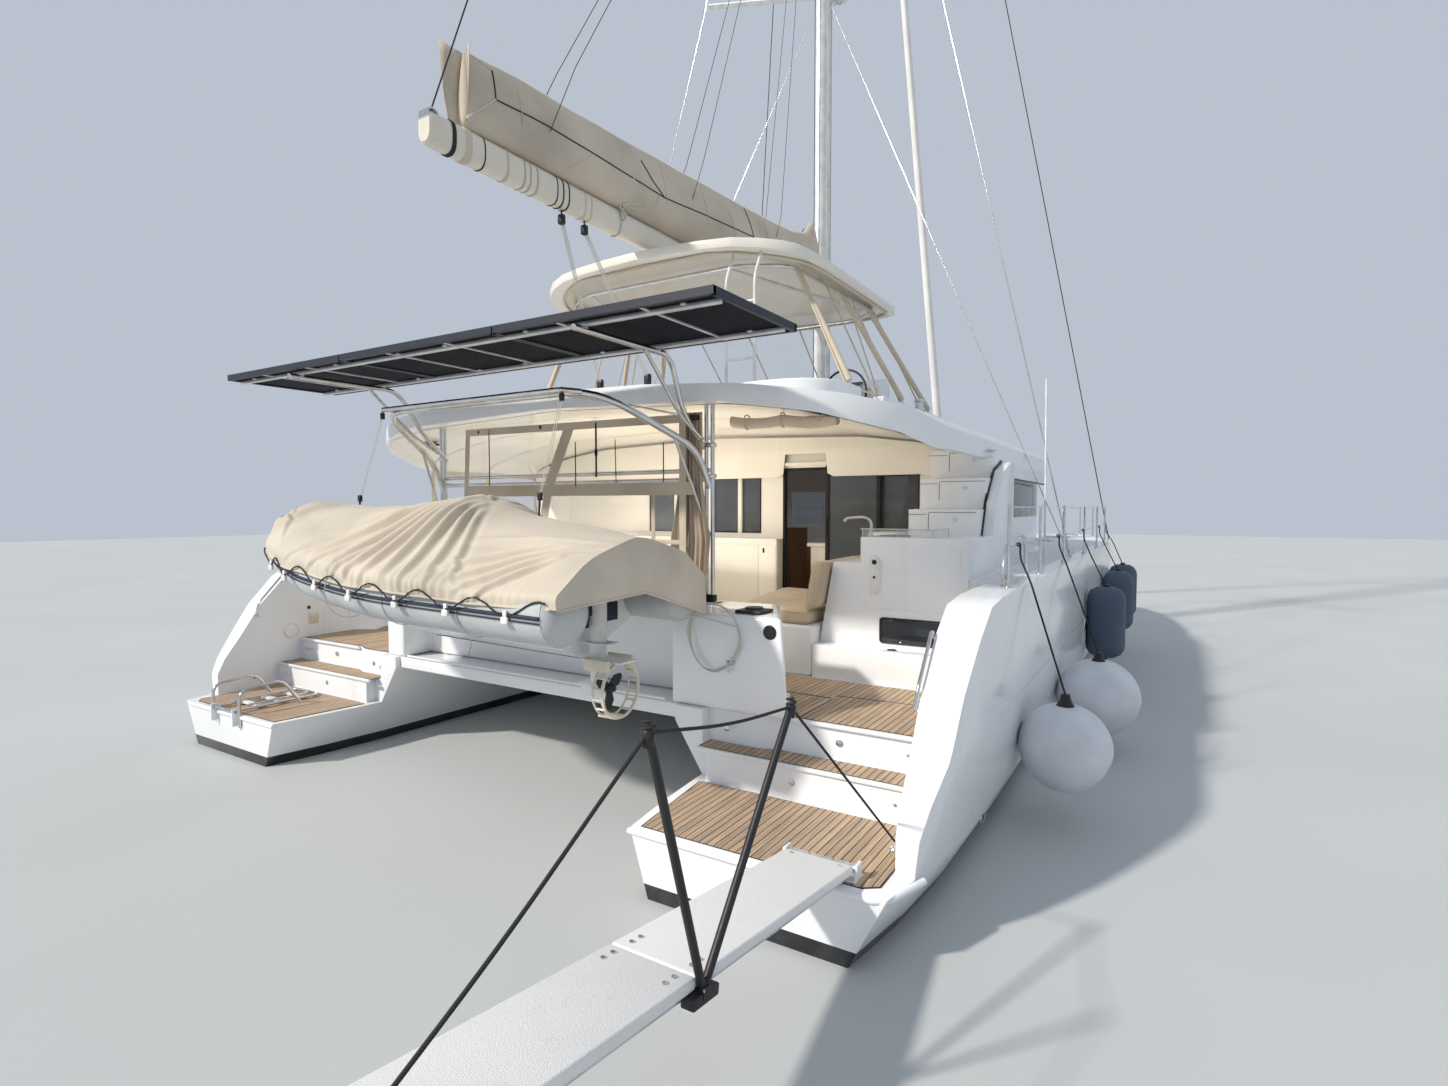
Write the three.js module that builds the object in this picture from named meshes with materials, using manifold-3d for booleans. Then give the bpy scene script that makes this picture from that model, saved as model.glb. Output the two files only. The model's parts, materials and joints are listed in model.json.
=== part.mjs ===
// A cruising sailing catamaran afloat, about sixteen metres long, as an assembly of its real pieces.
// Units are millimetres. +X runs to the bows, +Y to port, +Z up.
// The origin is on the waterline, amidships and on the centreline.

import * as THREE from 'three';
import { mergeVertices } from 'three/addons/utils/BufferGeometryUtils.js';
import Module from 'manifold-3d';

const wasm = await Module();
wasm.setup();

// Driving dimensions
const GAP = 0.3;              // seat gap between two pieces that touch
const RUNNING = 6;            // clearance around a piece that moves
const STERN_X = -8030;
const HALF_BEAM = 4250;
const HULL_Y = 3080;          // each hull's centreline
const INNER_WALL = 1830;      // where a hull's inner side meets the bridgedeck
const DECK_Z = 1950;
const SOLE_Z = 970;           // cockpit and saloon floor
const SLAB_Z = 850;           // underside of the bridgedeck
const PLATFORM_Z = 450;
const STEP_Z = 710;
const FIN_INNER = 3950;       // inner face of the fin beside the stern steps
const KEEL_Z = -1500;
const BULKHEAD_X = -3200;     // aft face of the deckhouse
const HOUSE_HALF = 3450;
const HOUSE_FRONT = 2400;
const FOREDECK_FRONT = 4400;
const BENCH_TOP = 1740;
const ROOF_HALF = 3540;
const ROOF_AFT = -6600;
const ROOF_TOP = 3690;
const ROOF_LOW = 3530;        // underside of the roof on the centreline
const BIMINI_LOW = 5340;
const BOOM_Z = 5660;
const MAST_TOP = 27000;
const HOUNDS_Z = 24500;
const SPREADER_Z = [11150, 18700];
const DAVIT_X = -6340;
const DAVIT_Y = 1780;
const SOLAR_Z = 3860;
const DINGHY_X = -7800;
const TUBE_RADIUS = 210;

const COLOURS = {
  gelcoat: ['#eef0f1', 0.25, 0.0],
  antifoul: ['#15171a', 0.8, 0.0],
  stainless: ['#c9cdd0', 0.2, 1.0],
  alloy: ['#d9dbdb', 0.4, 0.6],
  glass: ['#1c2226', 0.08, 0.0],
  canvas: ['#cbbda5', 0.9, 0.0],
  vinyl: ['#e8e4d8', 0.2, 0.0],
  cells: ['#161b2b', 0.3, 0.2],
  hypalon: ['#b9bec4', 0.6, 0.0],
  fender: ['#e6e8ea', 0.5, 0.0],
  navy: ['#36414f', 0.6, 0.0],
  bronze: ['#b08a45', 0.4, 0.9],
  plastic: ['#f2efe6', 0.5, 0.0],
  net: ['#e9e9e6', 0.9, 0.0],
};

// Solids from three.js geometry
function solid(geometry) {
  const bare = geometry.index ? geometry.toNonIndexed() : geometry.clone();
  for (const name of Object.keys(bare.attributes)) {
    if (name !== 'position') bare.deleteAttribute(name);
  }
  const merged = mergeVertices(bare, 1e-3);
  return new wasm.Manifold(new wasm.Mesh({
    numProp: 3,
    vertProperties: new Float32Array(merged.attributes.position.array),
    triVerts: new Uint32Array(merged.index.array),
  }));
}

const join = (...parts) => parts.reduce((whole, piece) => whole.add(piece));
const cut = (body, ...tools) => tools.reduce((rest, tool) => rest.subtract(tool), body);
const shifted = (body, x, y, z) => body.translate([x, y, z]);
const mirrored = (body) => body.mirror([0, 1, 0]);

function box(x0, x1, y0, y1, z0, z1) {
  const block = new THREE.BoxGeometry(x1 - x0, y1 - y0, z1 - z0);
  block.translate((x0 + x1) / 2, (y0 + y1) / 2, (z0 + z1) / 2);
  return solid(block);
}

// A prism stands on an outline: plan (x, y) along Z, profile (x, z) along Y, or section (y, z) along X.
function outlineShape(points) {
  if (points instanceof THREE.Shape) return points;
  return new THREE.Shape(points.map(([a, b]) => new THREE.Vector2(a, b)));
}

function prism(points, from, to, along, curveSegments = 8) {
  const body = new THREE.ExtrudeGeometry(
    outlineShape(points), { depth: to - from, bevelEnabled: false, curveSegments },
  );
  body.translate(0, 0, from);
  const axes = {
    z: [1, 0, 0, 0, 0, 1, 0, 0, 0, 0, 1, 0],
    x: [0, 0, 1, 0, 1, 0, 0, 0, 0, 1, 0, 0],
  };
  if (along === 'y') {
    body.applyMatrix4(new THREE.Matrix4().set(1, 0, 0, 0, 0, 0, -1, 0, 0, 1, 0, 0, 0, 0, 0, 1));
    body.translate(0, from + to, 0);
  } else {
    body.applyMatrix4(new THREE.Matrix4().set(...axes[along], 0, 0, 0, 1));
  }
  return solid(body);
}

// A skin through closed rings that all have the same number of points, closed by flat ends
function loft(rings) {
  const count = rings[0].length;
  const positions = rings.flat().flatMap((p) => [p.x, p.y, p.z]);
  const index = [];
  for (let ring = 0; ring + 1 < rings.length; ring += 1) {
    for (let i = 0; i < count; i += 1) {
      const a = ring * count + i;
      const b = ring * count + ((i + 1) % count);
      index.push(a, b, b + count, a, b + count, a + count);
    }
  }
  const flat = (ring) => {
    const spread = (key) => Math.max(...ring.map((p) => p[key])) - Math.min(...ring.map((p) => p[key]));
    const [u, v] = ['x', 'y', 'z'].sort((a, b) => spread(b) - spread(a)).slice(0, 2).sort();
    return ring.map((p) => new THREE.Vector2(p[u], p[v]));
  };
  for (const [ring, start] of [[rings[0], 0], [rings.at(-1), (rings.length - 1) * count]]) {
    const contour = flat(ring);
    const wrong = THREE.ShapeUtils.area(contour) < 0;
    const order = ring.map((_, i) => (wrong ? count - 1 - i : i));
    for (const [a, b, c] of THREE.ShapeUtils.triangulateShape(order.map((i) => contour[i]), [])) {
      const face = [start + order[a], start + order[b], start + order[c]];
      const forward = (start === 0) === wrong;
      index.push(...(forward ? face : face.reverse()));
    }
  }
  const body = new THREE.BufferGeometry();
  body.setAttribute('position', new THREE.Float32BufferAttribute(positions, 3));
  body.setIndex(index);
  return outward(body);
}

// A closed skin whose faces point out has a positive volume
function outward(body) {
  const p = body.attributes.position;
  const [a, b, c] = [new THREE.Vector3(), new THREE.Vector3(), new THREE.Vector3()];
  let volume = 0;
  for (let i = 0; i < body.index.count; i += 3) {
    a.fromBufferAttribute(p, body.index.getX(i));
    b.fromBufferAttribute(p, body.index.getX(i + 1));
    c.fromBufferAttribute(p, body.index.getX(i + 2));
    volume += a.dot(b.cross(c));
  }
  if (volume < 0) body.setIndex(Array.from(body.index.array).reverse());
  return solid(body);
}

// A route through points, followed exactly, with its corners mitred
class Route extends THREE.Curve {
  constructor(points) {
    super();
    this.points = points;
  }

  getPoint(t) {
    const at = t * (this.points.length - 1);
    const i = Math.min(Math.floor(at), this.points.length - 2);
    return this.points[i].clone().lerp(this.points[i + 1], at - i);
  }

  getPointAt(u) {
    return this.getPoint(u);
  }

  getSpacedPoints() {
    return this.points.map((p) => p.clone());
  }

  getTangentAt(u) {
    const i = Math.round(u * (this.points.length - 1));
    const ahead = this.points[Math.min(i + 1, this.points.length - 1)];
    const behind = this.points[Math.max(i - 1, 0)];
    const before = this.points[i].clone().sub(behind).normalize();
    const after = ahead.clone().sub(this.points[i]).normalize();
    return before.add(after).normalize();
  }
}

// The same points with each inner corner turned into a bend
function bent(points, bend, turns = 3) {
  const route = points.map((p) => new THREE.Vector3(...p));
  if (!bend) return route;
  const path = [route[0]];
  for (let i = 1; i + 1 < route.length; i += 1) {
    const before = route[i - 1].clone().sub(route[i]);
    const after = route[i + 1].clone().sub(route[i]);
    const reach = Math.min(bend, before.length() * 0.45, after.length() * 0.45);
    const from = route[i].clone().add(before.setLength(reach));
    const to = route[i].clone().add(after.setLength(reach));
    path.push(...new THREE.QuadraticBezierCurve3(from, route[i], to).getPoints(turns));
  }
  path.push(route.at(-1));
  return path;
}

function tube(points, radius, { bend = 0, sides = 8, width = 1 } = {}) {
  const path = bent(points, bend);
  const section = new THREE.Shape();
  for (let i = 0; i < sides; i += 1) {
    const angle = (2 * Math.PI * (i + 0.5)) / sides;
    const [a, b] = [radius * Math.cos(angle), radius * width * Math.sin(angle)];
    if (i) section.lineTo(a, b);
    else section.moveTo(a, b);
  }
  const options = { steps: path.length - 1, extrudePath: new Route(path) };
  return solid(new THREE.ExtrudeGeometry(section, options));
}

function ball(x, y, z, radius, stretch = 1) {
  const body = new THREE.SphereGeometry(radius, 16, 10);
  body.rotateX(Math.PI / 2);
  body.scale(1, 1, stretch);
  body.translate(x, y, z);
  return solid(body);
}

// A turned piece from (radius, height) pairs, along Z from the point given
function turned(profile, x, y, z, sides = 16) {
  const body = new THREE.LatheGeometry(profile.map(([r, h]) => new THREE.Vector2(r, h)), sides);
  body.rotateX(Math.PI / 2);
  body.translate(x, y, z);
  return outward(mergeVertices(stripped(body), 1e-3));
}

function stripped(body) {
  body.deleteAttribute('normal');
  body.deleteAttribute('uv');
  return body;
}

// A round pin or bore along one axis, from the point given; a bore is looser than its pin by RADIAL_PLAY
const RADIAL_PLAY = 0.8;

function roundBar(radius, length, along, [x, y, z]) {
  const bar = turned([[0, 0], [radius, 0], [radius, length], [0, length]], 0, 0, 0, 24);
  const turn = { x: [0, 90, 0], y: [-90, 0, 0], z: [0, 0, 0] }[along];
  return shifted(bar.rotate(turn), x, y, z);
}

const group = new THREE.Group();

function place(name, body, colour) {
  const { vertProperties, triVerts } = body.getMesh();
  const geometry = new THREE.BufferGeometry();
  geometry.setAttribute('position', new THREE.BufferAttribute(new Float32Array(vertProperties), 3));
  geometry.setIndex(new THREE.BufferAttribute(new Uint32Array(triVerts), 1));
  const [tint, roughness, metalness] = COLOURS[colour];
  const material = new THREE.MeshStandardMaterial({ color: tint, roughness, metalness });
  const mesh = new THREE.Mesh(geometry, material);
  mesh.name = name;
  group.add(mesh);
}

// Each hull: one row a section, from the stern to the bow.
// Columns: x, keel line, half breadth at the waterline, outer deck edge, inner deck edge
const HULL_SECTIONS = [
  [STERN_X, -160, 700, 4080, 1960],
  [-7500, -240, 790, 4190, 1880],
  [-6870, -330, 850, 4250, INNER_WALL],
  [-5000, -500, 900, HALF_BEAM, INNER_WALL],
  [-2000, -640, 920, HALF_BEAM, INNER_WALL],
  [1200, -680, 900, HALF_BEAM, INNER_WALL],
  [3200, -660, 800, 4230, INNER_WALL],
  [FOREDECK_FRONT, -620, 680, 4160, INNER_WALL],
  [5800, -560, 480, 3930, 2280],
  [6900, -480, 280, 3620, 2700],
  [7600, -400, 110, 3300, 2980],
  [7840, -330, 30, 3130, 3040],
];

function hullForm() {
  const rings = HULL_SECTIONS.map(([x, keel, half, outer, inner]) => {
    const [wet, dry] = [HULL_Y + half, HULL_Y - half];
    const section = [
      [outer, DECK_Z], [outer, 1100], [wet + (outer - wet) * 0.75, 450], [wet, 0],
      [HULL_Y + half * 0.8, keel * 0.6], [HULL_Y + half * 0.35, keel * 0.94], [HULL_Y, keel],
      [HULL_Y - half * 0.35, keel * 0.94], [HULL_Y - half * 0.8, keel * 0.6], [dry, 0],
      [dry - (dry - inner) * 0.35, 450], [inner, SLAB_Z], [inner, DECK_Z],
    ];
    return section.map(([y, z]) => new THREE.Vector3(x, -y, z));
  });
  return loft(rings);
}

// The top line of the fin beside the stern steps, from the platform up to the deck
const FIN_LINE = [
  [-8300, 450], [-7960, 450], [-7800, 640], [-7660, 850], [-7460, 1060], [-7070, 1260], [-6620, 1640],
  [-6330, 1820], [-6080, 1930], [-5900, DECK_Z + 1], [-5900, 2200], [-8300, 2200],
];

// Plan of what is cut down to each level behind the deckhouse, starboard side, as (x, y)
const LEVELS = [
  {
    z: PLATFORM_Z,
    plan: [
      [-8300, -1500], [-6950, -1500], [-6950, -2200], [-7060, -2200], [-7060, -FIN_INNER],
      [-8300, -FIN_INNER],
    ],
  },
  {
    z: STEP_Z,
    plan: [
      [-7100, -2100], [-6840, -2100], [-6840, -2560], [-6780, -2700], [-6780, -FIN_INNER],
      [-7100, -FIN_INNER],
    ],
  },
  {
    z: SOLE_Z,
    plan: [
      [-6960, -1500], [BULKHEAD_X, -1500], [BULKHEAD_X, -3750], [-5250, -3750], [-5600, -FIN_INNER],
      [-6790, -FIN_INNER], [-6790, -2700], [-6850, -2550], [-6850, -2110], [-6960, -2110],
    ],
  },
];

// Rudders turn on a pin under each hull
const RUDDER = {
  x: -6400, top: -460, low: -1380, ahead: 150, astern: 330, half: 38, bearing: -425, pin: 14, stock: 30,
};

function rudderBearing() {
  const boss = roundBar(RUDDER.stock + 15, 150, 'z', [RUDDER.x, -HULL_Y, RUDDER.bearing]);
  return join(boss, roundBar(RUDDER.pin, 120, 'z', [RUDDER.x, -HULL_Y, RUDDER.bearing - 75]));
}

const PROP_X = -4300;
const PROP_Z = -950;
const PROP_HUB = 55;
const PROP_SHAFT = 20;

function driveLeg() {
  const fin = prism(
    [[-4250, -420], [-3850, -420], [-3900, PROP_Z], [-4250, PROP_Z]], -HULL_Y - 45, -HULL_Y + 45, 'y',
  );
  const torpedo = turned([[0, 0], [70, 0], [80, 150], [60, 430], [0, 520]], 0, 0, 0, 12).rotate([0, 90, 0]);
  const shaft = roundBar(PROP_SHAFT, 40, 'x', [PROP_X - 26, -HULL_Y, PROP_Z]);
  return join(fin, shifted(torpedo, PROP_X + 10, -HULL_Y, PROP_Z), shaft);
}

// The gangway's seat on the platform: a plate with an ear at each side of its hinge barrel
const GANGWAY = {
  hingeX: -7900, hingeZ: 510, y: -3560, half: 215, barrel: 26, pin: 12, length: 3350, rise: 8.5,
};

function gangwaySeat() {
  const { hingeX, hingeZ, y, half, barrel, pin } = GANGWAY;
  const plate = box(
    hingeX - 60, hingeX + 60, y - half - 20, y + half + 20, PLATFORM_Z - 5, PLATFORM_Z + 12,
  );
  const ears = [-1, 1].map((side) => {
    const [a, b] = [y + side * (half + 2), y + side * (half + 20)].sort((p, q) => p - q);
    return box(hingeX - 40, hingeX + 40, a, b, PLATFORM_Z, hingeZ + barrel + 10);
  });
  return join(plate, ...ears, roundBar(pin, 2 * half + 20, 'y', [hingeX, y - half - 10, hingeZ]));
}

// The swim ladder's bracket behind the port platform: a cheek at each end of the ladder's pivot
const LADDER = {
  hingeX: STERN_X - 32, hingeZ: PLATFORM_Z + 35, y: 3100, half: 190, length: 880, pivot: 14,
};

function ladderBracket() {
  const { hingeX, hingeZ, y, half, pivot } = LADDER;
  const bore = roundBar(pivot + RADIAL_PLAY, 2 * half + 160, 'y', [hingeX, y - half - 80, hingeZ]);
  const cheeks = [-1, 1].map((side) => {
    const [a, b] = [y + side * (half + 22), y + side * (half + 36)].sort((p, q) => p - q);
    return box(hingeX - 32, STERN_X + 2, a, b, PLATFORM_Z - 110, hingeZ + 30);
  });
  return cut(join(...cheeks), bore);
}

const form = hullForm();
const stern = LEVELS.map(({ z, plan }) => prism(plan, z, 2400, 'z'));
const finTop = prism(FIN_LINE, -4600, -3900, 'y');
const hull = join(cut(form, ...stern, finTop), driveLeg(), rudderBearing());

place('hull_starboard', join(hull, gangwaySeat()), 'gelcoat');
place('hull_port', join(mirrored(hull), ladderBracket()), 'gelcoat');

// Stub keels with a flat shoe
const KEEL = { aft: -1500, fore: 2300, half: 140 };

function keel() {
  const ring = (z, aft, fore, half) => [
    [aft, 0], [aft + 500, -half], [fore - 700, -half], [fore, 0], [fore - 700, half], [aft + 500, half],
  ].map(([x, y]) => new THREE.Vector3(x, y - HULL_Y, z));
  const body = loft([
    ring(-450, KEEL.aft, KEEL.fore, KEEL.half + 30),
    ring(KEEL_Z, KEEL.aft + 250, KEEL.fore - 400, KEEL.half),
  ]);
  return cut(body, shifted(form, 0, 0, -GAP));
}

place('keel_starboard', keel(), 'antifoul');
place('keel_port', mirrored(keel()), 'antifoul');

// The bridgedeck between the hulls, with the foredeck in front of the deckhouse
const INNER = INNER_WALL - GAP;
const bridgedeck = join(
  box(-6900, FOREDECK_FRONT, -INNER, INNER, SLAB_Z, SOLE_Z),
  box(HOUSE_FRONT - 120, FOREDECK_FRONT, -INNER, INNER, SOLE_Z - 1, DECK_Z),
);
place('bridgedeck', bridgedeck, 'gelcoat');

// The bench across the stern, with a box at each end that carries the davits
const BENCH = { aft: -6900, fore: -6150, end: 2820, back: -6560, thick: 150, seat: 1400 };
const benchEnd = box(BENCH.aft, BENCH.fore, -BENCH.end, -INNER_WALL + 70, SOLE_Z + GAP, BENCH_TOP);
place('aft_bench', join(
  benchEnd,
  mirrored(benchEnd),
  box(BENCH.back, BENCH.back + BENCH.thick, -INNER_WALL, INNER_WALL, SOLE_Z + GAP, BENCH_TOP),
  box(BENCH.back, BENCH.fore + 150, -INNER_WALL, INNER_WALL, SOLE_Z + GAP, BENCH.seat),
), 'gelcoat');

// The roof: one crowned section along the boat, inside one outline seen from above
const CROWN = [
  [0, ROOF_TOP], [1200, 3660], [2200, 3590], [3000, 3490], [3370, 3410], [3510, 3300], [ROOF_HALF, 3180],
];
const SOFFIT = [[3530, 3100], [3470, 3095], [3300, 3200], [2800, 3340], [2000, 3460], [0, ROOF_LOW]];

function roofPlan() {
  const w = ROOF_HALF;
  const plan = new THREE.Shape();
  plan.moveTo(ROOF_AFT, -1900);
  plan.lineTo(ROOF_AFT + 40, 0);
  plan.lineTo(ROOF_AFT, 1900);
  plan.bezierCurveTo(ROOF_AFT, 2900, -5900, w, -4700, w);
  plan.lineTo(400, w);
  plan.bezierCurveTo(2000, w - 100, 3000, 2300, 3050, 0);
  plan.bezierCurveTo(3000, -2300, 2000, -w + 100, 400, -w);
  plan.lineTo(-4700, -w);
  plan.bezierCurveTo(-5900, -w, ROOF_AFT, -2900, ROOF_AFT, -1900);
  return plan;
}

// Closed sections across the roof, from half profiles that start on the centreline
const whole = (half) => [...half, ...half.slice(1, -1).reverse().map(([y, z]) => [-y, z])];
const raised = (profile, by) => profile.map(([y, z]) => [y, z + by]);
const along = (section) => prism(section, -8000, 4000, 'x');
const roofSection = whole([...CROWN, ...SOFFIT]);
const skyAboveSoffit = along(
  whole([[0, 4200], [4200, 4200], [4200, 3095 - GAP], ...raised(SOFFIT.slice(1), -GAP)])
);
const massBelowCrown = along(whole([...raised(CROWN, GAP), [ROOF_HALF, 2900], [0, 2900]]));

const skyOverRoof = skyAboveSoffit.intersect(box(ROOF_AFT - 60, 4000, -4000, 4000, 3000, 4100));

const brow = box(BULKHEAD_X, 300, HOUSE_HALF + 20, ROOF_HALF - 5, 2920, 3150);
const roof = join(prism(roofPlan(), 2900, 3700, 'z').intersect(along(roofSection)), brow, mirrored(brow));
place('roof', roof, 'gelcoat');

// The deckhouse: a curved wall open behind, closed there by a bulkhead with the doorway
const WALL = 60;
const SILL_Z = 2470;
const HEAD_Z = 2900;

function housePlan(inset, aft = BULKHEAD_X) {
  const w = HOUSE_HALF - inset;
  const front = HOUSE_FRONT - inset;
  const plan = new THREE.Shape();
  plan.moveTo(aft, w);
  plan.lineTo(0, w);
  plan.bezierCurveTo(1300, w, front - 300, 2500 - inset, front, 900);
  plan.lineTo(front, -900);
  plan.bezierCurveTo(front - 300, -2500 + inset, 1300, -w, 0, -w);
  plan.lineTo(aft, -w);
  return plan;
}

const wallFoot = DECK_Z + GAP;
const windowBays = [
  box(-2900, -1500, -4000, 4000, SILL_Z, HEAD_Z), box(-1350, 300, -4000, 4000, SILL_Z, HEAD_Z),
  box(450, 3000, -4000, -1750, SILL_Z, HEAD_Z), box(450, 3000, 1750, 4000, SILL_Z, HEAD_Z),
  box(1500, 3000, -1650, -60, SILL_Z - 250, HEAD_Z), box(1500, 3000, 60, 1650, SILL_Z - 250, HEAD_Z),
];
const houseShell = cut(
  prism(housePlan(0), wallFoot, 3500, 'z', 10),
  prism(housePlan(WALL, BULKHEAD_X - 500), wallFoot - 10, 3600, 'z', 10),
  skyAboveSoffit,
  shifted(roof, 0, 0, -GAP),
);
place('saloon_walls', cut(houseShell, ...windowBays), 'gelcoat');

// Tinted glass let into the wall's openings, joined outside the wall as one band
const GLASS = 6;
const outerGlass = cut(
  prism(housePlan(-GLASS - GAP, -2950), SILL_Z - 270, HEAD_Z + 15, 'z', 10),
  prism(housePlan(-GAP, -4000), SILL_Z - 300, HEAD_Z + 30, 'z', 10),
);
const sideBelowSill = [-1, 1].map((side) => {
  const [a, b] = [side * 1700, side * 4000].sort((p, q) => p - q);
  return box(-3000, 3000, a, b, SILL_Z - 300, SILL_Z - 20);
});
place('saloon_glass', cut(outerGlass, ...sideBelowSill), 'glass');

// Doorway and windows of the aft bulkhead, each as y0, y1, z0, z1
const DOORWAY = [-1600, -930, 1000, 3080];
const AFT_WINDOWS = [[-2700, -1720, 2310, 2960], [-600, 2700, 2250, 2980]];
const DOOR = { aft: BULKHEAD_X - WALL - 8 - 40, width: 710, right: -2250, foot: 1010, head: 3100 };

const through = ([y0, y1, z0, z1]) => box(BULKHEAD_X - WALL - 10, BULKHEAD_X + 10, y0, y1, z0, z1);
const bulkhead = cut(
  box(BULKHEAD_X - WALL, BULKHEAD_X - GAP, -HOUSE_HALF, HOUSE_HALF, SOLE_Z + GAP, 3500),
  skyAboveSoffit,
  shifted(roof, 0, 0, -GAP),
  through(DOORWAY),
  ...AFT_WINDOWS.map(through),
);
const TRACK = { right: -2340, left: -900 };
const doorTrack = [[DOOR.head + RUNNING, DOOR.head + 46], [SOLE_Z + GAP, DOOR.foot - RUNNING]].map(
  ([low, high]) => box(DOOR.aft - 12, BULKHEAD_X - WALL + 1, TRACK.right, TRACK.left, low, high)
);

// A cupboard to port of the doorway; its end beside the doorway stands clear of the door's travel
const CUPBOARD = { aft: -3500, right: -960, left: 1450, top: 2170 };
const cupboard = [[CUPBOARD.right, DOOR.aft - 20], [TRACK.left + 20, BULKHEAD_X - WALL + 1]].map(
  ([right, fore]) => box(CUPBOARD.aft, fore, right, CUPBOARD.left, SOLE_Z + GAP, CUPBOARD.top)
);
place('aft_bulkhead', join(bulkhead, ...doorTrack, ...cupboard), 'gelcoat');
AFT_WINDOWS.forEach(([y0, y1, z0, z1], i) => {
  const pane = box(
    BULKHEAD_X - WALL / 2, BULKHEAD_X - WALL / 2 + GLASS, y0 + GAP, y1 - GAP, z0 + GAP, z1 - GAP,
  );
  place(`aft_window_${i ? 'port' : 'starboard'}`, pane, 'glass');
});
const leaf = box(DOOR.aft, DOOR.aft + 40, DOOR.right, DOOR.right + DOOR.width, DOOR.foot, DOOR.head);
const runners = [120, DOOR.width - 120].map((y) => box(
  DOOR.aft + 8, DOOR.aft + 32, DOOR.right + y - 20, DOOR.right + y + 20, DOOR.foot - RUNNING + GAP,
  DOOR.head + RUNNING - GAP,
));
place('sliding_door', join(leaf, ...runners), 'glass');

// Cockpit mouldings: galley side to starboard with the flybridge stair, seat side to port
const SIDE = {
  aft: -5250, fore: BULKHEAD_X - WALL - GAP, inner: 2350, outer: 3749, starboardTop: 2300, portTop: 2050,
};
const sidePlan = (side) => [
  [SIDE.aft, SIDE.inner], [SIDE.fore, SIDE.inner], [SIDE.fore, SIDE.outer], [SIDE.aft, SIDE.outer],
].map(([x, y]) => [x, side * y]);
const toeLedge = box(SIDE.aft - 180, SIDE.aft + 1, -SIDE.outer + 60, -SIDE.inner, SOLE_Z + GAP, 1280);
const STAIR = { aft: -4450, y0: -3640, y1: -2960, treads: 3 };
const rise = (3250 - SIDE.starboardTop) / STAIR.treads;
const stair = [...Array(STAIR.treads).keys()].map((i) => box(
  STAIR.aft + i * 380, SIDE.fore, STAIR.y0, STAIR.y1, SIDE.starboardTop - 1,
  SIDE.starboardTop + rise * (i + 1) - 60,
));
const stairCheek = prism([
  [-4350, 1951], [-3300, 1951], [SIDE.fore, 2300], [SIDE.fore, 3060], [-3450, 3060], [-3800, 2950],
  [-4150, 2620], [-4350, 2200],
], -3748, -3640 - 1, 'y');
const loungeShelf = box(SIDE.aft - 1, -3900, -2760, -SIDE.inner + 1, 2060, SIDE.starboardTop + 1);
place('galley_moulding', cut(
  join(prism(sidePlan(-1), SOLE_Z + GAP, SIDE.starboardTop, 'z'), toeLedge, ...stair, stairCheek),
  shifted(roof, 0, 0, -GAP), skyAboveSoffit, loungeShelf,
), 'gelcoat');
place('port_moulding', prism(sidePlan(1), SOLE_Z + GAP, SIDE.portTop, 'z'), 'gelcoat');

// Lounge on the starboard side, its seat higher than the settee's to port, and a table
const SEAT_Z = 1330;
const LOUNGE_Z = 1450;
const LOUNGE = [
  [-5450, -2345], [-3330, -2345], [-3330, -1030], [-5180, -1330], [-5370, -1490], [-5450, -1700],
];
const doorstep = box(-3600, -3000, -2400, -650, SOLE_Z, LOUNGE_Z + 1);
place('lounge_base', cut(prism(LOUNGE, SOLE_Z + GAP, LOUNGE_Z, 'z'), doorstep), 'gelcoat');
const LOUNGE_SEAT = [
  [-5460, -2200], [-3620, -2200], [-3620, -1070], [-5180, -1320], [-5375, -1480], [-5460, -1700],
];
place('lounge_cushion', prism(LOUNGE_SEAT, LOUNGE_Z + GAP, LOUNGE_Z + 150, 'z'), 'canvas');
const LOUNGE_BACK = [[-2345, LOUNGE_Z + GAP], [-2205, LOUNGE_Z + GAP], [-2230, 2040], [-2345, 2080]];
place('lounge_back', prism(LOUNGE_BACK, -5400, -3640, 'x'), 'canvas');

const settee = join(
  box(-5900, -3650, 1500, SIDE.inner - GAP, SOLE_Z + GAP, SEAT_Z),
  box(-5880, -3650, 2200, SIDE.inner - GAP, SEAT_Z - 1, 1800),
);
place('port_settee', settee, 'gelcoat');
place('settee_cushion', box(-5800, -3680, 1520, 2180, SEAT_Z + GAP, SEAT_Z + 110), 'canvas');
place('cockpit_table', join(
  box(-5300, -3900, 250, 1300, 1640, 1690),
  box(-4950, -4850, 700, 850, SOLE_Z + GAP, 1641), box(-4350, -4250, 700, 850, SOLE_Z + GAP, 1641),
), 'gelcoat');

// Flybridge: a coaming with seats on the roof, a helm console and a wheel
const FLY = { aft: -5150, fore: 900, half: 2350, top: 3870, wall: 130 };

function flyPlan(inset) {
  const plan = new THREE.Shape();
  const [w, aft, fore] = [FLY.half - inset, FLY.aft + inset, FLY.fore - inset];
  plan.moveTo(aft, w - 700);
  plan.bezierCurveTo(aft, w - 200, aft + 200, w, aft + 700, w);
  plan.lineTo(fore - 1500, w);
  plan.bezierCurveTo(fore - 500, w, fore, w - 900, fore, 0);
  plan.bezierCurveTo(fore, -w + 900, fore - 500, -w, fore - 1500, -w);
  plan.lineTo(aft + 700, -w);
  plan.bezierCurveTo(aft + 200, -w, aft, -w + 200, aft, -w + 700);
  return plan;
}

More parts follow.
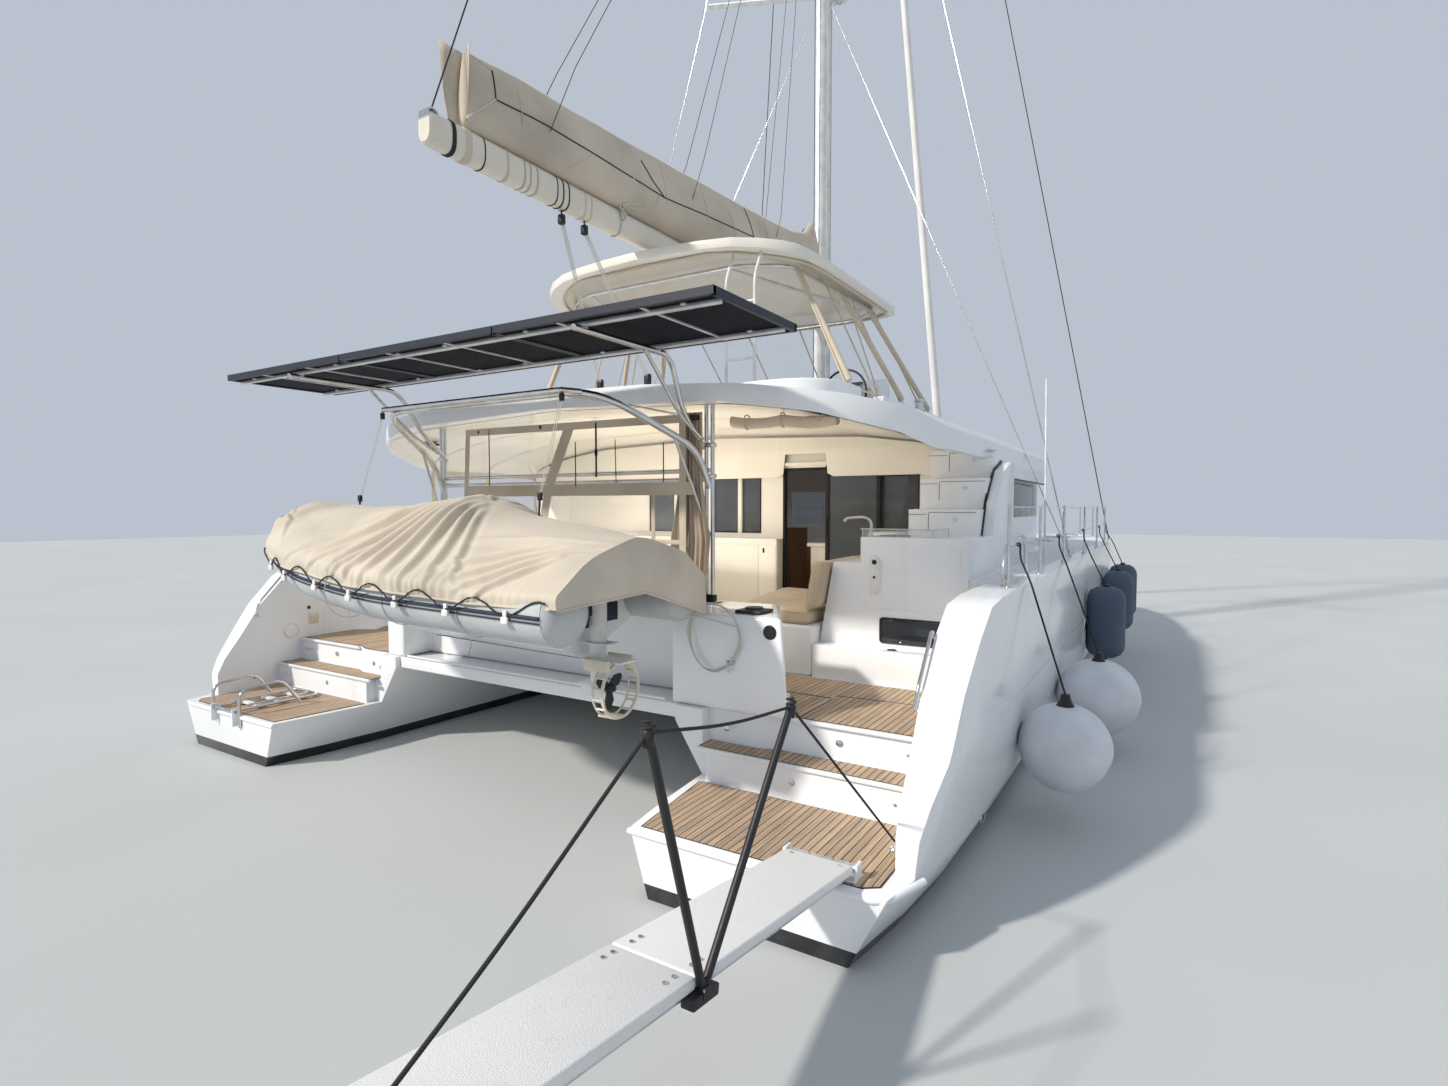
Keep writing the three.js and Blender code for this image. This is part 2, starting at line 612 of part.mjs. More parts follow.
const SEAT_DEEP = 620;
const flySeat = cut(
  prism(flyPlan(FLY.wall - 1), 3400, FLY.top - 110, 'z', 6),
  prism(flyPlan(FLY.wall + SEAT_DEEP), 3300, 4000, 'z', 6),
  box(-2600, 1500, -3000, 3000, 3300, 4100),
);
const coamingRing = cut(
  prism(flyPlan(0), 3400, FLY.top, 'z', 6), prism(flyPlan(FLY.wall), 3300, 4100, 'z', 6),
);
place(
  'flybridge_coaming',
  cut(join(coamingRing, flySeat), massBelowCrown, box(-4200, -3500, -2600, -2100, 3700, 4100)), 'gelcoat',
);

const HELM = { x: -1145, y: -900, wheelZ: 4330, wheelRadius: 340 };
const HELM_PIN = 12;
const console = prism(
  [[-1080, 3400], [-500, 3400], [-560, 4420], [-700, 4560], [-1080, 4380]], HELM.y - 500, HELM.y + 500, 'y',
);
const helmPin = roundBar(HELM_PIN, 90, 'x', [HELM.x - 10, HELM.y, HELM.wheelZ]);
place('helm_console', join(cut(console, massBelowCrown), helmPin), 'gelcoat');

function wheel() {
  const rim = new THREE.TorusGeometry(HELM.wheelRadius, 16, 6, 24);
  rim.rotateY(Math.PI / 2);
  const spokes = [...Array(5).keys()].map((i) => {
    const angle = (i * 2 * Math.PI) / 5;
    const reach = HELM.wheelRadius - 8;
    return tube([[0, 0, 0], [0, reach * Math.sin(angle), reach * Math.cos(angle)]], 11, { sides: 6 });
  });
  const hub = turned([[0, -30], [45, -30], [45, 30], [0, 30]], 0, 0, 0, 12).rotate([0, 90, 0]);
  const shaft = roundBar(22, 62, 'x', [0, 0, 0]);
  const bore = roundBar(HELM_PIN + RADIAL_PLAY, 100, 'x', [-12, 0, 0]);
  return shifted(cut(join(solid(rim), ...spokes, hub, shaft), bore), HELM.x, HELM.y, HELM.wheelZ);
}
place('helm_wheel', wheel(), 'stainless');

// Bimini: a rigid top with a rolled rim on a frame of slanted legs
const BIMINI = { aft: -5150, fore: -1250, half: 1950 };
const BIMINI_SECTION = whole([
  [0, 5440], [1200, 5420], [1750, 5375], [1920, 5310], [BIMINI.half, 5240], [1890, 5205], [1780, 5255],
  [1200, 5315], [0, BIMINI_LOW],
]);

function biminiPlan() {
  const { aft, fore, half } = BIMINI;
  const plan = new THREE.Shape();
  plan.moveTo(aft, 0);
  plan.bezierCurveTo(aft, 1300, -4950, half, -3900, half);
  plan.lineTo(fore - 900, half);
  plan.bezierCurveTo(fore - 200, half, fore, 1500, fore, 0);
  plan.bezierCurveTo(fore, -1500, fore - 200, -half, fore - 900, -half);
  plan.lineTo(-3900, -half);
  plan.bezierCurveTo(-4950, -half, aft, -1300, aft, 0);
  return plan;
}

const biminiBody = (drop) => prism(biminiPlan(), 5100, 5500, 'z', 8).intersect(
  shifted(along(BIMINI_SECTION), 0, 0, drop)
);
place('bimini', biminiBody(0), 'plastic');

// A tube ring under the top carries legs that slant out to the coaming; x at the ring and x, y at the foot
const RING = { z: 5225, aft: -4400, fore: -2100, halfAft: 1600, halfFore: 1700, radius: 26 };
const ringHalf = (x) => RING.halfFore - (
  (RING.fore - x) * (RING.halfFore - RING.halfAft)
) / (RING.fore - RING.aft);
const LEGS = [[-2300, -1500, -2285], [-3100, -2650, -2285], [-4250, -4350, -2270]];
const legSolid = ([topX, x, y]) => tube(
  [[topX, -ringHalf(topX), RING.z], [x, y, FLY.top + 30], [x, y, FLY.top + GAP]], 32,
);
const ringSide = tube([
  [RING.fore + 300, 0, RING.z], [RING.fore + 300, -RING.halfFore + 350, RING.z],
  [RING.fore, -RING.halfFore, RING.z],
  [RING.aft, -RING.halfAft, RING.z], [RING.aft - 300, -RING.halfAft + 500, RING.z],
  [RING.aft - 300, 0, RING.z],
], RING.radius, { bend: 160 });
const pads = [-3700, -2550].map(
  (x) => box(x - 60, x + 60, -ringHalf(x) - 40, -ringHalf(x) + 40, RING.z, 5330)
);
const frameSide = join(ringSide, ...LEGS.map(legSolid), ...pads);
place('bimini_frame', cut(join(frameSide, mirrored(frameSide)), biminiBody(-GAP)), 'plastic');

// Davits: twin posts on the bench ends, an arch over the tender and bars between
const POST_TOP = 3550;
const POST_SPREAD = 32;
const davitPost = (y) => tube([[DAVIT_X, y, BENCH_TOP + GAP], [DAVIT_X, y, POST_TOP]], 19);
const davitSide = [
  davitPost(DAVIT_Y - POST_SPREAD),
  davitPost(DAVIT_Y + POST_SPREAD),
  box(DAVIT_X - 60, DAVIT_X + 60, DAVIT_Y - 80, DAVIT_Y + 80, BENCH_TOP + GAP, BENCH_TOP + 8),
  box(DAVIT_X - 16, DAVIT_X + 16, DAVIT_Y - POST_SPREAD - 10, DAVIT_Y + POST_SPREAD + 10, 3380, POST_TOP),
];
const ARCH_X = -7340;
const archHalf = 1360;
const arch = tube([
  [DAVIT_X, DAVIT_Y, 2750], [-6500, 1750, 3080], [ARCH_X, archHalf, 3500], [ARCH_X, -archHalf, 3500],
  [-6500, -1750, 3080], [DAVIT_X, -DAVIT_Y, 2750],
], 30, { bend: 320, turns: 5 });
const FALL_FOOT = 2470;
const falls = (grow) => [-1, 1].map((side) => tube(
  [[ARCH_X - 160, side * 1150, 3495], [DINGHY_X + 60, side * 1150, FALL_FOOT - 2 * grow]], 14 + grow,
  { sides: 6 },
));
const davitSpine = tube(
  [[ARCH_X, 1200, 3500], [ARCH_X - 170, 1150, 3495], [ARCH_X - 170, -1150, 3495], [ARCH_X, -1200, 3500]],
  22,
);
const stays = [
  tube([[-6700, 1655, 3180], [DAVIT_X, 1780, 2330]], 14),
  tube([[DAVIT_X, DAVIT_Y, 2900], [DAVIT_X, -DAVIT_Y, 2900]], 22),
  tube([[DAVIT_X, DAVIT_Y, 2820], [DAVIT_X, -DAVIT_Y, 2820]], 22),
  tube([[-6700, -1655, 3180], [DAVIT_X, -1780, 2330]], 14),
];

// Solar arms: from the posts up and back under the panels, with a brace each
const armSide = [
  tube([
    [DAVIT_X, DAVIT_Y - 60, 3100], [-6660, 1715, 3380], [-6910, 1770, SOLAR_Z - 62],
    [-8050, 1770, SOLAR_Z - 62],
  ], 24, { bend: 140 }),
  tube([[-6440, 1750, 3180], [-6740, 1745, 3340], [-7250, 1770, SOLAR_Z - 62]], 16, { bend: 100 }),
];
const rails = [-7050, -7900].map((x) => box(x - 25, x + 25, -2860, 2860, SOLAR_Z - 45, SOLAR_Z - GAP));
place('davit_frame', cut(join(
  ...davitSide, ...davitSide.map(mirrored), arch, davitSpine, ...falls(0), ...stays,
  ...armSide, ...armSide.map(mirrored), ...rails,
), skyOverRoof), 'stainless');

// Solar panels side by side, with a groove between neighbours
const PANEL = { aft: -8030, fore: -6900, half: 2900, thick: 45, count: 3 };
const grooves = [...Array(PANEL.count - 1).keys()].map((i) => {
  const y = -PANEL.half + ((i + 1) * 2 * PANEL.half) / PANEL.count;
  return box(PANEL.aft - 1, PANEL.fore + 1, y - 8, y + 8, SOLAR_Z + 20, SOLAR_Z + PANEL.thick + 1);
});
place(
  'solar_panels',
  cut(box(PANEL.aft, PANEL.fore, -PANEL.half, PANEL.half, SOLAR_Z, SOLAR_Z + PANEL.thick), ...grooves),
  'cells',
);

// Tender: two tubes that meet at a raised bow, a hull between them and a transom
const TENDER = { bow: 2230, stern: -2050, transom: -1640, tubeX: 640, low: 1910, bowLow: 2240 };

function tenderTubes(grow) {
  const x = (offset) => DINGHY_X + offset;
  const { tubeX, stern, low, bowLow, bow } = TENDER;
  return tube([
    [x(-tubeX), stern, low], [x(-tubeX), -200, low + 30], [x(-tubeX + 90), 800, low + 120],
    [x(-330), 1520, bowLow - 90],
    [x(0), bow - TUBE_RADIUS, bowLow], [x(330), 1520, bowLow - 90], [x(tubeX - 90), 800, low + 120],
    [x(tubeX), -200, low + 30], [x(tubeX), stern, low],
  ], TUBE_RADIUS + grow, { bend: 420, turns: 4, sides: 12 });
}

function tenderHull(grow) {
  const ringAt = (y, half, keelZ, topZ) => {
    const section = [[-half, topZ], [-half, topZ - 220], [0, keelZ], [half, topZ - 220], [half, topZ]];
    return section.map(([dx, z]) => new THREE.Vector3(
      DINGHY_X + dx * (1 + grow / 600), y, z + (z > topZ - 100 ? grow : -grow),
    ));
  };
  return loft([
    ringAt(TENDER.transom, 560, 1480, 1960), ringAt(0, 560, 1510, 1980), ringAt(900, 440, 1680, 2060),
    ringAt(1550, 180, 1990, 2180),
  ]);
}
place('tender', join(tenderTubes(0), tenderHull(0)), 'hypalon');

// The cover: a domed cloth over the tubes, higher over the console and the engine
// Each section: place across the boat, half its width, its ridge, its hem
const COVER = [
  [2180, 140, 2480, 2260], [1900, 400, 2580, 2190], [1300, 680, 2600, 2120], [500, 850, 2610, 2040],
  [-500, 870, 2650, 1990], [-1500, 860, 2560, 1960], [-2120, 780, 2380, 1990],
];

function coverForm() {
  return loft(COVER.map(([y, half, peak, hem]) => [
    [-half, hem], [-half - 10, hem + 120], [-half * 0.85, hem + 240], [-half * 0.35, peak - 40], [0, peak],
    [half * 0.35, peak - 40], [half * 0.85, hem + 240], [half + 10, hem + 120], [half, hem],
  ].map(([dx, z]) => new THREE.Vector3(DINGHY_X + dx, y, z))));
}
const belowHem = prism(
  [[-2300, 1700], [2500, 1700], [2500, 2340], [1500, 2240], [500, 2140], [-2300, 2110]], -8800, -6800, 'x',
);
const cover = cut(coverForm(), tenderTubes(GAP), tenderHull(GAP), belowHem, ...falls(2 * GAP));
place('tender_cover', cover, 'canvas');

// Outboard on the tender's transom with a guard ring about its propeller
const OUTBOARD = { y: -1800, propZ: 1290, ring: 190, shaft: 12 };

function outboard() {
  const leg = box(
    DINGHY_X - 45, DINGHY_X + 45, OUTBOARD.y - 38, OUTBOARD.y + 110, OUTBOARD.propZ - 40, 2110,
  );
  const plate = box(
    DINGHY_X - 90, DINGHY_X + 90, OUTBOARD.y - 250, OUTBOARD.y + 120, OUTBOARD.propZ + 195,
    OUTBOARD.propZ + 215,
  );
  const gearcase = turned([[0, -60], [48, -50], [48, 130], [0, 240]], 0, 0, 0, 12).rotate([-90, 0, 0]);
  const ringProfile = [
    [OUTBOARD.ring, -55], [OUTBOARD.ring + 14, -55], [OUTBOARD.ring + 14, 55], [OUTBOARD.ring, 55],
    [OUTBOARD.ring, -55],
  ];
  const guard = turned(ringProfile, 0, 0, 0, 20).rotate([-90, 0, 0]);
  const clamp = box(DINGHY_X - 120, DINGHY_X + 120, OUTBOARD.y + 50, TENDER.transom - GAP, 1700, 1950);
  const shaft = roundBar(OUTBOARD.shaft, 60, 'y', [DINGHY_X, OUTBOARD.y - 70, OUTBOARD.propZ]);
  return join(leg, plate, clamp, shaft, shifted(gearcase, DINGHY_X, OUTBOARD.y + 20, OUTBOARD.propZ),
    shifted(guard, DINGHY_X, OUTBOARD.y - 130, OUTBOARD.propZ));
}
place('outboard', outboard(), 'plastic');

// A propeller of flat-sided blades about an axis along X, facing aft
function propeller(radius, hub, blades, chord, shaft) {
  const boss = turned(
    [[0, -60], [hub * 0.5, -58], [hub, -20], [hub, 20], [0, 20]], 0, 0, 0, 12,
  ).rotate([0, 90, 0]);
  const outline = [
    [hub - 8, -chord * 0.3], [radius * 0.6, -chord * 0.5], [radius, -chord * 0.15],
    [radius, chord * 0.2], [radius * 0.6, chord * 0.5], [hub - 8, chord * 0.3],
  ];
  const blade = shifted(prism(outline, -6, 6, 'z').rotate([0, 90, 0]), -5, 0, 0);
  const bladed = join(
    boss, ...[...Array(blades).keys()].map((i) => blade.rotate([(360 / blades) * i, 0, 0])),
  );
  return cut(bladed, roundBar(shaft + RADIAL_PLAY, 60, 'x', [-20, 0, 0]));
}
const smallPropeller = propeller(150, 36, 3, 90, OUTBOARD.shaft).rotate([0, 0, 90]);
place('outboard_propeller', shifted(smallPropeller, DINGHY_X, OUTBOARD.y - 62, OUTBOARD.propZ), 'plastic');
const largePropeller = propeller(230, PROP_HUB, 3, 130, PROP_SHAFT);
place('propeller_starboard', shifted(largePropeller, PROP_X - 12, -HULL_Y, PROP_Z), 'bronze');
place('propeller_port', shifted(largePropeller, PROP_X - 12, HULL_Y, PROP_Z), 'bronze');

function rudder() {
  const foil = (scale) => [
    [RUDDER.ahead, 0], [RUDDER.ahead * 0.6, -RUDDER.half], [-60, -RUDDER.half], [-RUDDER.astern, -4],
    [-RUDDER.astern, 4], [-60, RUDDER.half], [RUDDER.ahead * 0.6, RUDDER.half],
  ].map(([x, y]) => [x * scale, y]);
  const ringAt = (z, scale) => foil(scale).map(([x, y]) => new THREE.Vector3(RUDDER.x + x, y - HULL_Y, z));
  const stock = roundBar(
    RUDDER.stock, RUDDER.bearing - 1 - RUDDER.top + 100, 'z', [RUDDER.x, -HULL_Y, RUDDER.top - 100],
  );
  const bore = roundBar(RUDDER.pin + RADIAL_PLAY, 200, 'z', [RUDDER.x, -HULL_Y, RUDDER.bearing - 85]);
  return cut(join(loft([ringAt(RUDDER.low, 0.7), ringAt(RUDDER.top, 1)]), stock), bore);
}
place('rudder_starboard', rudder(), 'antifoul');
place('rudder_port', mirrored(rudder()), 'antifoul');

// Mast with swept spreaders, standing on the roof
const MAST = { chord: 200, half: 120 };

function mastTube() {
  const section = new THREE.Shape();
  section.absellipse(0, 0, MAST.chord, MAST.half, 0, 2 * Math.PI);
  return prism(section, ROOF_TOP + GAP, MAST_TOP, 'z', 7);
}
const SPREADER_TIPS = [[-700, 1850], [-560, 1500]];
const spreaders = SPREADER_TIPS.flatMap(([x, y], i) => [-1, 1].map((side) => {
  const z = SPREADER_Z[i];
  return tube([[0, side * 40, z], [x, side * y, z + 60]], 30, { width: 2.2 });
}));
const masthead = box(-500, 250, -60, 60, MAST_TOP - 160, MAST_TOP - 20);

// The gooseneck holds the boom's eye on a pin between two plates
const BOOM = { fore: -360, aft: -7850, half: 140, wide: 90 };
const GOOSENECK = { x: -265, pin: 16, reach: 70 };
const gooseneck = [-1, 1].map((side) => box(
  GOOSENECK.x - 30, -MAST.chord + 60, -40, 40, BOOM_Z + side * GOOSENECK.reach - 8,
  BOOM_Z + side * GOOSENECK.reach + 8,
));
const goosePin = roundBar(
  GOOSENECK.pin, 2 * GOOSENECK.reach, 'z', [GOOSENECK.x, 0, BOOM_Z - GOOSENECK.reach],
);
place('mast', join(mastTube(), ...spreaders, masthead, ...gooseneck, goosePin), 'alloy');

// Shrouds from the chainplate over both spreader tips to the hounds
const CHAINPLATE = [-1500, 4120];
const STAY = 9;

function shrouds() {
  const [cx, cy] = CHAINPLATE;
  const tips = SPREADER_TIPS.map(([x, y], i) => [x - 12, y + 42, SPREADER_Z[i] + 60]);
  const route = [
    [cx, cy, DECK_Z + GAP], [cx, cy, DECK_Z + 60], ...tips,
    [0, MAST.half + 60, HOUNDS_Z], [0, MAST.half + GAP, HOUNDS_Z],
  ];
  const cap = tube(route, STAY, { sides: 6 });
  const plate = box(cx - 60, cx + 60, cy - 12, cy + 12, DECK_Z + GAP, DECK_Z + 90);
  return join(cap, plate);
}
place('shrouds_port', shrouds(), 'stainless');
place('shrouds_starboard', mirrored(shrouds()), 'stainless');

// Running lines set up from the side decks to the mast below the hounds
const RUNNER = { foot: [4500, -4110], below: 300 };

function runningLine() {
  const [x, y] = RUNNER.foot;
  const top = HOUNDS_Z - RUNNER.below;
  const route = [
    [x, y, DECK_Z + GAP], [x, y, DECK_Z + 60], [0, -MAST.half - 60, top], [0, -MAST.half - GAP, top],
  ];
  return tube(route, STAY, { sides: 6 });
}
place('running_line_starboard', runningLine(), 'canvas');
place('running_line_port', mirrored(runningLine()), 'canvas');

// Crossbeam and spine forward, with a net each side
const BOW = { beamX: 6850, beamZ: 1700, spineZ: 1780, tip: 8300 };
const crossbeam = turned(
  [[0, -3400], [125, -3400], [125, 3400], [0, 3400]], 0, 0, 0, 12,
).rotate([90, 0, 0]);
const largest = (body) => body.decompose().sort((a, b) => b.volume() - a.volume())[0];
const nearer = (gap) => join(shifted(hull, 0, gap, 0), shifted(mirrored(hull), 0, -gap, 0));
const spine = box(FOREDECK_FRONT + GAP, BOW.tip, -90, 90, BOW.spineZ - 130, BOW.spineZ + 60);
const forwardBeam = largest(cut(join(shifted(crossbeam, BOW.beamX, 0, BOW.beamZ), spine), nearer(GAP)));
place('forward_beam', forwardBeam, 'alloy');

const netPlan = [
  [FOREDECK_FRONT + GAP, 90 + GAP], [BOW.beamX - 124, 90 + GAP], [BOW.beamX - 124, 3400],
  [FOREDECK_FRONT + GAP, 3400],
];
const net = largest(cut(
  prism(netPlan, BOW.spineZ, BOW.spineZ + 20, 'z'), shifted(mirrored(hull), 0, -GAP, 0),
  shifted(forwardBeam, 0, GAP, 0),
));
place('net_port', net, 'net');
place('net_starboard', mirrored(net), 'net');

// Furled headsail on its stay, from the spine's tip to the hounds
function furledSail() {
  const foot = new THREE.Vector3(8180, 0, BOW.spineZ + 60 + GAP);
  const head = new THREE.Vector3(MAST.chord + 60, 0, HOUNDS_Z);
  const ringAt = (t, radius) => {
    const centre = foot.clone().lerp(head, t);
    return [...Array(8).keys()].map((i) => {
      const angle = ((i + 0.5) * Math.PI) / 4;
      return new THREE.Vector3(centre.x + radius * Math.cos(angle), radius * Math.sin(angle), centre.z);
    });
  };
  const roll = [[0, 30], [0.012, 30], [0.018, 90], [0.04, 105], [0.5, 95], [0.93, 45], [0.96, 12], [1, 12]];
  const sail = loft(roll.map(([t, radius]) => ringAt(t, radius)));
  return join(sail, box(MAST.chord + GAP, MAST.chord + 72, -15, 15, HOUNDS_Z - 40, HOUNDS_Z + 1));
}
place('furled_headsail', furledSail(), 'canvas');

// Guardrails: a stanchion a row, two wires and the bow pulpit; x and the deck edge's y there
const STANCHIONS = [
  [-5750, 4170], [-4300, 4180], [-2600, 4180], [-500, 4180], [1300, 4180], [3100, 4150], [4900, 4010],
  [6600, 3640], [7500, 3290],
];
const RAIL_Z = 640;
const WIRE = 5;

function guardrail() {
  const posts = STANCHIONS.map(
    ([x, y]) => tube([[x, y, DECK_Z + GAP], [x, y, DECK_Z + RAIL_Z]], 13, { sides: 6 })
  );
  const wires = [RAIL_Z - 12, RAIL_Z / 2].map(
    (z) => tube(STANCHIONS.map(([x, y]) => [x, y, DECK_Z + z]), WIRE, { sides: 4 })
  );
  const top = DECK_Z + RAIL_Z - 10;
  const pulpit = tube([
    [7500, 3290, top], [7780, 3140, top], [7640, 3010, top], [7200, 2960, top],
    [7140, 2960, DECK_Z + 200], [7140, 2960, DECK_Z + GAP],
  ], 13, { bend: 90, sides: 6 });
  return join(...posts, ...wires, pulpit);
}
place('guardrail_port', guardrail(), 'stainless');
place('guardrail_starboard', mirrored(guardrail()), 'stainless');

// Fenders against the starboard topside: two balls aft, three cylinders forward
const topside = shifted(hull, 0, -GAP, 0);
const FENDERS = [
  { name: 'ball_aft', at: [-5350, -4550, 640], radius: 355, wireY: -4172.8 },
  { name: 'ball_fore', at: [-3100, -4600, 560], radius: 410, wireY: -4180 },
  { name: 'cylinder_aft', at: [-700, -4480, 1040], radius: 240, length: 950, wireY: -4180 },
  { name: 'cylinder_mid', at: [1700, -4470, 1080], radius: 230, length: 950, wireY: -4173.3 },
  { name: 'cylinder_fore', at: [3300, -4440, 1080], radius: 230, length: 950, wireY: -4134.4 },
];
const KNOT_Z = DECK_Z + RAIL_Z / 2 - WIRE * Math.SQRT1_2 - GAP;
for (const { name, at, radius, length, wireY } of FENDERS) {
  const half = (length ?? 0) / 2;
  const [x, y, z] = at;
  const lanyard = tube([
    [x, y, z + (half || radius) - 20], [x, -HALF_BEAM - 20, DECK_Z + 12], [x, wireY, KNOT_Z - 110],
    [x, wireY, KNOT_Z],
  ], 8, { sides: 6 });
  const barrel = [
    [0, -half], [radius * 0.5, -half], [radius, -half + 130], [radius, half - 130],
    [radius * 0.5, half], [0, half],
  ];
  const body = length ? turned(barrel, ...at) : ball(...at, radius);
  place(`fender_${name}`, join(cut(body, topside), lanyard), length ? 'navy' : 'fender');
}

// Boom, its eye round the gooseneck pin, and the sail stowed in its bag along it
const EYE = { radius: 38, half: 55 };
const eyeBore = roundBar(
  GOOSENECK.pin + RADIAL_PLAY, 2 * EYE.half + 20, 'z', [GOOSENECK.x, 0, BOOM_Z - EYE.half - 10],
);
place('boom', cut(join(
  box(BOOM.aft, BOOM.fore, -BOOM.wide, BOOM.wide, BOOM_Z - BOOM.half, BOOM_Z + BOOM.half),
  box(BOOM.fore - 1, GOOSENECK.x, -28, 28, BOOM_Z - 50, BOOM_Z + 50),
  roundBar(EYE.radius, 2 * EYE.half, 'z', [GOOSENECK.x, 0, BOOM_Z - EYE.half]),
), eyeBore), 'alloy');

// Each section of the sail bag: place along the boom, half its width, its height
const BAG_SECTIONS = [
  [-7500, 60, 600], [-6200, 130, 690], [-3500, 190, 900], [-1400, 230, 1080], [-700, 220, 1250],
  [-400, 190, 1560],
];

function bagSection([x, half, high]) {
  const side = [[half * 0.7, 0], [half, 160], [half, high * 0.45], [half * 0.5, high * 0.85]];
  const outline = [...side.map(([y, z]) => [-y, z]), [0, high], ...side.reverse()];
  return outline.map(([y, z]) => new THREE.Vector3(x, y, BOOM_Z + BOOM.half + GAP + z));
}
place('sail_bag', loft(BAG_SECTIONS.map(bagSection)), 'canvas');

// Curtains of clear vinyl across the stern and down the port side, and one rolled up to starboard
const curtain = (body) => cut(body, skyAboveSoffit, shifted(roof, 0, 0, -GAP));
const CURTAIN = 6;
const rolled = turned([[0, -500], [60, -500], [60, 500], [0, 500]], 0, 0, 0, 10).rotate([90, 0, 0]);
place('curtain_aft', curtain(box(-6500, -6500 + CURTAIN, -1600, 1600, BENCH_TOP + GAP, 3600)), 'vinyl');
place(
  'curtain_port',
  curtain(box(SIDE.aft + 20, SIDE.fore - 20, 3480, 3480 + CURTAIN, SIDE.portTop + GAP, 3600)), 'vinyl',
);
place('curtain_roll', curtain(shifted(rolled, -6150, -2400, 3345)), 'canvas');

// Gangway hinged at the platform, sloping up astern, with a pair of staffs
function gangway() {
  const { hingeX, hingeZ, y, half, barrel, pin, length } = GANGWAY;
  const plank = box(hingeX - length, hingeX - 45, y - half, y + half, hingeZ - 20, hingeZ + 30);
  const barrelBody = roundBar(barrel, 2 * half, 'y', [hingeX, y - half, hingeZ]);
  const bore = roundBar(pin + RADIAL_PLAY, 2 * half + 10, 'y', [hingeX, y - half - 5, hingeZ]);
  const neck = box(hingeX - 50, hingeX, y - half + 20, y + half - 20, hingeZ - 18, hingeZ + 18);
  const foot = [hingeX - 1630, y - half + 15, hingeZ - 15];
  const staffs = [1030, 2120].map(
    (astern) => tube([foot, [hingeX - astern, y - half + 15, hingeZ + 1000]], 19)
  );
  const whole = cut(join(plank, barrelBody, neck, ...staffs), bore);
  const tilted = shifted(whole, -hingeX, 0, -hingeZ).rotate([0, GANGWAY.rise, 0]);
  return shifted(tilted, hingeX, 0, hingeZ);
}
place('gangway', gangway(), 'gelcoat');

// Swim ladder folded forward on the port platform
function ladder() {
  const { hingeX, hingeZ, y, half, length, pivot } = LADDER;
  const hoop = tube([
    [hingeX, y - half, hingeZ], [hingeX + length, y - half, hingeZ],
    [hingeX + length, y + half, hingeZ], [hingeX, y + half, hingeZ],
  ], 15, { bend: 90 });
  const rungs = [0.3, 0.55, 0.8].map((t) => {
    const x = hingeX + t * length;
    return box(x - 30, x + 30, y - half, y + half, hingeZ - 10, hingeZ + 10);
  });
  return join(hoop, ...rungs, roundBar(pivot, 2 * half + 68, 'y', [hingeX, y - half - 34, hingeZ]));
}
place('swim_ladder', ladder(), 'stainless');

export default group;
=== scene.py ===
"""A cruising sailing catamaran afloat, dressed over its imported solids.

Lengths are in metres. +X points forward, +Y to port and +Z up, and the water lies at z = 0.
"""

import json
import logging
import math
from dataclasses import dataclass
from enum import Enum
from typing import Callable, Iterable, Optional, Sequence

import bpy
from mathutils import Matrix, Vector, noise

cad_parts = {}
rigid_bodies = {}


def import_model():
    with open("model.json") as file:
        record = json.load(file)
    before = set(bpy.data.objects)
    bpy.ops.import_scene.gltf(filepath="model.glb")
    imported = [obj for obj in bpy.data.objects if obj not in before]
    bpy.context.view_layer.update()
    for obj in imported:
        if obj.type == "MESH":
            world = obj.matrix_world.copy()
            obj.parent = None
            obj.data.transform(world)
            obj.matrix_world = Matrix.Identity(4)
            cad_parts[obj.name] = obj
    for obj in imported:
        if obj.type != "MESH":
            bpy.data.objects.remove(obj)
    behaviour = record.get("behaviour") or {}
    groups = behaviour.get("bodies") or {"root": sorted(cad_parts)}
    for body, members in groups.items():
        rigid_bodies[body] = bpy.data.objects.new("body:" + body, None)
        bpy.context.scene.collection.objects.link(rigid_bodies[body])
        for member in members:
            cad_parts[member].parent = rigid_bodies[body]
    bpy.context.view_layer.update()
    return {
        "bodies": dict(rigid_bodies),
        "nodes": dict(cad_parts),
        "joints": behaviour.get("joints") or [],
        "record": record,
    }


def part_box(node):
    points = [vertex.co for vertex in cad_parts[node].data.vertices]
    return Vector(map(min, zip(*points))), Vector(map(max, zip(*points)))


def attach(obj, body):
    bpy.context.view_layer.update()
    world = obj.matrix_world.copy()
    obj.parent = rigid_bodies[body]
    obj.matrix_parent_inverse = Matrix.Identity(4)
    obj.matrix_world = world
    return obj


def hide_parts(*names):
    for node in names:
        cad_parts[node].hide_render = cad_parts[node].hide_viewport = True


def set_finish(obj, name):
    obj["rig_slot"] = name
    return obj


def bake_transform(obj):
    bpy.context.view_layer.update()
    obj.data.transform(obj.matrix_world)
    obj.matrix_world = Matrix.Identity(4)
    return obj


log = logging.getLogger("catamaran")
Piece = bpy.types.Object
Socket = bpy.types.NodeSocket
Point = tuple[float, float, float]
Outline = Sequence[tuple[float, float]]
Colour = tuple[float, float, float]
Frame = dict

# Levels of the boat
PLATFORM = 0.45
STEP = 0.71
SOLE = 0.97
DECK = 1.95
BENCH = 1.74

MAIN_BODY = "boat"
# Points nearer than this are one, faces within this many degrees are one, and no turned piece is thinner
MERGE = 0.0002
FLAT = 1
POLE = 0.0004


class Axis(Enum):
    """The three directions of the boat's frame."""

    X = Vector((1, 0, 0))
    Y = Vector((0, 1, 0))
    Z = Vector((0, 0, 1))


# Working on one object at a time


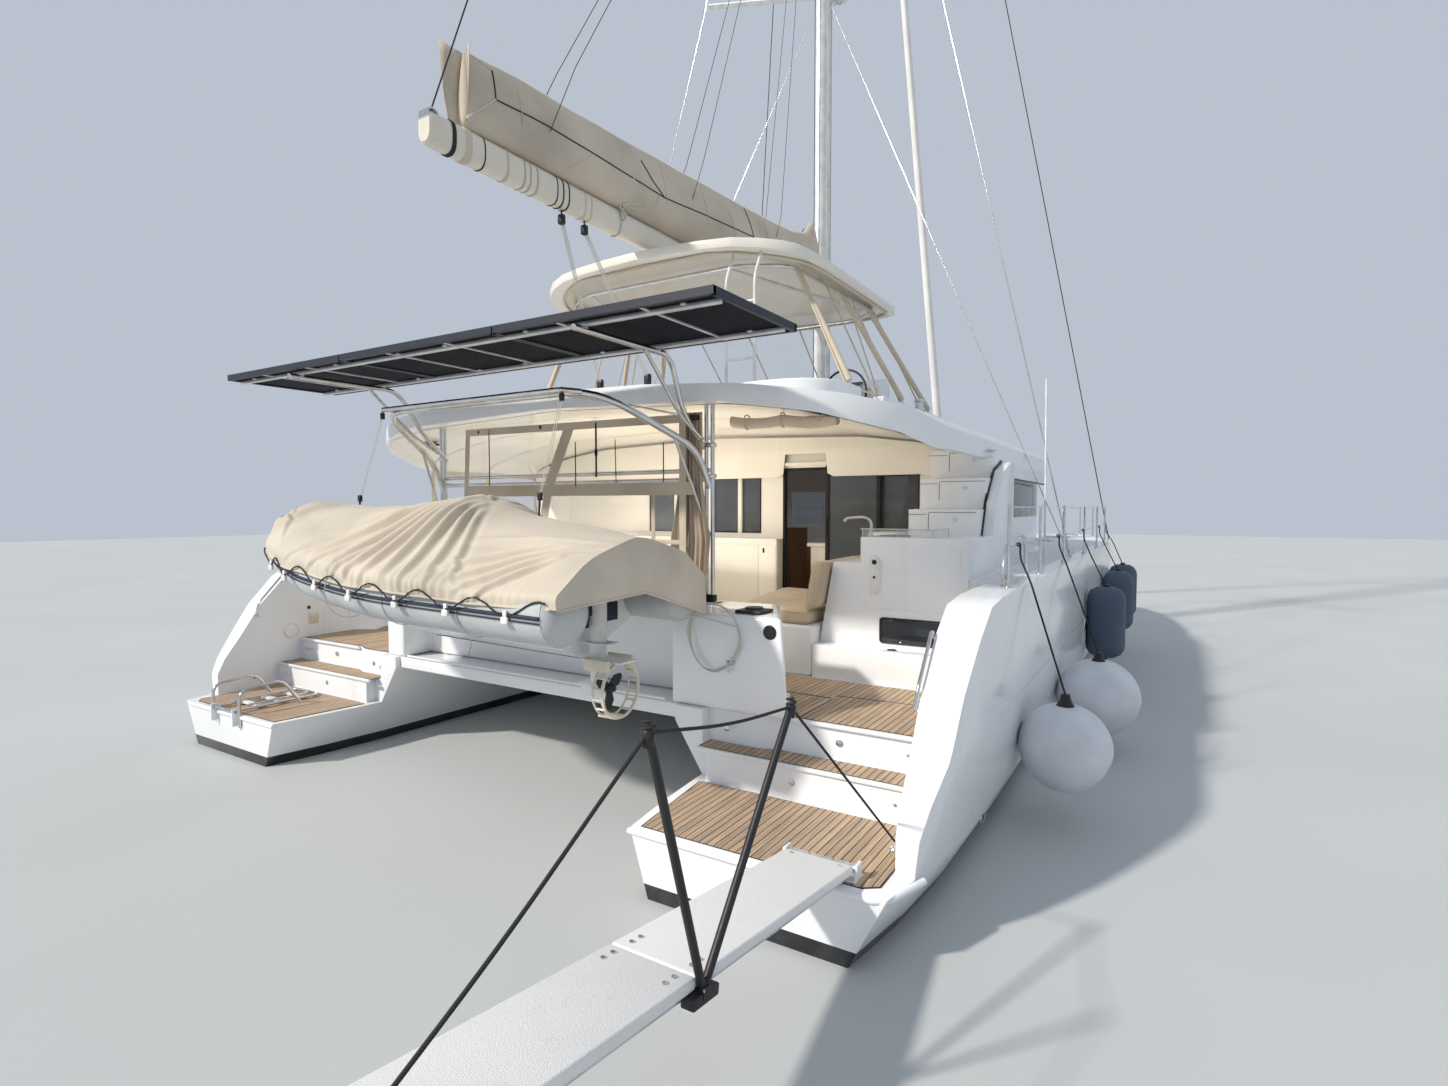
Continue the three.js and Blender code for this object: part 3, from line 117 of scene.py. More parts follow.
def deselect() -> None:
    """Leaves edit mode and selects nothing."""
    if bpy.context.object and bpy.context.object.mode != "OBJECT":
        bpy.ops.object.mode_set(mode="OBJECT")
    bpy.ops.object.select_all(action="DESELECT")


def pick(piece: Piece) -> Piece:
    """Makes one piece the only one that is selected and active."""
    deselect()
    piece.select_set(True)
    bpy.context.view_layer.objects.active = piece
    return piece


def settle(piece: Piece, name: str) -> Piece:
    """Names a piece and moves its place, turn and size into its mesh.

    Args:
        piece: The piece.
        name: Its name from now on.

    Returns:
        The same piece.
    """
    pick(piece)
    bpy.ops.object.transform_apply(location=True, rotation=True, scale=True)
    piece.name = name
    piece.data.name = name
    return piece


def edit(piece: Piece, *steps: Callable[[], object]) -> Piece:
    """Runs edit-mode steps on the whole of one piece.

    Args:
        piece: The piece to work on.
        steps: Calls of edit-mode operators, in order.

    Returns:
        The same piece, back in object mode.
    """
    pick(piece)
    bpy.ops.object.mode_set(mode="EDIT")
    bpy.ops.mesh.select_all(action="SELECT")
    for step in steps:
        step()
    bpy.ops.object.mode_set(mode="OBJECT")
    return piece


def modify(piece: Piece, kind: str, **settings: object) -> Piece:
    """Adds one modifier to a piece, sets it and applies it.

    Args:
        piece: The piece.
        kind: The modifier's type.
        settings: Its options, by name.

    Returns:
        The same piece.
    """
    pick(piece)
    bpy.ops.object.modifier_add(type=kind)
    modifier = piece.modifiers[-1]
    for key, value in settings.items():
        setattr(modifier, key, value)
    bpy.ops.object.modifier_apply(modifier=modifier.name)
    return piece


def rounded(piece: Piece, width: float, segments: int = 2, angle: float = 40) -> Piece:
    """Rounds the sharp edges of a piece and smooths it between them.

    Args:
        piece: The piece.
        width: How wide the rounding is, or 0 for none.
        segments: How many strips make it.
        angle: Edges sharper than this, in degrees, are rounded.

    Returns:
        The same piece.
    """
    if width:
        modify(piece, "BEVEL", width=width, segments=segments, limit_method="ANGLE",
               angle_limit=math.radians(angle), harden_normals=False)
    return smoothed(piece, angle)


def smoothed(piece: Piece, angle: float = 40) -> Piece:
    """Shades a piece smooth, with its sharper edges kept."""
    pick(piece)
    bpy.ops.object.shade_smooth_by_angle(angle=math.radians(angle))
    return piece


def joined(name: str, pieces: Iterable[Piece]) -> Piece:
    """Joins pieces into one object.

    Args:
        name: The name of what they make.
        pieces: The pieces, at least one.

    Returns:
        The joined piece.
    """
    several = list(pieces)
    deselect()
    for piece in several:
        piece.select_set(True)
    bpy.context.view_layer.objects.active = several[0]
    if len(several) > 1:
        bpy.ops.object.join()
    return settle(bpy.context.object, name)


def copied(piece: Piece, name: str, move: Matrix) -> Piece:
    """Copies a finished piece, mesh and all, and moves the copy by a matrix.

    Args:
        piece: The piece to copy.
        name: The copy's name.
        move: Where the copy goes.

    Returns:
        The copy.
    """
    twin = piece.copy()
    twin.data = piece.data.copy()
    bpy.context.collection.objects.link(twin)
    twin.data.transform(move)
    if move.determinant() < 0:
        twin.data.flip_normals()
    twin.name = name
    return twin


def across(piece: Piece, name: str) -> Piece:
    """Copies a piece to the other side of the centreline."""
    return copied(piece, name, Matrix.Scale(-1, 4, Axis.Y.value))


# Shapes


def block(name: str, low: Point, high: Point, bevel: float = 0.006, segments: int = 2) -> Piece:
    """A block between two corners with rounded edges.

    Args:
        name: The piece's name.
        low: Its lowest corner.
        high: Its highest corner.
        bevel: The width of its rounded edges.
        segments: How many strips make a rounded edge.

    Returns:
        The finished piece.
    """
    lo, hi = Vector(low), Vector(high)
    deselect()
    bpy.ops.mesh.primitive_cube_add(size=1, location=(lo + hi) / 2, scale=hi - lo)
    return rounded(settle(bpy.context.object, name), bevel, segments)


def slab(name: str, outline: Outline, start: float, depth: float, along: Axis = Axis.Z,
         bevel: float = 0.004, segments: int = 2) -> Piece:
    """A flat piece on an outline, extruded along one axis.

    Args:
        name: The piece's name.
        outline: Corners as (x, y) for Z, (x, z) for Y or (y, z) for X.
        start: Where the outline lies on that axis.
        depth: How far it is extruded, either way.
        along: The axis of the extrusion.
        bevel: The width of its rounded edges.
        segments: How many strips make a rounded edge.

    Returns:
        The finished piece.
    """
    deselect()
    bpy.ops.mesh.primitive_circle_add(vertices=len(outline), radius=1, fill_type="NGON")
    piece = settle(bpy.context.object, name)
    for vertex, (a, b) in zip(piece.data.vertices, outline):
        vertex.co = {Axis.Z: (a, b, start), Axis.Y: (a, start, b), Axis.X: (start, a, b)}[along]
    step = tuple(along.value * depth)
    edit(piece,
         lambda: bpy.ops.mesh.extrude_region_move(TRANSFORM_OT_translate={"value": step}),
         lambda: bpy.ops.mesh.select_all(action="SELECT"),
         lambda: bpy.ops.mesh.normals_make_consistent(inside=False))
    return rounded(piece, bevel, segments)


def skin(name: str, rings: Sequence[Sequence[Point]], closed: bool = True, caps: bool = True,
         angle: float = 50) -> Piece:
    """A grid whose rows are laid on rings of points.

    Args:
        name: The piece's name.
        rings: Rows of points, all of the same length.
        closed: Whether each row comes back to its start.
        caps: Whether the two end rings are filled.
        angle: Edges sharper than this stay sharp.

    Returns:
        The finished piece, its faces pointing out.
    """
    rows = [list(ring) + [ring[0]] if closed else list(ring) for ring in rings]
    deselect()
    bpy.ops.mesh.primitive_grid_add(x_subdivisions=len(rows[0]) - 1, y_subdivisions=len(rows) - 1)
    piece = settle(bpy.context.object, name)
    for vertex, point in zip(piece.data.vertices, (p for row in rows for p in row)):
        vertex.co = point
    steps = [lambda: bpy.ops.mesh.remove_doubles(threshold=MERGE)]
    if closed and caps:
        steps += [
            lambda: bpy.ops.mesh.select_all(action="DESELECT"),
            lambda: bpy.ops.mesh.select_non_manifold(),
            lambda: bpy.ops.mesh.fill_holes(sides=0),
        ]
    steps += [
        lambda: bpy.ops.mesh.select_all(action="SELECT"),
        lambda: bpy.ops.mesh.normals_make_consistent(inside=False),
    ]
    return smoothed(edit(piece, *steps), angle)


def circle(centre: Point, radius: float, along: Axis, sides: int = 24, flat: float = 1.0) -> list[Point]:
    """Points round a circle about an axis, flattened on its second direction by a factor.

    Args:
        centre: Its middle.
        radius: Its radius.
        along: The axis it goes round.
        sides: How many points it has.
        flat: What its second direction is multiplied by.

    Returns:
        The points, in order.
    """
    turn = {Axis.X: (Vector((0, 1, 0)), Vector((0, 0, 1))), Axis.Y: (Vector((0, 0, 1)), Vector((1, 0, 0))),
            Axis.Z: (Vector((1, 0, 0)), Vector((0, 1, 0)))}[along]
    return [tuple(Vector(centre) + radius * (math.cos(a) * turn[0] + math.sin(a) * flat * turn[1]))
            for a in (2 * math.pi * i / sides for i in range(sides))]


def lathe(name: str, profile: Outline, centre: Point, along: Axis = Axis.Z, sides: int = 24) -> Piece:
    """A turned piece.

    Args:
        name: The piece's name.
        profile: Pairs of radius and height along the axis.
        centre: The point that heights are counted from.
        along: The axis it is turned about.
        sides: How many faces go round.

    Returns:
        The finished piece.
    """
    rings = [circle(tuple(Vector(centre) + along.value * height), max(radius, POLE), along, sides)
             for radius, height in profile]
    return skin(name, rings, angle=40)


def bent(points: Sequence[Point], bend: float, turns: int = 6) -> list[Vector]:
    """The same route with each inner corner turned into a bend.

    Args:
        points: The corners of the route.
        bend: How far before a corner the bend starts.
        turns: How many steps make a bend.

    Returns:
        The points of the smooth route.
    """
    route = [Vector(p) for p in points]
    if not bend:
        return route
    path = [route[0]]
    for before, corner, after in zip(route, route[1:], route[2:]):
        reach = min(bend, (before - corner).length * 0.45, (after - corner).length * 0.45)
        start = corner + (before - corner).normalized() * reach
        end = corner + (after - corner).normalized() * reach
        for i in range(turns + 1):
            t = i / turns
            path.append(start * (1 - t) ** 2 + corner * 2 * t * (1 - t) + end * t * t)
    path.append(route[-1])
    return path


def tube(name: str, points: Sequence[Point], radius: float, bend: float = 0.0, detail: int = 3,
         closed: bool = False) -> Piece:
    """A round bar or line along a route, as a curve made a mesh.

    Args:
        name: The piece's name.
        points: The route's corners.
        radius: Its radius in metres.
        bend: How far before a corner the bend starts.
        detail: How finely it is rounded.
        closed: Whether the route comes back to its start.

    Returns:
        The finished piece.
    """
    deselect()
    bpy.ops.curve.primitive_bezier_curve_add()
    line = bpy.context.object
    line.data.splines.clear()
    path = bent(points, bend)
    spline = line.data.splines.new("POLY")
    spline.points.add(len(path) - 1)
    for point, place in zip(spline.points, path):
        point.co = (*place, 1)
    spline.use_cyclic_u = closed
    line.data.bevel_depth = radius
    line.data.bevel_resolution = detail
    line.data.use_fill_caps = not closed
    bpy.ops.object.convert(target="MESH")
    return smoothed(settle(bpy.context.object, name), 50)


# Finishes


class Paint:
    """A principled material that is built from nodes on Object coordinates."""

    def __init__(self, name: str, **sockets: object) -> None:
        """Makes the material.

        Args:
            name: The material's name.
            sockets: Shader inputs that are the same all over, by name with underscores for spaces.
        """
        self.material = bpy.data.materials.new(name)
        self.material.use_nodes = True
        self.tree = self.material.node_tree
        self.shader = self.tree.nodes["Principled BSDF"]
        self.place = self.node("ShaderNodeTexCoord").outputs["Object"]
        for key, value in sockets.items():
            self.shader.inputs[key.replace("_", " ")].default_value = value

    def node(self, kind: str, **settings: object) -> bpy.types.Node:
        """Adds a node and sets its options."""
        node = self.tree.nodes.new(kind)
        for key, value in settings.items():
            setattr(node, key, value)
        return node

    def connect(self, socket: Socket, value: object) -> None:
        """Links another node's socket to an input, or sets the input to a value."""
        if isinstance(value, Socket):
            self.tree.links.new(value, socket)
        else:
            socket.default_value = value

    def feed(self, node: bpy.types.Node, **inputs: object) -> bpy.types.Node:
        """Sets a node's inputs from values or from other nodes' sockets."""
        for key, value in inputs.items():
            self.connect(node.inputs[key.replace("_", " ")], value)
        return node

    def stretched(self, scale: Point = (1, 1, 1), turn: Point = (0, 0, 0)) -> Socket:
        """Object coordinates, scaled and turned."""
        return self.feed(self.node("ShaderNodeMapping"), Vector=self.place, Scale=scale,
                         Rotation=turn).outputs[0]

    def noise(self, scale: float, detail: float = 4, stretch: Point = (1, 1, 1)) -> Socket:
        """Cloudy noise of a scale, in cells a metre.

        Args:
            scale: Cells a metre.
            detail: How many finer layers it has.
            stretch: What each axis is multiplied by.

        Returns:
            The noise from 0 to 1.
        """
        vector = self.stretched(stretch)
        return self.feed(self.node("ShaderNodeTexNoise"), Vector=vector, Scale=scale,
                         Detail=detail).outputs[0]

    def cells(self, scale: float, stretch: Point = (1, 1, 1)) -> Socket:
        """The distance to the nearest of scattered points."""
        vector = self.stretched(stretch)
        return self.feed(self.node("ShaderNodeTexVoronoi"), Vector=vector, Scale=scale).outputs["Distance"]

    def part(self, axis: Axis) -> Socket:
        """One of the three Object coordinates."""
        split = self.feed(self.node("ShaderNodeSeparateXYZ"), Vector=self.place)
        return split.outputs[axis.name]

    def maths(self, operation: str, first: object, second: object = 0.0) -> Socket:
        """One arithmetic step.

        Args:
            operation: The name of the step.
            first: A number or a socket.
            second: A number or a socket.

        Returns:
            The result's socket.
        """
        node = self.node("ShaderNodeMath", operation=operation)
        for socket, value in zip(node.inputs, (first, second)):
            self.connect(socket, value)
        return node.outputs[0]

    def ramp(self, factor: Socket, *stops: tuple[float, Sequence[float]]) -> Socket:
        """A colour that runs through stops of (place, colour).

        Args:
            factor: Where on the ramp a place is, from 0 to 1.
            stops: Each stop's place and colour, in order.

        Returns:
            The colour's socket.
        """
        node = self.node("ShaderNodeValToRGB")
        elements = node.color_ramp.elements
        while len(elements) < len(stops):
            elements.new(0.5)
        for element, (place, colour) in zip(elements, stops):
            element.position = place
            element.color = (*colour, 1)
        self.tree.links.new(factor, node.inputs[0])
        return node.outputs[0]

    def mixed(self, factor: object, first: object, second: object, blend: str = "MIX") -> Socket:
        """Mixes two colours.

        Args:
            factor: How much of the second shows, as a number or a socket.
            first: A colour or a socket.
            second: A colour or a socket.
            blend: The mixing mode.

        Returns:
            The socket of the mixed colour.
        """
        node = self.node("ShaderNodeMix", data_type="RGBA", blend_type=blend)
        self.connect(node.inputs[0], factor)
        for socket, colour in ((node.inputs[6], first), (node.inputs[7], second)):
            self.connect(socket, (*colour, 1) if isinstance(colour, tuple) else colour)
        return node.outputs[2]

    def colour(self, socket: Socket) -> "Paint":
        """Sends a colour to the shader."""
        self.tree.links.new(socket, self.shader.inputs["Base Color"])
        return self

    def rough(self, factor: Socket, low: float, high: float) -> "Paint":
        """Lets the roughness follow a factor between two values.

        Args:
            factor: What it follows, from 0 to 1.
            low: The roughness at 0.
            high: The roughness at 1.

        Returns:
            This paint.
        """
        span = self.feed(self.node("ShaderNodeMapRange"), Value=factor, To_Min=low, To_Max=high)
        self.tree.links.new(span.outputs[0], self.shader.inputs["Roughness"])
        return self

    def bump(self, height: Socket, depth: float, strength: float = 1.0) -> "Paint":
        """Raises the surface by a height, on top of any bump that is there.

        Args:
            height: The height's socket, from 0 to 1.
            depth: How high 1 stands, in metres.
            strength: How much of it shows.

        Returns:
            This paint.
        """
        node = self.feed(self.node("ShaderNodeBump"), Height=height, Distance=depth, Strength=strength)
        before = self.shader.inputs["Normal"].links
        if before:
            self.tree.links.new(before[0].from_socket, node.inputs["Normal"])
        self.tree.links.new(node.outputs[0], self.shader.inputs["Normal"])
        return self


@dataclass(frozen=True)
class Gelcoat:
    """Moulded gelcoat: glossy, with faint clouds and rain streaks."""

    name: str = "gelcoat_white"
    slot: str = "gelcoat"
    tint: Colour = (0.86, 0.875, 0.89)
    waterline: Optional[float] = None
    grip: bool = False

    def make(self) -> bpy.types.Material:
        """Builds the material, with black antifouling below a waterline."""
        paint = Paint(self.name, Coat_Weight=0.0 if self.grip else 0.35, Coat_Roughness=0.08, IOR=1.5)
        clouds = paint.noise(0.9, 5)
        shade = tuple(c * 0.93 for c in self.tint)
        base = paint.ramp(clouds, (0.35, shade), (0.62, self.tint))
        streaks = paint.noise(9, 5, (1.0, 1.0, 0.06))
        dirt = paint.ramp(streaks, (0.62, (1, 1, 1)), (0.9, (0.86, 0.84, 0.8)))
        base = paint.mixed(0.6, base, dirt, "MULTIPLY")
        paint.rough(paint.noise(14, 4), 0.5 if self.grip else 0.16, 0.7 if self.grip else 0.3)
        if self.grip:
            paint.bump(paint.cells(230), 0.0012)
        else:
            paint.bump(paint.noise(2.2, 2), 0.0015, 0.35)
        if self.waterline is not None:
            base = self.painted_bottom(paint, base)
        return paint.colour(base).material

    def painted_bottom(self, paint: Paint, base: Socket) -> Socket:
        """Puts antifouling below the waterline, worn and patchy.

        Args:
            paint: The material in the making.
            base: The colour above the waterline.

        Returns:
            The colour of the whole side.
        """
        below = paint.maths("LESS_THAN", paint.part(Axis.Z), self.waterline)
        worn = paint.ramp(paint.noise(7, 6), (0.42, (0.008, 0.009, 0.011)), (0.75, (0.035, 0.038, 0.042)))
        return paint.mixed(below, base, worn)


@dataclass(frozen=True)
class Teak:
    """Laid teak: narrow strips with black seams along one axis and a black margin seam."""

    name: str = "teak_strips"
    slot: str = "gelcoat"
    seams: Axis = Axis.Y
    pitch: float = 0.054
    seam: float = 0.11

    def make(self) -> bpy.types.Material:
        """Builds the material; the seams repeat along the axis given."""
        paint = Paint(self.name, IOR=1.4)
        place = paint.maths("DIVIDE", paint.part(self.seams), self.pitch)
        strip = paint.maths("FLOOR", place)
        across_strip = paint.maths("FRACT", place)
        caulk = paint.maths("LESS_THAN", across_strip, self.seam)
        each = paint.feed(paint.node("ShaderNodeTexWhiteNoise", noise_dimensions="1D"), W=strip).outputs[0]
        long = (3, 60, 60) if self.seams is Axis.Y else (60, 3, 60)
        grain = paint.noise(1.0, 8, long)
        wood = paint.ramp(grain, (0.28, (0.33, 0.21, 0.12)), (0.5, (0.5, 0.35, 0.22)),
                          (0.72, (0.66, 0.5, 0.34)))
        light = paint.mixed(each, (0.78, 0.78, 0.8), (1.12, 1.08, 1.02))
        toned = paint.mixed(1.0, wood, light, "MULTIPLY")
        weather = paint.noise(3.0, 4)
        grey = paint.mixed(paint.maths("MULTIPLY", weather, 0.5), toned, (0.46, 0.4, 0.34))
        paint.colour(paint.mixed(caulk, grey, (0.012, 0.012, 0.013)))
        paint.rough(grain, 0.55, 0.85)
        paint.bump(grain, 0.0006, 0.6)
        paint.bump(paint.maths("SUBTRACT", 1.0, caulk), 0.0012, 0.8)
        return paint.material


@dataclass(frozen=True)
class Metal:
    """Polished or painted metal with fine handling marks."""

    name: str = "stainless_polished"
    slot: str = "stainless"
    tint: Colour = (0.72, 0.73, 0.74)
    metallic: float = 1.0
    smooth: float = 0.1
    worn: float = 0.28

    def make(self) -> bpy.types.Material:
        """Builds the material."""
        paint = Paint(self.name, Metallic=self.metallic)
        dull = tuple(c * 0.82 for c in self.tint)
        paint.colour(paint.ramp(paint.noise(6, 5), (0.35, dull), (0.6, self.tint)))
        paint.rough(paint.noise(35, 6), self.smooth, self.worn)
        return paint.bump(paint.noise(60, 3), 0.0004, 0.3).material


@dataclass(frozen=True)
class Plastic:
    """Moulded plastic or rubber with a fine grain."""

    name: str
    slot: str = "plastic"
    tint: Colour = (0.8, 0.78, 0.72)
    gloss: float = 0.4
    grain: float = 220
    shine: float = 0.5

    def make(self) -> bpy.types.Material:
        """Builds the material."""
        paint = Paint(self.name, IOR=1.45, Specular_IOR_Level=self.shine)
        dull = tuple(c * 0.85 for c in self.tint)
        paint.colour(paint.ramp(paint.noise(3.5, 6), (0.35, dull), (0.65, self.tint)))
        paint.rough(paint.noise(20, 4), self.gloss, min(1.0, self.gloss + 0.18))
        return paint.bump(paint.noise(self.grain, 2), 0.0003, 0.5).material


@dataclass(frozen=True)
class Cloth:
    """Woven boat cloth: warp and weft bump, faded patches and a soft sheen."""

    name: str
    slot: str = "canvas"
    tint: Colour = (0.62, 0.55, 0.44)
    threads: float = 900
    stain: float = 0.18
    creased: float = 0.004

    def make(self) -> bpy.types.Material:
        """Builds the material."""
        paint = Paint(self.name, Roughness=0.85, Sheen_Weight=0.25, Sheen_Roughness=0.5)
        faded = tuple(min(1.0, c * 1.12) for c in self.tint)
        soiled = tuple(c * (1 - self.stain) for c in self.tint)
        base = paint.ramp(paint.noise(1.4, 6), (0.3, soiled), (0.5, self.tint), (0.7, faded))
        warp = paint.maths("SINE", paint.maths("MULTIPLY", paint.part(Axis.X), self.threads))
        weft = paint.maths("SINE", paint.maths("MULTIPLY", paint.part(Axis.Z), self.threads))
        side = paint.maths("SINE", paint.maths("MULTIPLY", paint.part(Axis.Y), self.threads))
        weave = paint.maths("MULTIPLY", paint.maths("ADD", warp, side), weft)
        paint.colour(base)
        paint.bump(weave, 0.0003, 0.35)
        paint.bump(paint.noise(11, 5), self.creased, 0.6)
        return paint.material


@dataclass(frozen=True)
class Clear:
    """Glass or clear vinyl, tinted, with a little ripple."""

    name: str
    slot: str = "glass"
    tint: Colour = (0.1, 0.115, 0.125)
    alpha: float = 0.72
    rough: float = 0.04
    ripple: float = 0.0

    def make(self) -> bpy.types.Material:
        """Builds the material."""
        paint = Paint(self.name, Roughness=self.rough, IOR=1.5, Alpha=self.alpha, Coat_Weight=0.4)
        dark = tuple(c * 0.8 for c in self.tint)
        paint.colour(paint.ramp(paint.noise(1.1, 3), (0.3, dark), (0.7, self.tint)))
        if self.ripple:
            paint.bump(paint.noise(4.5, 3), self.ripple, 0.6)
        return paint.material


@dataclass(frozen=True)
class SolarCells:
    """Navy cells in a grid with fine pale lines."""

    name: str = "solar_cells"
    slot: str = "cells"
    cell: float = 0.16

    def make(self) -> bpy.types.Material:
        """Builds the material."""
        paint = Paint(self.name, Roughness=0.12, Coat_Weight=0.6, Coat_Roughness=0.05)
        lines = []
        for axis, pitch, width in ((Axis.X, self.cell, 0.03), (Axis.Y, self.cell, 0.03),
                                   (Axis.Y, self.cell / 3, 0.035)):
            across_cell = paint.maths("FRACT", paint.maths("DIVIDE", paint.part(axis), pitch))
            lines.append(paint.maths("LESS_THAN", across_cell, width))
        grid = paint.maths("MAXIMUM", paint.maths("MAXIMUM", lines[0], lines[1]), lines[2])
        blue = paint.ramp(paint.noise(5, 4), (0.3, (0.012, 0.02, 0.05)), (0.7, (0.02, 0.034, 0.085)))
        paint.colour(paint.mixed(grid, blue, (0.16, 0.18, 0.22)))
        return paint.material


@dataclass(frozen=True)
class Rope:
    """Twisted line with a diagonal lay."""

    name: str
    slot: str = "canvas"
    tint: Colour = (0.7, 0.68, 0.62)
    fleck: Colour = (0.5, 0.48, 0.44)

    def make(self) -> bpy.types.Material:
        """Builds the material."""
        paint = Paint(self.name, Roughness=0.8)
        lay = paint.feed(paint.node("ShaderNodeTexWave", bands_direction="DIAGONAL"),
                         Vector=paint.place, Scale=55.0, Distortion=0.6).outputs[0]
        paint.colour(paint.mixed(lay, self.fleck, self.tint))
        return paint.bump(lay, 0.0012, 0.8).material


@dataclass(frozen=True)
class Netting:
    """A fine open weave with dark gaps."""

    name: str = "trampoline_net"
    slot: str = "net"

    def make(self) -> bpy.types.Material:
        """Builds the material."""
        paint = Paint(self.name, Roughness=0.8)
        sines = [paint.maths("ABSOLUTE", paint.maths("SINE", paint.maths("MULTIPLY", paint.part(axis), 150)))
                 for axis in (Axis.X, Axis.Y)]
        gap = paint.maths("GREATER_THAN", paint.maths("MULTIPLY", *sines), 0.45)
        cord = paint.ramp(paint.noise(6, 4), (0.3, (0.6, 0.6, 0.58)), (0.7, (0.8, 0.8, 0.78)))
        paint.colour(paint.mixed(gap, cord, (0.05, 0.055, 0.06)))
        return paint.bump(paint.maths("SUBTRACT", 1.0, gap), 0.002).material


# Every finish that the boat wears

WHITE = Gelcoat()
HULL_WHITE = Gelcoat("gelcoat_hull", waterline=0.1)
DECK_GRIP = Gelcoat("gelcoat_deck_grip", tint=(0.8, 0.815, 0.83), grip=True)
CREAM = Gelcoat("gelcoat_cream", tint=(0.83, 0.79, 0.7))
TEAK = Teak()
STEEL = Metal()
ALLOY = Metal("alloy_anodised", "alloy", (0.78, 0.79, 0.8), 0.75, 0.3, 0.45)
MAST_WHITE = Metal("mast_paint", "alloy", (0.82, 0.82, 0.8), 0.0, 0.22, 0.36)
BRONZE = Metal("bronze_cast", "bronze", (0.5, 0.33, 0.13), 1.0, 0.3, 0.55)
ANTIFOUL = Plastic("antifouling_black", "antifoul", (0.02, 0.022, 0.025), 0.7, 90)
BLACK = Plastic("black_plastic", "plastic", (0.015, 0.015, 0.017), 0.35)
BLACK_IRON = Metal("black_coated_tube", "stainless", (0.03, 0.03, 0.032), 0.4, 0.35, 0.55)
PANEL_BACK = Plastic("panel_backing", "plastic", (0.008, 0.01, 0.018), 0.6, 90, 0.12)
CREAM_PLASTIC = Plastic("cream_plastic", "plastic", (0.78, 0.72, 0.58), 0.35)
WHITE_PLASTIC = Plastic("white_plastic", "plastic", (0.82, 0.82, 0.8), 0.3)
HYPALON = Plastic("grey_tube_fabric", "hypalon", (0.53, 0.55, 0.56), 0.42, 500)
HYPALON_DARK = Plastic("dark_rub_strake", "hypalon", (0.018, 0.024, 0.05), 0.5, 300)
FENDER_WHITE = Plastic("fender_vinyl_white", "fender", (0.72, 0.75, 0.79), 0.38, 60)
FENDER_NAVY = Plastic("fender_vinyl_navy", "navy", (0.07, 0.1, 0.15), 0.5, 90)
CUSHION = Cloth("cushion_cloth", tint=(0.52, 0.42, 0.3), creased=0.006)
COVER = Cloth("cover_canvas", tint=(0.6, 0.53, 0.43))
SAILCLOTH = Cloth("sail_cover_canvas", tint=(0.58, 0.5, 0.39))
CURTAIN_CLOTH = Cloth("curtain_binding", tint=(0.62, 0.53, 0.4))
# The drawn curtain's tan cloth, darkened to brown as painted shade
SHADED_DRAWN_CLOTH = Cloth("curtain_canvas", tint=(0.45, 0.36, 0.27), stain=0.2, creased=0.004)
GENOA = Cloth("furled_sail_white", tint=(0.8, 0.79, 0.75), stain=0.06)
SMOKED = Clear("glass_smoked", alpha=0.8)
HULL_GLASS = Clear("glass_hull_window", tint=(0.02, 0.024, 0.03), alpha=1.0)
VINYL = Clear("vinyl_clear", "vinyl", (0.9, 0.89, 0.85), 0.06, 0.05, 0.01)
CELLS = SolarCells()
ROPE_BLACK = Rope("rope_black", tint=(0.03, 0.03, 0.032), fleck=(0.012, 0.012, 0.013))
ROPE_WHITE = Rope("rope_white")
NET = Netting()
WOOD = Plastic("interior_wood", "plastic", (0.16, 0.075, 0.035), 0.35, 30)
IVORY = Gelcoat("gelcoat_ivory", tint=(0.84, 0.79, 0.68))
PIPING = Cloth("cushion_piping", tint=(0.42, 0.33, 0.23), creased=0.001)
SMOKED_SOLID = Clear("glass_house_window", tint=(0.03, 0.035, 0.042), alpha=0.62)
VINYL_STIFF = Clear("acrylic_clear", "vinyl", (0.85, 0.88, 0.9), 0.25, 0.04)
WHITE_TUBE = Metal("white_coated_tube", "stainless", (0.8, 0.8, 0.79), 0.0, 0.25, 0.4)
FRAME_NAVY = Metal("panel_frame_navy", "alloy", (0.012, 0.017, 0.03), 0.0, 0.4, 0.55)
BOOM_CREAM = Gelcoat("boom_paint_cream", "alloy", (0.78, 0.72, 0.6))
# Tan under the canopy: partly the liner's own colour, partly painted shade
SHADED_LINER = Gelcoat("gelcoat_liner", tint=(0.66, 0.58, 0.45))
PLANK = Gelcoat("plank_paint", tint=(0.86, 0.855, 0.84), grip=True)

_made: dict[str, bpy.types.Material] = {}


def material(finish: object) -> bpy.types.Material:
    """The material of a finish, built once.

    Args:
        finish: One of the finishes.

    Returns:
        Its material.
    """
    if finish.name not in _made:
        _made[finish.name] = finish.make()
    return _made[finish.name]


def dress(piece: Piece, finish: object, *nodes: str, body: str = MAIN_BODY) -> Piece:
    """Gives a finished piece its material and its body, and hides the nodes that it stands for.

    Args:
        piece: The piece.
        finish: One of the finishes.
        nodes: CAD nodes that the piece replaces.
        body: The body that it rides on, or nothing for a piece that rides on no body.

    Returns:
        The same piece.
    """
    piece.data.materials.clear()
    piece.data.materials.append(material(finish))
    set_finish(piece, finish.slot)
    if body:
        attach(piece, body)
    if nodes:
        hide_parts(*nodes)
    log.info("%s: %d faces on %s", piece.name, len(piece.data.polygons), body or "two bodies")
    return piece


def fitted(name: str, pieces: Iterable[Piece], finish: object, *nodes: str, body: str = MAIN_BODY) -> Piece:
    """Joins finished pieces and dresses them as one.

    Args:
        name: The name of the joined piece.
        pieces: What is joined.
        finish: The finish that it wears.
        nodes: CAD nodes that it replaces.
        body: The body that it rides on.

    Returns:
        The joined piece.
    """
    return dress(joined(name, pieces), finish, *nodes, body=body)


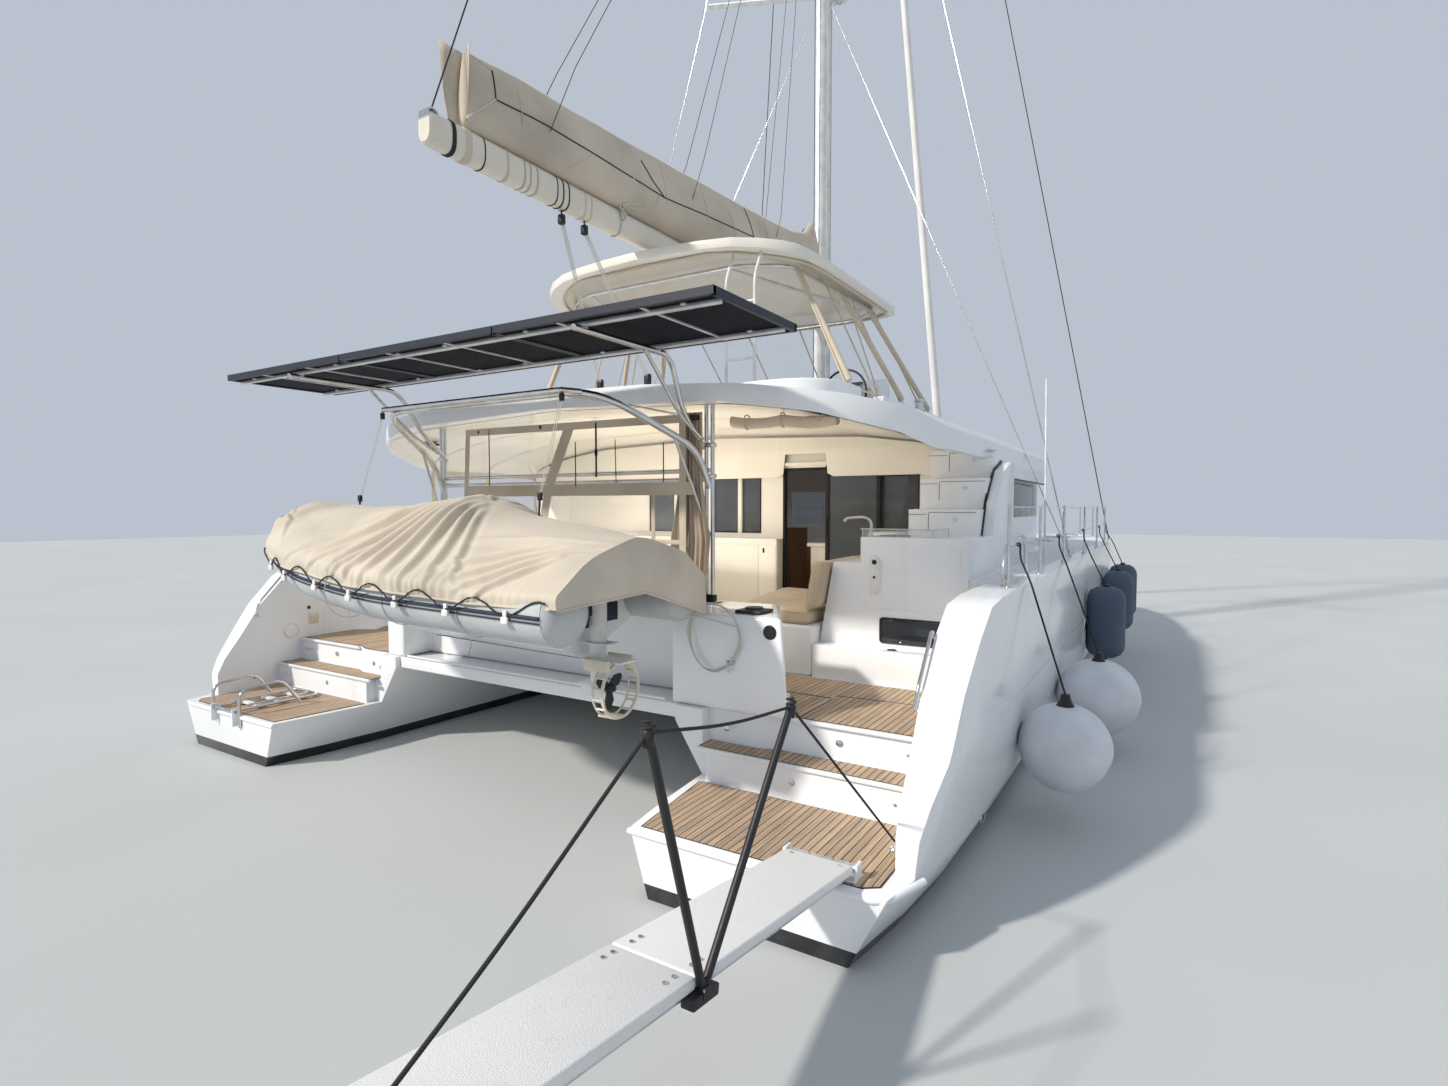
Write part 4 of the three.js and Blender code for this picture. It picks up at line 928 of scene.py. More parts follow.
@dataclass
class Assembly:
    """A sub-assembly of the boat, which dresses its own nodes of the frame."""

    frame: Frame

    def build(self) -> None:
        """Builds every piece of the sub-assembly."""
        raise NotImplementedError

    def rework(self, node: str, finish: object, bevel: float = 0.008, segments: int = 2, angle: float = 35,
               body: str = MAIN_BODY, moved: Optional[Callable[[Vector], Vector]] = None) -> Piece:
        """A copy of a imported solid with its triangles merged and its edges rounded, which stands for it.

        Args:
            node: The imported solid's name.
            finish: The finish it wears.
            bevel: The width of its rounded edges.
            segments: How many strips make a rounded edge.
            angle: Edges sharper than this are rounded.
            body: The body that it rides on.
            moved: Gives the new place of a corner, where the finished form differs.

        Returns:
            The new piece.
        """
        piece = bpy.data.objects.new(f"{node}_finished", self.frame["nodes"][node].data.copy())
        bpy.context.collection.objects.link(piece)
        edit(piece,
             lambda: bpy.ops.mesh.remove_doubles(threshold=MERGE),
             lambda: bpy.ops.mesh.dissolve_limited(angle_limit=math.radians(FLAT)))
        if moved:
            for vertex in piece.data.vertices:
                vertex.co = moved(vertex.co)
        return dress(rounded(piece, bevel, segments, angle), finish, node, body=body)


# The view


@dataclass
class Studio:
    """Camera, soft lights and a pale floor at the waterline."""

    eye: Point = (-11.82, -5.30, 2.57)
    bearing: float = 31.6
    pitch: float = -2.7
    focal_pixels: float = 741
    image_width: float = 1448
    sensor: float = 36.0
    floor_size: float = 140.0
    sun: float = 3.4
    sunward: Point = (-0.72, 0.42, 0.62)
    sky: float = 0.72
    # Soft panels of light: name, place, what each faces, width, height, watts
    fills: Sequence[tuple[str, Point, Point, float, float, float]] = (
        ("cockpit_fill", (-6.15, 0.0, 2.75), (-3.3, -0.3, 2.4), 3.6, 0.8, 34.0),
        ("headliner_fill", (-4.9, 0.3, 1.75), (-4.9, 0.2, 3.5), 2.4, 3.4, 42.0),
        ("saloon_fill", (-0.9, 0.0, 3.25), (-1.2, 0.0, 1.0), 3.0, 2.6, 40.0))
    sun_colour: Colour = (1.0, 0.94, 0.86)
    fill_colour: Colour = (1.0, 0.93, 0.84)
    sun_softness: float = 3
    sight: float = 500

    def build(self) -> None:
        """Sets the camera, the lights and the floor."""
        self.camera()
        self.lights()
        self.floor()

    def camera(self) -> None:
        """The camera, at eye height astern of the boat and a little to starboard."""
        deselect()
        turn = (math.radians(90 + self.pitch), 0, math.radians(self.bearing - 90))
        bpy.ops.object.camera_add(location=self.eye, rotation=turn)
        camera = bpy.context.object
        camera.name = "camera"
        camera.data.sensor_width = self.sensor
        camera.data.lens = self.focal_pixels / self.image_width * self.sensor
        camera.data.clip_end = self.sight
        bpy.context.scene.camera = camera

    def lights(self) -> None:
        """A soft sun from astern and to port, and a pale sky."""
        deselect()
        bpy.ops.object.light_add(type="SUN", location=(-20, 15, 30))
        sun = bpy.context.object
        sun.name = "key"
        sun.data.energy = self.sun
        sun.data.angle = math.radians(self.sun_softness)
        sun.data.color = self.sun_colour
        sun.rotation_euler = Vector(self.sunward).to_track_quat("Z", "Y").to_euler()
        for name, place, aim, wide, high, power in self.fills:
            deselect()
            bpy.ops.object.light_add(type="AREA", location=place)
            fill = bpy.context.object
            fill.name = name
            fill.data.shape = "RECTANGLE"
            fill.data.size, fill.data.size_y = wide, high
            fill.data.energy = power
            fill.data.color = self.fill_colour
            fill.visible_camera = False
            fill.visible_glossy = False
            fill.rotation_euler = (Vector(aim) - Vector(place)).to_track_quat("-Z", "Y").to_euler()
        world = bpy.data.worlds.new("soft_sky")
        bpy.context.scene.world = world
        world.use_nodes = True
        sky = world.node_tree.nodes["Background"]
        sky.inputs["Color"].default_value = (0.68, 0.75, 0.86, 1)
        sky.inputs["Strength"].default_value = self.sky
        bpy.context.scene.view_settings.view_transform = "Standard"

    def floor(self) -> None:
        """A pale floor stands in for the water."""
        deselect()
        bpy.ops.mesh.primitive_plane_add(size=self.floor_size)
        floor = settle(bpy.context.object, "floor")
        paint = Paint("floor_pale", Roughness=0.7)
        paint.colour(paint.ramp(paint.noise(0.3, 2), (0.3, (0.5, 0.52, 0.52)), (0.7, (0.53, 0.55, 0.55))))
        floor.data.materials.append(paint.material)


# Stations of a hull: place along it, half its width at the water, and how far out its deck reaches
STATIONS = ((-8.03, 0.70, 4.08), (-7.5, 0.79, 4.19), (-6.87, 0.85, 4.25), (-5.0, 0.90, 4.25),
            (-2.0, 0.92, 4.25), (1.2, 0.90, 4.25), (3.2, 0.80, 4.23), (4.4, 0.68, 4.16), (5.8, 0.48, 3.93),
            (6.9, 0.28, 3.62), (7.84, 0.03, 3.13))
HULL_MIDDLE = 3.08
# The topside's knuckle: its height, its share of the flare, and the rise from it to the upright side
KNUCKLE, KNUCKLE_SHARE, KNUCKLE_TO_SHEER = 0.45, 0.75, 0.65


def topside(x: float, z: float) -> float:
    """How far the outer side of a hull is from the centreline.

    Args:
        x: A place along the boat.
        z: A height above the water.

    Returns:
        The distance across from the centreline.
    """
    for (x0, half0, deck0), (x1, half1, deck1) in zip(STATIONS, STATIONS[1:]):
        if x <= x1:
            break
    t = min(1.0, max(0.0, (x - x0) / (x1 - x0)))
    wet, deck = HULL_MIDDLE + half0 + (half1 - half0) * t, deck0 + (deck1 - deck0) * t
    knuckle = wet + (deck - wet) * KNUCKLE_SHARE
    if z < KNUCKLE:
        return wet + (knuckle - wet) * z / KNUCKLE
    return knuckle + (deck - knuckle) * min(1.0, (z - KNUCKLE) / KNUCKLE_TO_SHEER)


@dataclass
class Hulls(Assembly):
    """Two hulls with laid teak on the stern steps, dark windows, deck grip, hatches and cleats."""

    thickness: float = 0.006
    caulk: float = 0.009
    fin_face: float = -3.949
    platform: Outline = ((-7.985, -2.29), (-7.1, -2.17), (-7.085, -2.3), (-7.085, -3.93), (-7.92, -3.93),
                         (-7.985, -3.84))
    step: Outline = ((-7.045, -2.13), (-6.87, -2.13), (-6.87, -2.56), (-6.81, -2.72), (-6.81, -3.93),
                     (-7.045, -3.93))
    landing: Outline = ((-6.765, -2.86), (-6.03, -2.86), (-5.955, -3.7), (-6.1, -3.93), (-6.765, -3.93))
    forward_pad: Outline = ((-6.1, -1.9), (-5.49, -2.0), (-5.47, -3.66), (-5.7, -3.86), (-5.93, -3.71),
                            (-6.005, -2.84), (-6.1, -2.84))
    sole: Outline = ((-5.96, -1.72), (-5.96, 1.46), (-3.3, 1.46), (-3.3, -0.86), (-4.46, -0.86),
                     (-5.37, -1.72))
    window_step: float = 0.25
    window: Outline = ((-0.9, 1.12), (-0.8, 0.59), (3.35, 0.66), (3.7, 0.78), (3.78, 1.02), (3.6, 1.13))
    cleats: Sequence[Point] = ((-5.35, 4.1, DECK), (0.6, 4.1, DECK), (5.6, 3.82, DECK))
    side_grip: Outline = (
        (-5.55, -3.83), (-3.3, -3.83), (-3.3, -3.56), (0.3, -3.52), (1.4, -3.3), (2.1, -2.7), (2.52, -1.0),
        (2.52, -0.1), (4.3, -0.1), (4.3, -3.95), (2.6, -4.08), (-5.55, -4.08))
    bow_grip: Outline = ((4.45, -1.98), (5.7, -2.4), (6.7, -2.75), (7.3, -2.98), (7.3, -3.3), (6.6, -3.55),
                         (5.7, -3.8), (4.45, -4.02))
    # Each hatch: its middle (x, y) and half its width
    hatches: Sequence[Point] = ((3.25, -3.0, 0.28), (3.35, -1.0, 0.3), (5.2, -3.05, 0.27), (6.4, -3.15, 0.2))
    # The fin's top line beside the steps: each corner (x, z) of the solid, and where the finished one is
    fin: Sequence[tuple[float, float, float, float]] = (
        (-7.96, 0.45, -7.74, 0.45), (-7.8, 0.64, -7.74, 0.68), (-7.66, 0.85, -7.66, 0.85),
        (-7.46, 1.06, -7.5, 1.07), (-7.07, 1.26, -7.27, 1.42), (-6.62, 1.64, -6.98, 1.73),
        (-6.33, 1.82, -6.7, 1.91), (-6.08, 1.93, -6.35, 1.943), (-5.9, 1.951, -5.9, 1.951))
    box_landing: Outline = ((-6.765, -2.862), (-6.765, -2.8), (-6.13, -2.47), (-6.13, -2.862))
    side_landing: Outline = ((-6.765, -2.862), (-6.765, -2.73), (-6.825, -2.57), (-6.825, -2.1),
                             (-6.13, -2.1), (-6.13, -2.862))

    def build(self) -> None:
        """Builds both hulls and all that is fixed to them."""
        for side in ("starboard", "port"):
            self.rework(f"hull_{side}", HULL_WHITE, bevel=0.018, segments=3, angle=38, moved=self.on_fin)
            self.rework(f"keel_{side}", ANTIFOUL, bevel=0.03)
            self.rework(f"rudder_{side}", ANTIFOUL, bevel=0.008, body=f"rudder_{side}")
            self.rework(f"propeller_{side}", BRONZE, bevel=0.002, angle=60, body=f"propeller_{side}")
        self.decks()
        self.both("hull_window", self.hull_window())
        self.both("exhaust", self.exhaust())
        self.both("fin_handrail", dress(self.handrail(), STEEL))
        self.both("boarding_hoop", dress(self.hoop(), STEEL))
        self.step_fittings()
        self.fin_fittings()
        self.cleats_and_hatches()

    def on_fin(self, corner: Vector) -> Vector:
        """Where a corner of the hull belongs: those on the fin's top line move to the finished line.

        Args:
            corner: A corner of the solid.

        Returns:
            The corner's finished place.
        """
        if abs(corner.y) < 3.93:
            return corner
        for (x0, z0, to_x0, to_z0), (x1, z1, to_x1, to_z1) in zip(self.fin, self.fin[1:]):
            run, rise = x1 - x0, z1 - z0
            ahead, up = corner.x - x0, corner.z - z0
            t = (ahead * run + up * rise) / (run ** 2 + rise ** 2)
            off = abs(ahead * rise - up * run) / math.hypot(run, rise)
            if -0.001 < t < 1.001 and off < 0.004:
                x, z = to_x0 + (to_x1 - to_x0) * t, to_z0 + (to_z1 - to_z0) * t
                y = corner.y if abs(corner.y) < 3.96 else math.copysign(topside(x, z), corner.y)
                return Vector((x, y, z))
        return corner

    @staticmethod
    def both(name: str, starboard: Sequence[Piece] | Piece) -> None:
        """Copies dressed starboard pieces to port and names both sides.

        Args:
            name: What the pair is called.
            starboard: The dressed starboard piece or pieces.
        """
        for i, piece in enumerate(starboard if isinstance(starboard, (list, tuple)) else [starboard]):
            slot, finish = piece["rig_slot"], piece.data.materials[0]
            tail = f"_{i}" if i else ""
            piece.name = f"{name}_starboard{tail}"
            twin = across(piece, f"{name}_port{tail}")
            twin.data.materials.clear()
            twin.data.materials.append(finish)
            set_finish(twin, slot)
            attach(twin, MAIN_BODY)

    def teak_pad(self, name: str, outline: Outline, height: float) -> list[Piece]:
        """A laid teak pad on a black bed that shows as the seam round its edge.

        Args:
            name: The pad's name.
            outline: Its corners.
            height: The height of the deck it lies on.

        Returns:
            The pad and its bed.
        """
        bed = slab(f"{name}_bed", outline, height, self.thickness - 0.002, bevel=0)
        middle = Vector((sum(p[0] for p in outline), sum(p[1] for p in outline))) / len(outline)
        inner = [tuple(Vector(p) + (middle - Vector(p)).normalized() * self.caulk * 1.3) for p in outline]
        top = slab(name, inner, height, self.thickness, bevel=0.001, segments=1)
        return [dress(top, TEAK), dress(bed, BLACK)]

    def decks(self) -> None:
        """Teak on the stern steps and the cockpit, grip panels on the side decks."""
        for name, outline, height in (("platform_teak", self.platform, PLATFORM),
                                      ("step_teak", self.step, STEP), ("landing_teak", self.landing, SOLE),
                                      ("passage_teak", self.forward_pad, SOLE)):
            self.both(name, self.teak_pad(name, outline, height))
        self.teak_pad("cockpit_teak", self.sole, SOLE)
        self.teak_pad("side_landing_teak", [(x, -y) for x, y in self.side_landing], SOLE)
        self.teak_pad("box_landing_teak", self.box_landing, SOLE)
        for name, outline in (("side_deck_grip", self.side_grip), ("bow_deck_grip", self.bow_grip)):
            self.both(name, dress(slab("grip", outline, DECK, 0.003, bevel=0.001, segments=1), DECK_GRIP))

    def on_side(self, outline: Outline, proud: float) -> list[Point]:
        """The points of an outline laid on the starboard topside.

        Args:
            outline: Places (x, z).
            proud: How far they stand off the side.

        Returns:
            The points.
        """
        return [(x, -topside(x, z) - proud, z) for x, z in outline]

    def window_path(self) -> list[tuple[float, float]]:
        """The outline of the hull window in short steps, its corners rounded.

        Returns:
            Places (x, z), in order.
        """
        (x0, z0), (x1, z1) = self.window[-1], self.window[0]
        middle = ((x0 + x1) / 2, 0.0, (z0 + z1) / 2)
        path = bent([middle, *[(x, 0.0, z) for x, z in self.window], middle], 0.08)
        steps = []
        for a, b in zip(path, path[1:]):
            parts = max(1, math.ceil((b - a).length / self.window_step))
            steps += [a.lerp(b, i / parts) for i in range(parts)]
        return [(step.x, step.z) for step in steps]

    def hull_window(self) -> list[Piece]:
        """The long dark window in the topside, with its white frame and mullions."""
        path = self.window_path()
        pane = slab("pane", path, 0, 0.006, Axis.Y, bevel=0)
        for i in range(19):
            x = -0.75 + i * self.window_step
            edit(pane, lambda: bpy.ops.mesh.bisect(plane_co=(x, 0, 0), plane_no=(1, 0, 0)))
        edit(pane, lambda: bpy.ops.mesh.bisect(plane_co=(0, 0, 1.1), plane_no=(0, 0, 1)))
        for vertex in pane.data.vertices:
            x, y, z = vertex.co
            vertex.co = (x, -topside(x, z) - 0.003 - y, z)
        edit(pane, lambda: bpy.ops.mesh.normals_make_consistent(inside=False))
        rim = tube("rim", self.on_side(path, -0.002), 0.012, closed=True)
        bars = [tube("bar", self.on_side(((x, 1.12), (x + 0.06, 0.64)), 0.002), 0.009)
                for x in (0.35, 1.55, 2.6)]
        return [dress(pane, HULL_GLASS), fitted("rim", [rim, *bars], WHITE)]

    def exhaust(self) -> list[Piece]:
        """The oval outlet low in the topside: a steel ring about a black throat."""
        x, z = -6.1, 0.24
        y = -topside(x, z)
        ring = skin("ring",
                    [circle((x, y + step, z), radius, Axis.Y, 28, 1.5)
                     for radius, step in ((0.03, 0.01), (0.03, -0.016), (0.043, -0.02), (0.05, -0.008),
                                          (0.05, 0.02))], caps=False)
        throat = skin("throat", [circle((x, y + step, z), radius, Axis.Y, 28, 1.5)
                                 for radius, step in ((0.0302, -0.012), (0.026, -0.004), (0.012, -0.003))])
        return [dress(ring, STEEL), dress(throat, BLACK)]

    def handrail(self) -> Piece:
        """The stainless rail that stands on the inner edge of the fin, up beside the steps."""
        points = ((-7.3, -3.952, 1.3), (-7.32, -3.925, 1.32), (-7.29, -3.935, 1.45), (-7.0, -3.935, 1.77),
                  (-6.94, -3.925, 1.72), (-6.93, -3.952, 1.7))
        pads = [lathe("pad", ((0.001, 0.0), (0.026, 0.0), (0.026, 0.006), (0.001, 0.008)), (x, -3.95, z),
                      Axis.Y) for x, z in ((-7.3, 1.3), (-6.93, 1.7))]
        return joined("fin_handrail", [tube("rail", points, 0.0125, bend=0.05), *pads])

    def hoop(self) -> Piece:
        """The stainless hoop at the after end of the side deck."""
        points = ((-5.62, -4.1, 1.95), (-5.55, -4.1, 2.2), (-5.28, -4.1, 2.33), (-4.65, -4.1, 2.33),
                  (-4.52, -4.1, 1.95))
        return tube("boarding_hoop", points, 0.0155, bend=0.16, detail=4)

    def step_fittings(self) -> None:
        """Courtesy lights and round fittings in the risers, and the lip under the platform."""
        lights = []
        for x, y, z in ((-7.061, -2.95, 0.58), (-6.791, -3.2, 0.84), (-6.901, -2.3, 0.84)):
            lights.append(lathe("light",
                                ((0.001, -0.004), (0.018, -0.004), (0.026, 0.0), (0.026, 0.004),
                                 (0.001, 0.004)), (x, y, z), Axis.X))
        for y in (-3.72, -3.79, -3.86):
            for x, z in ((-7.061, 0.58), (-6.791, 0.84)):
                lights.append(lathe("stud", ((0.001, -0.006), (0.012, -0.004), (0.012, 0.004)),
                                    (x, y, z), Axis.X, 12))
        self.both("riser_fittings", fitted("riser", lights, STEEL))
        points = ((-8.028, -2.22, 0.425), (-8.03, -3.05, 0.425), (-8.03, -3.98, 0.425), (-7.7, -4.105, 0.44))
        self.both("platform_lip", dress(tube("lip", points, 0.022, bend=0.1), WHITE))
        nosings = [slab("nosing", ((aft, y), (aft, -3.945), (fore, -3.945), (fore, y)), z, 0.03, bevel=0.008)
                   for aft, fore, y, z in ((-7.085, -7.055, -2.12, 0.685), (-6.815, -6.785, -2.73, 0.945))]
        self.both("step_nosing", fitted("nosing", nosings, WHITE))

    def fin_fittings(self) -> None:
        """Seams of a locker door, round hatch, vent and studs on the inner face of each fin."""
        y = self.fin_face
        outer = ((-6.16, 1.09), (-5.67, 1.09), (-5.67, 1.56), (-6.16, 1.56))
        inner = ((-6.01, 1.28), (-5.84, 1.28), (-5.84, 1.46), (-6.01, 1.46))
        seams = [tube("seam", [(x, y, z) for x, z in line], 0.004, bend=0.02, detail=2, closed=True)
                 for line in (outer, inner)]
        round_seam = circle((-6.91, y, 1.065), 0.09, Axis.Y, 36)
        seams.append(tube("seam", [(x, y, z) for x, _, z in round_seam], 0.006, detail=2, closed=True))
        self.both("fin_seams", fitted("fin_seams", seams, IVORY))
        lid = lathe("lid", ((0.001, 0.008), (0.07, 0.008), (0.082, 0.004), (0.086, -0.002)),
                    (-6.91, y, 1.065), Axis.Y, 36)
        self.both("fin_hatch", dress(lid, WHITE))
        grille = [block("rim", (-6.7, y - 0.002, 1.12), (-6.57, y + 0.006, 1.25), 0.004)]
        grille += [block("slat", (-6.69, y + 0.004, 1.136 + 0.02 * i),
                         (-6.58, y + 0.011, 1.146 + 0.02 * i), 0.002, 1) for i in range(5)]
        self.both("fin_vent", fitted("fin_vent", grille, CREAM_PLASTIC))
        studs = [lathe("stud", ((0.001, 0.01), (r * 0.7, 0.01), (r, 0.004), (r, -0.002)), (x, y, z),
                       Axis.Y, 20) for x, z, r in ((-6.69, 1.33, 0.022), (-7.35, 0.57, 0.01))]
        self.both("fin_studs", fitted("fin_studs", studs, BLACK))

    def cleats_and_hatches(self) -> None:
        """Mooring cleats on the side decks and tinted hatches in low frames."""
        for i, (x, y, z) in enumerate(self.cleats):
            horn = tube("horn",
                        ((x - 0.17, -y, z + 0.062), (x - 0.09, -y, z + 0.075), (x + 0.09, -y, z + 0.075),
                         (x + 0.17, -y, z + 0.062)), 0.016, bend=0.05, detail=4)
            legs = [lathe("leg",
                          ((0.001, 0), (0.036, 0), (0.028, 0.012), (0.018, 0.03), (0.018, 0.07),
                           (0.001, 0.075)), (x + dx, -y, z), Axis.Z, 16) for dx in (-0.06, 0.06)]
            self.both(f"cleat_{i}", fitted("cleat", [horn, *legs], STEEL))
        for i, (x, y, half) in enumerate(self.hatches):
            low, high = (x - half, y - half, 1.953), (x + half, y + half, 1.978)
            rim = block("hatch_rim", low, high, bevel=0.02, segments=3)
            inner = half - 0.035
            lid = block("hatch_glass", (x - inner, y - inner, 1.97), (x + inner, y + inner, 1.984),
                        bevel=0.006)
            self.both(f"hatch_{i}", [dress(rim, ALLOY), dress(lid, HULL_GLASS)])


@dataclass
class SternBench(Assembly):
    """The moulding across the stern with its boxes, vent, shackle eye and deck plate, on the bridgedeck."""

    def build(self) -> None:
        """Builds the bench and what is fixed to it."""
        self.rework("bridgedeck", WHITE, bevel=0.014, segments=3)
        self.rework("aft_bench", WHITE, bevel=0.045, segments=4, moved=self.box_corner)
        plate = block("bench_hatch", (-6.84, -2.57, 1.742), (-6.62, -2.33, 1.772), bevel=0.014, segments=3)
        knob = lathe("bench_hatch_knob", ((0.001, 0.0), (0.075, 0.0), (0.07, 0.018), (0.001, 0.022)),
                     (-6.73, -2.45, 1.771))
        fitted("bench_hatch", [plate, knob], BLACK)
        vent = [lathe("vent",
                      ((0.001, 0.002), (0.052, 0.002), (0.056, -0.004), (0.048, -0.01), (0.044, -0.006),
                       (0.001, -0.006)), (-6.9, -2.68, 1.63), Axis.X, 28)]
        vent += [block("slat", (-6.91, -2.72, z), (-6.904, -2.64, z + 0.005), bevel=0)
                 for z in (1.61, 1.627, 1.644)]
        fitted("bench_vent", vent, BLACK)
        eye = tube("eye",
                   ((-6.9, -2.375, 1.37), (-6.925, -2.375, 1.37), (-6.925, -2.305, 1.37),
                    (-6.9, -2.305, 1.37)), 0.007, bend=0.02)
        pad = lathe("pad", ((0.001, 0), (0.032, 0), (0.032, -0.006), (0.001, -0.007)),
                    (-6.9, -2.34, 1.37), Axis.X)
        shackle = tube("shackle",
                       ((-6.93, -2.35, 1.365), (-6.935, -2.36, 1.31), (-6.935, -2.33, 1.29),
                        (-6.935, -2.31, 1.32), (-6.93, -2.325, 1.365)), 0.006, bend=0.02)
        fitted("bench_eye", [eye, pad, shackle], STEEL)
        dress(block("bench_seat_pad", (-6.39, -1.74, 1.402), (-6.02, 1.74, 1.41), bevel=0.003), DECK_GRIP)
        dress(slab("bench_lid", ((-6.83, -2.66), (-6.22, -2.34), (-6.22, -2.2), (-6.83, -2.2)), BENCH,
                   0.004, bevel=0.001, segments=1), DECK_GRIP)
        recess = ((1.15, 1.0), (1.1, 1.1), (1.14, 1.28), (1.24, 1.33), (1.52, 1.33), (1.6, 1.25),
                  (1.6, 1.04), (1.52, 0.99))
        dress(tube("bench_recess", [(-6.562, y, z) for y, z in recess], 0.008, bend=0.04, closed=True), WHITE)
        dress(tube("ledge_rail", ((-6.895, 1.7, 0.99), (-6.895, -1.7, 0.99)), 0.012), WHITE)
        self.tackle_coil()

    @staticmethod
    def box_corner(corner: Vector) -> Vector:
        """Where a corner of the bench belongs: its port box is narrow, its starboard one tapers forward.

        Args:
            corner: A corner of the solid.

        Returns:
            The corner's finished place.
        """
        if corner.y < -2.5:
            high = corner.z > 1.4
            ends = (-2.38, -2.78) if high else (-2.44, -2.84)
            return Vector((corner.x, ends[0] if corner.x > -6.5 else ends[1], corner.z))
        if corner.y > 2.5:
            return Vector((corner.x, 2.05, corner.z))
        if 1.4 < corner.y < 1.48:
            return Vector((corner.x, 1.65, corner.z))
        return corner

    def tackle_coil(self) -> None:
        """The white tail of the davit tackle, hung in three loops on the bench's aft face."""
        centre, turns, radius = Vector((-6.915, -2.2, 1.56)), 3, 0.255
        points = [Vector((-6.76, -1.95, 1.765)), Vector((-6.86, -1.96, 1.77)), Vector((-6.93, -1.98, 1.72))]
        count = 22
        for i in range(turns * count + 1):
            angle = math.radians(160) + 2 * math.pi * i / count
            swell = 1 + 0.05 * math.sin(i * 0.9)
            points.append(centre + Vector((-0.012 - 0.009 * i / count,
                                           radius * 0.92 * swell * math.cos(angle),
                                           radius * 1.05 * swell * math.sin(angle))))
        end = points[-1]
        points += [end + Vector((-0.006, -0.02, -0.07)), end + Vector((-0.002, -0.04, -0.15))]
        smooth = bent(points, 0.04, 3)
        coil = tube("tackle_tail", smooth, 0.0045, detail=2)
        dress(coil, ROPE_WHITE)


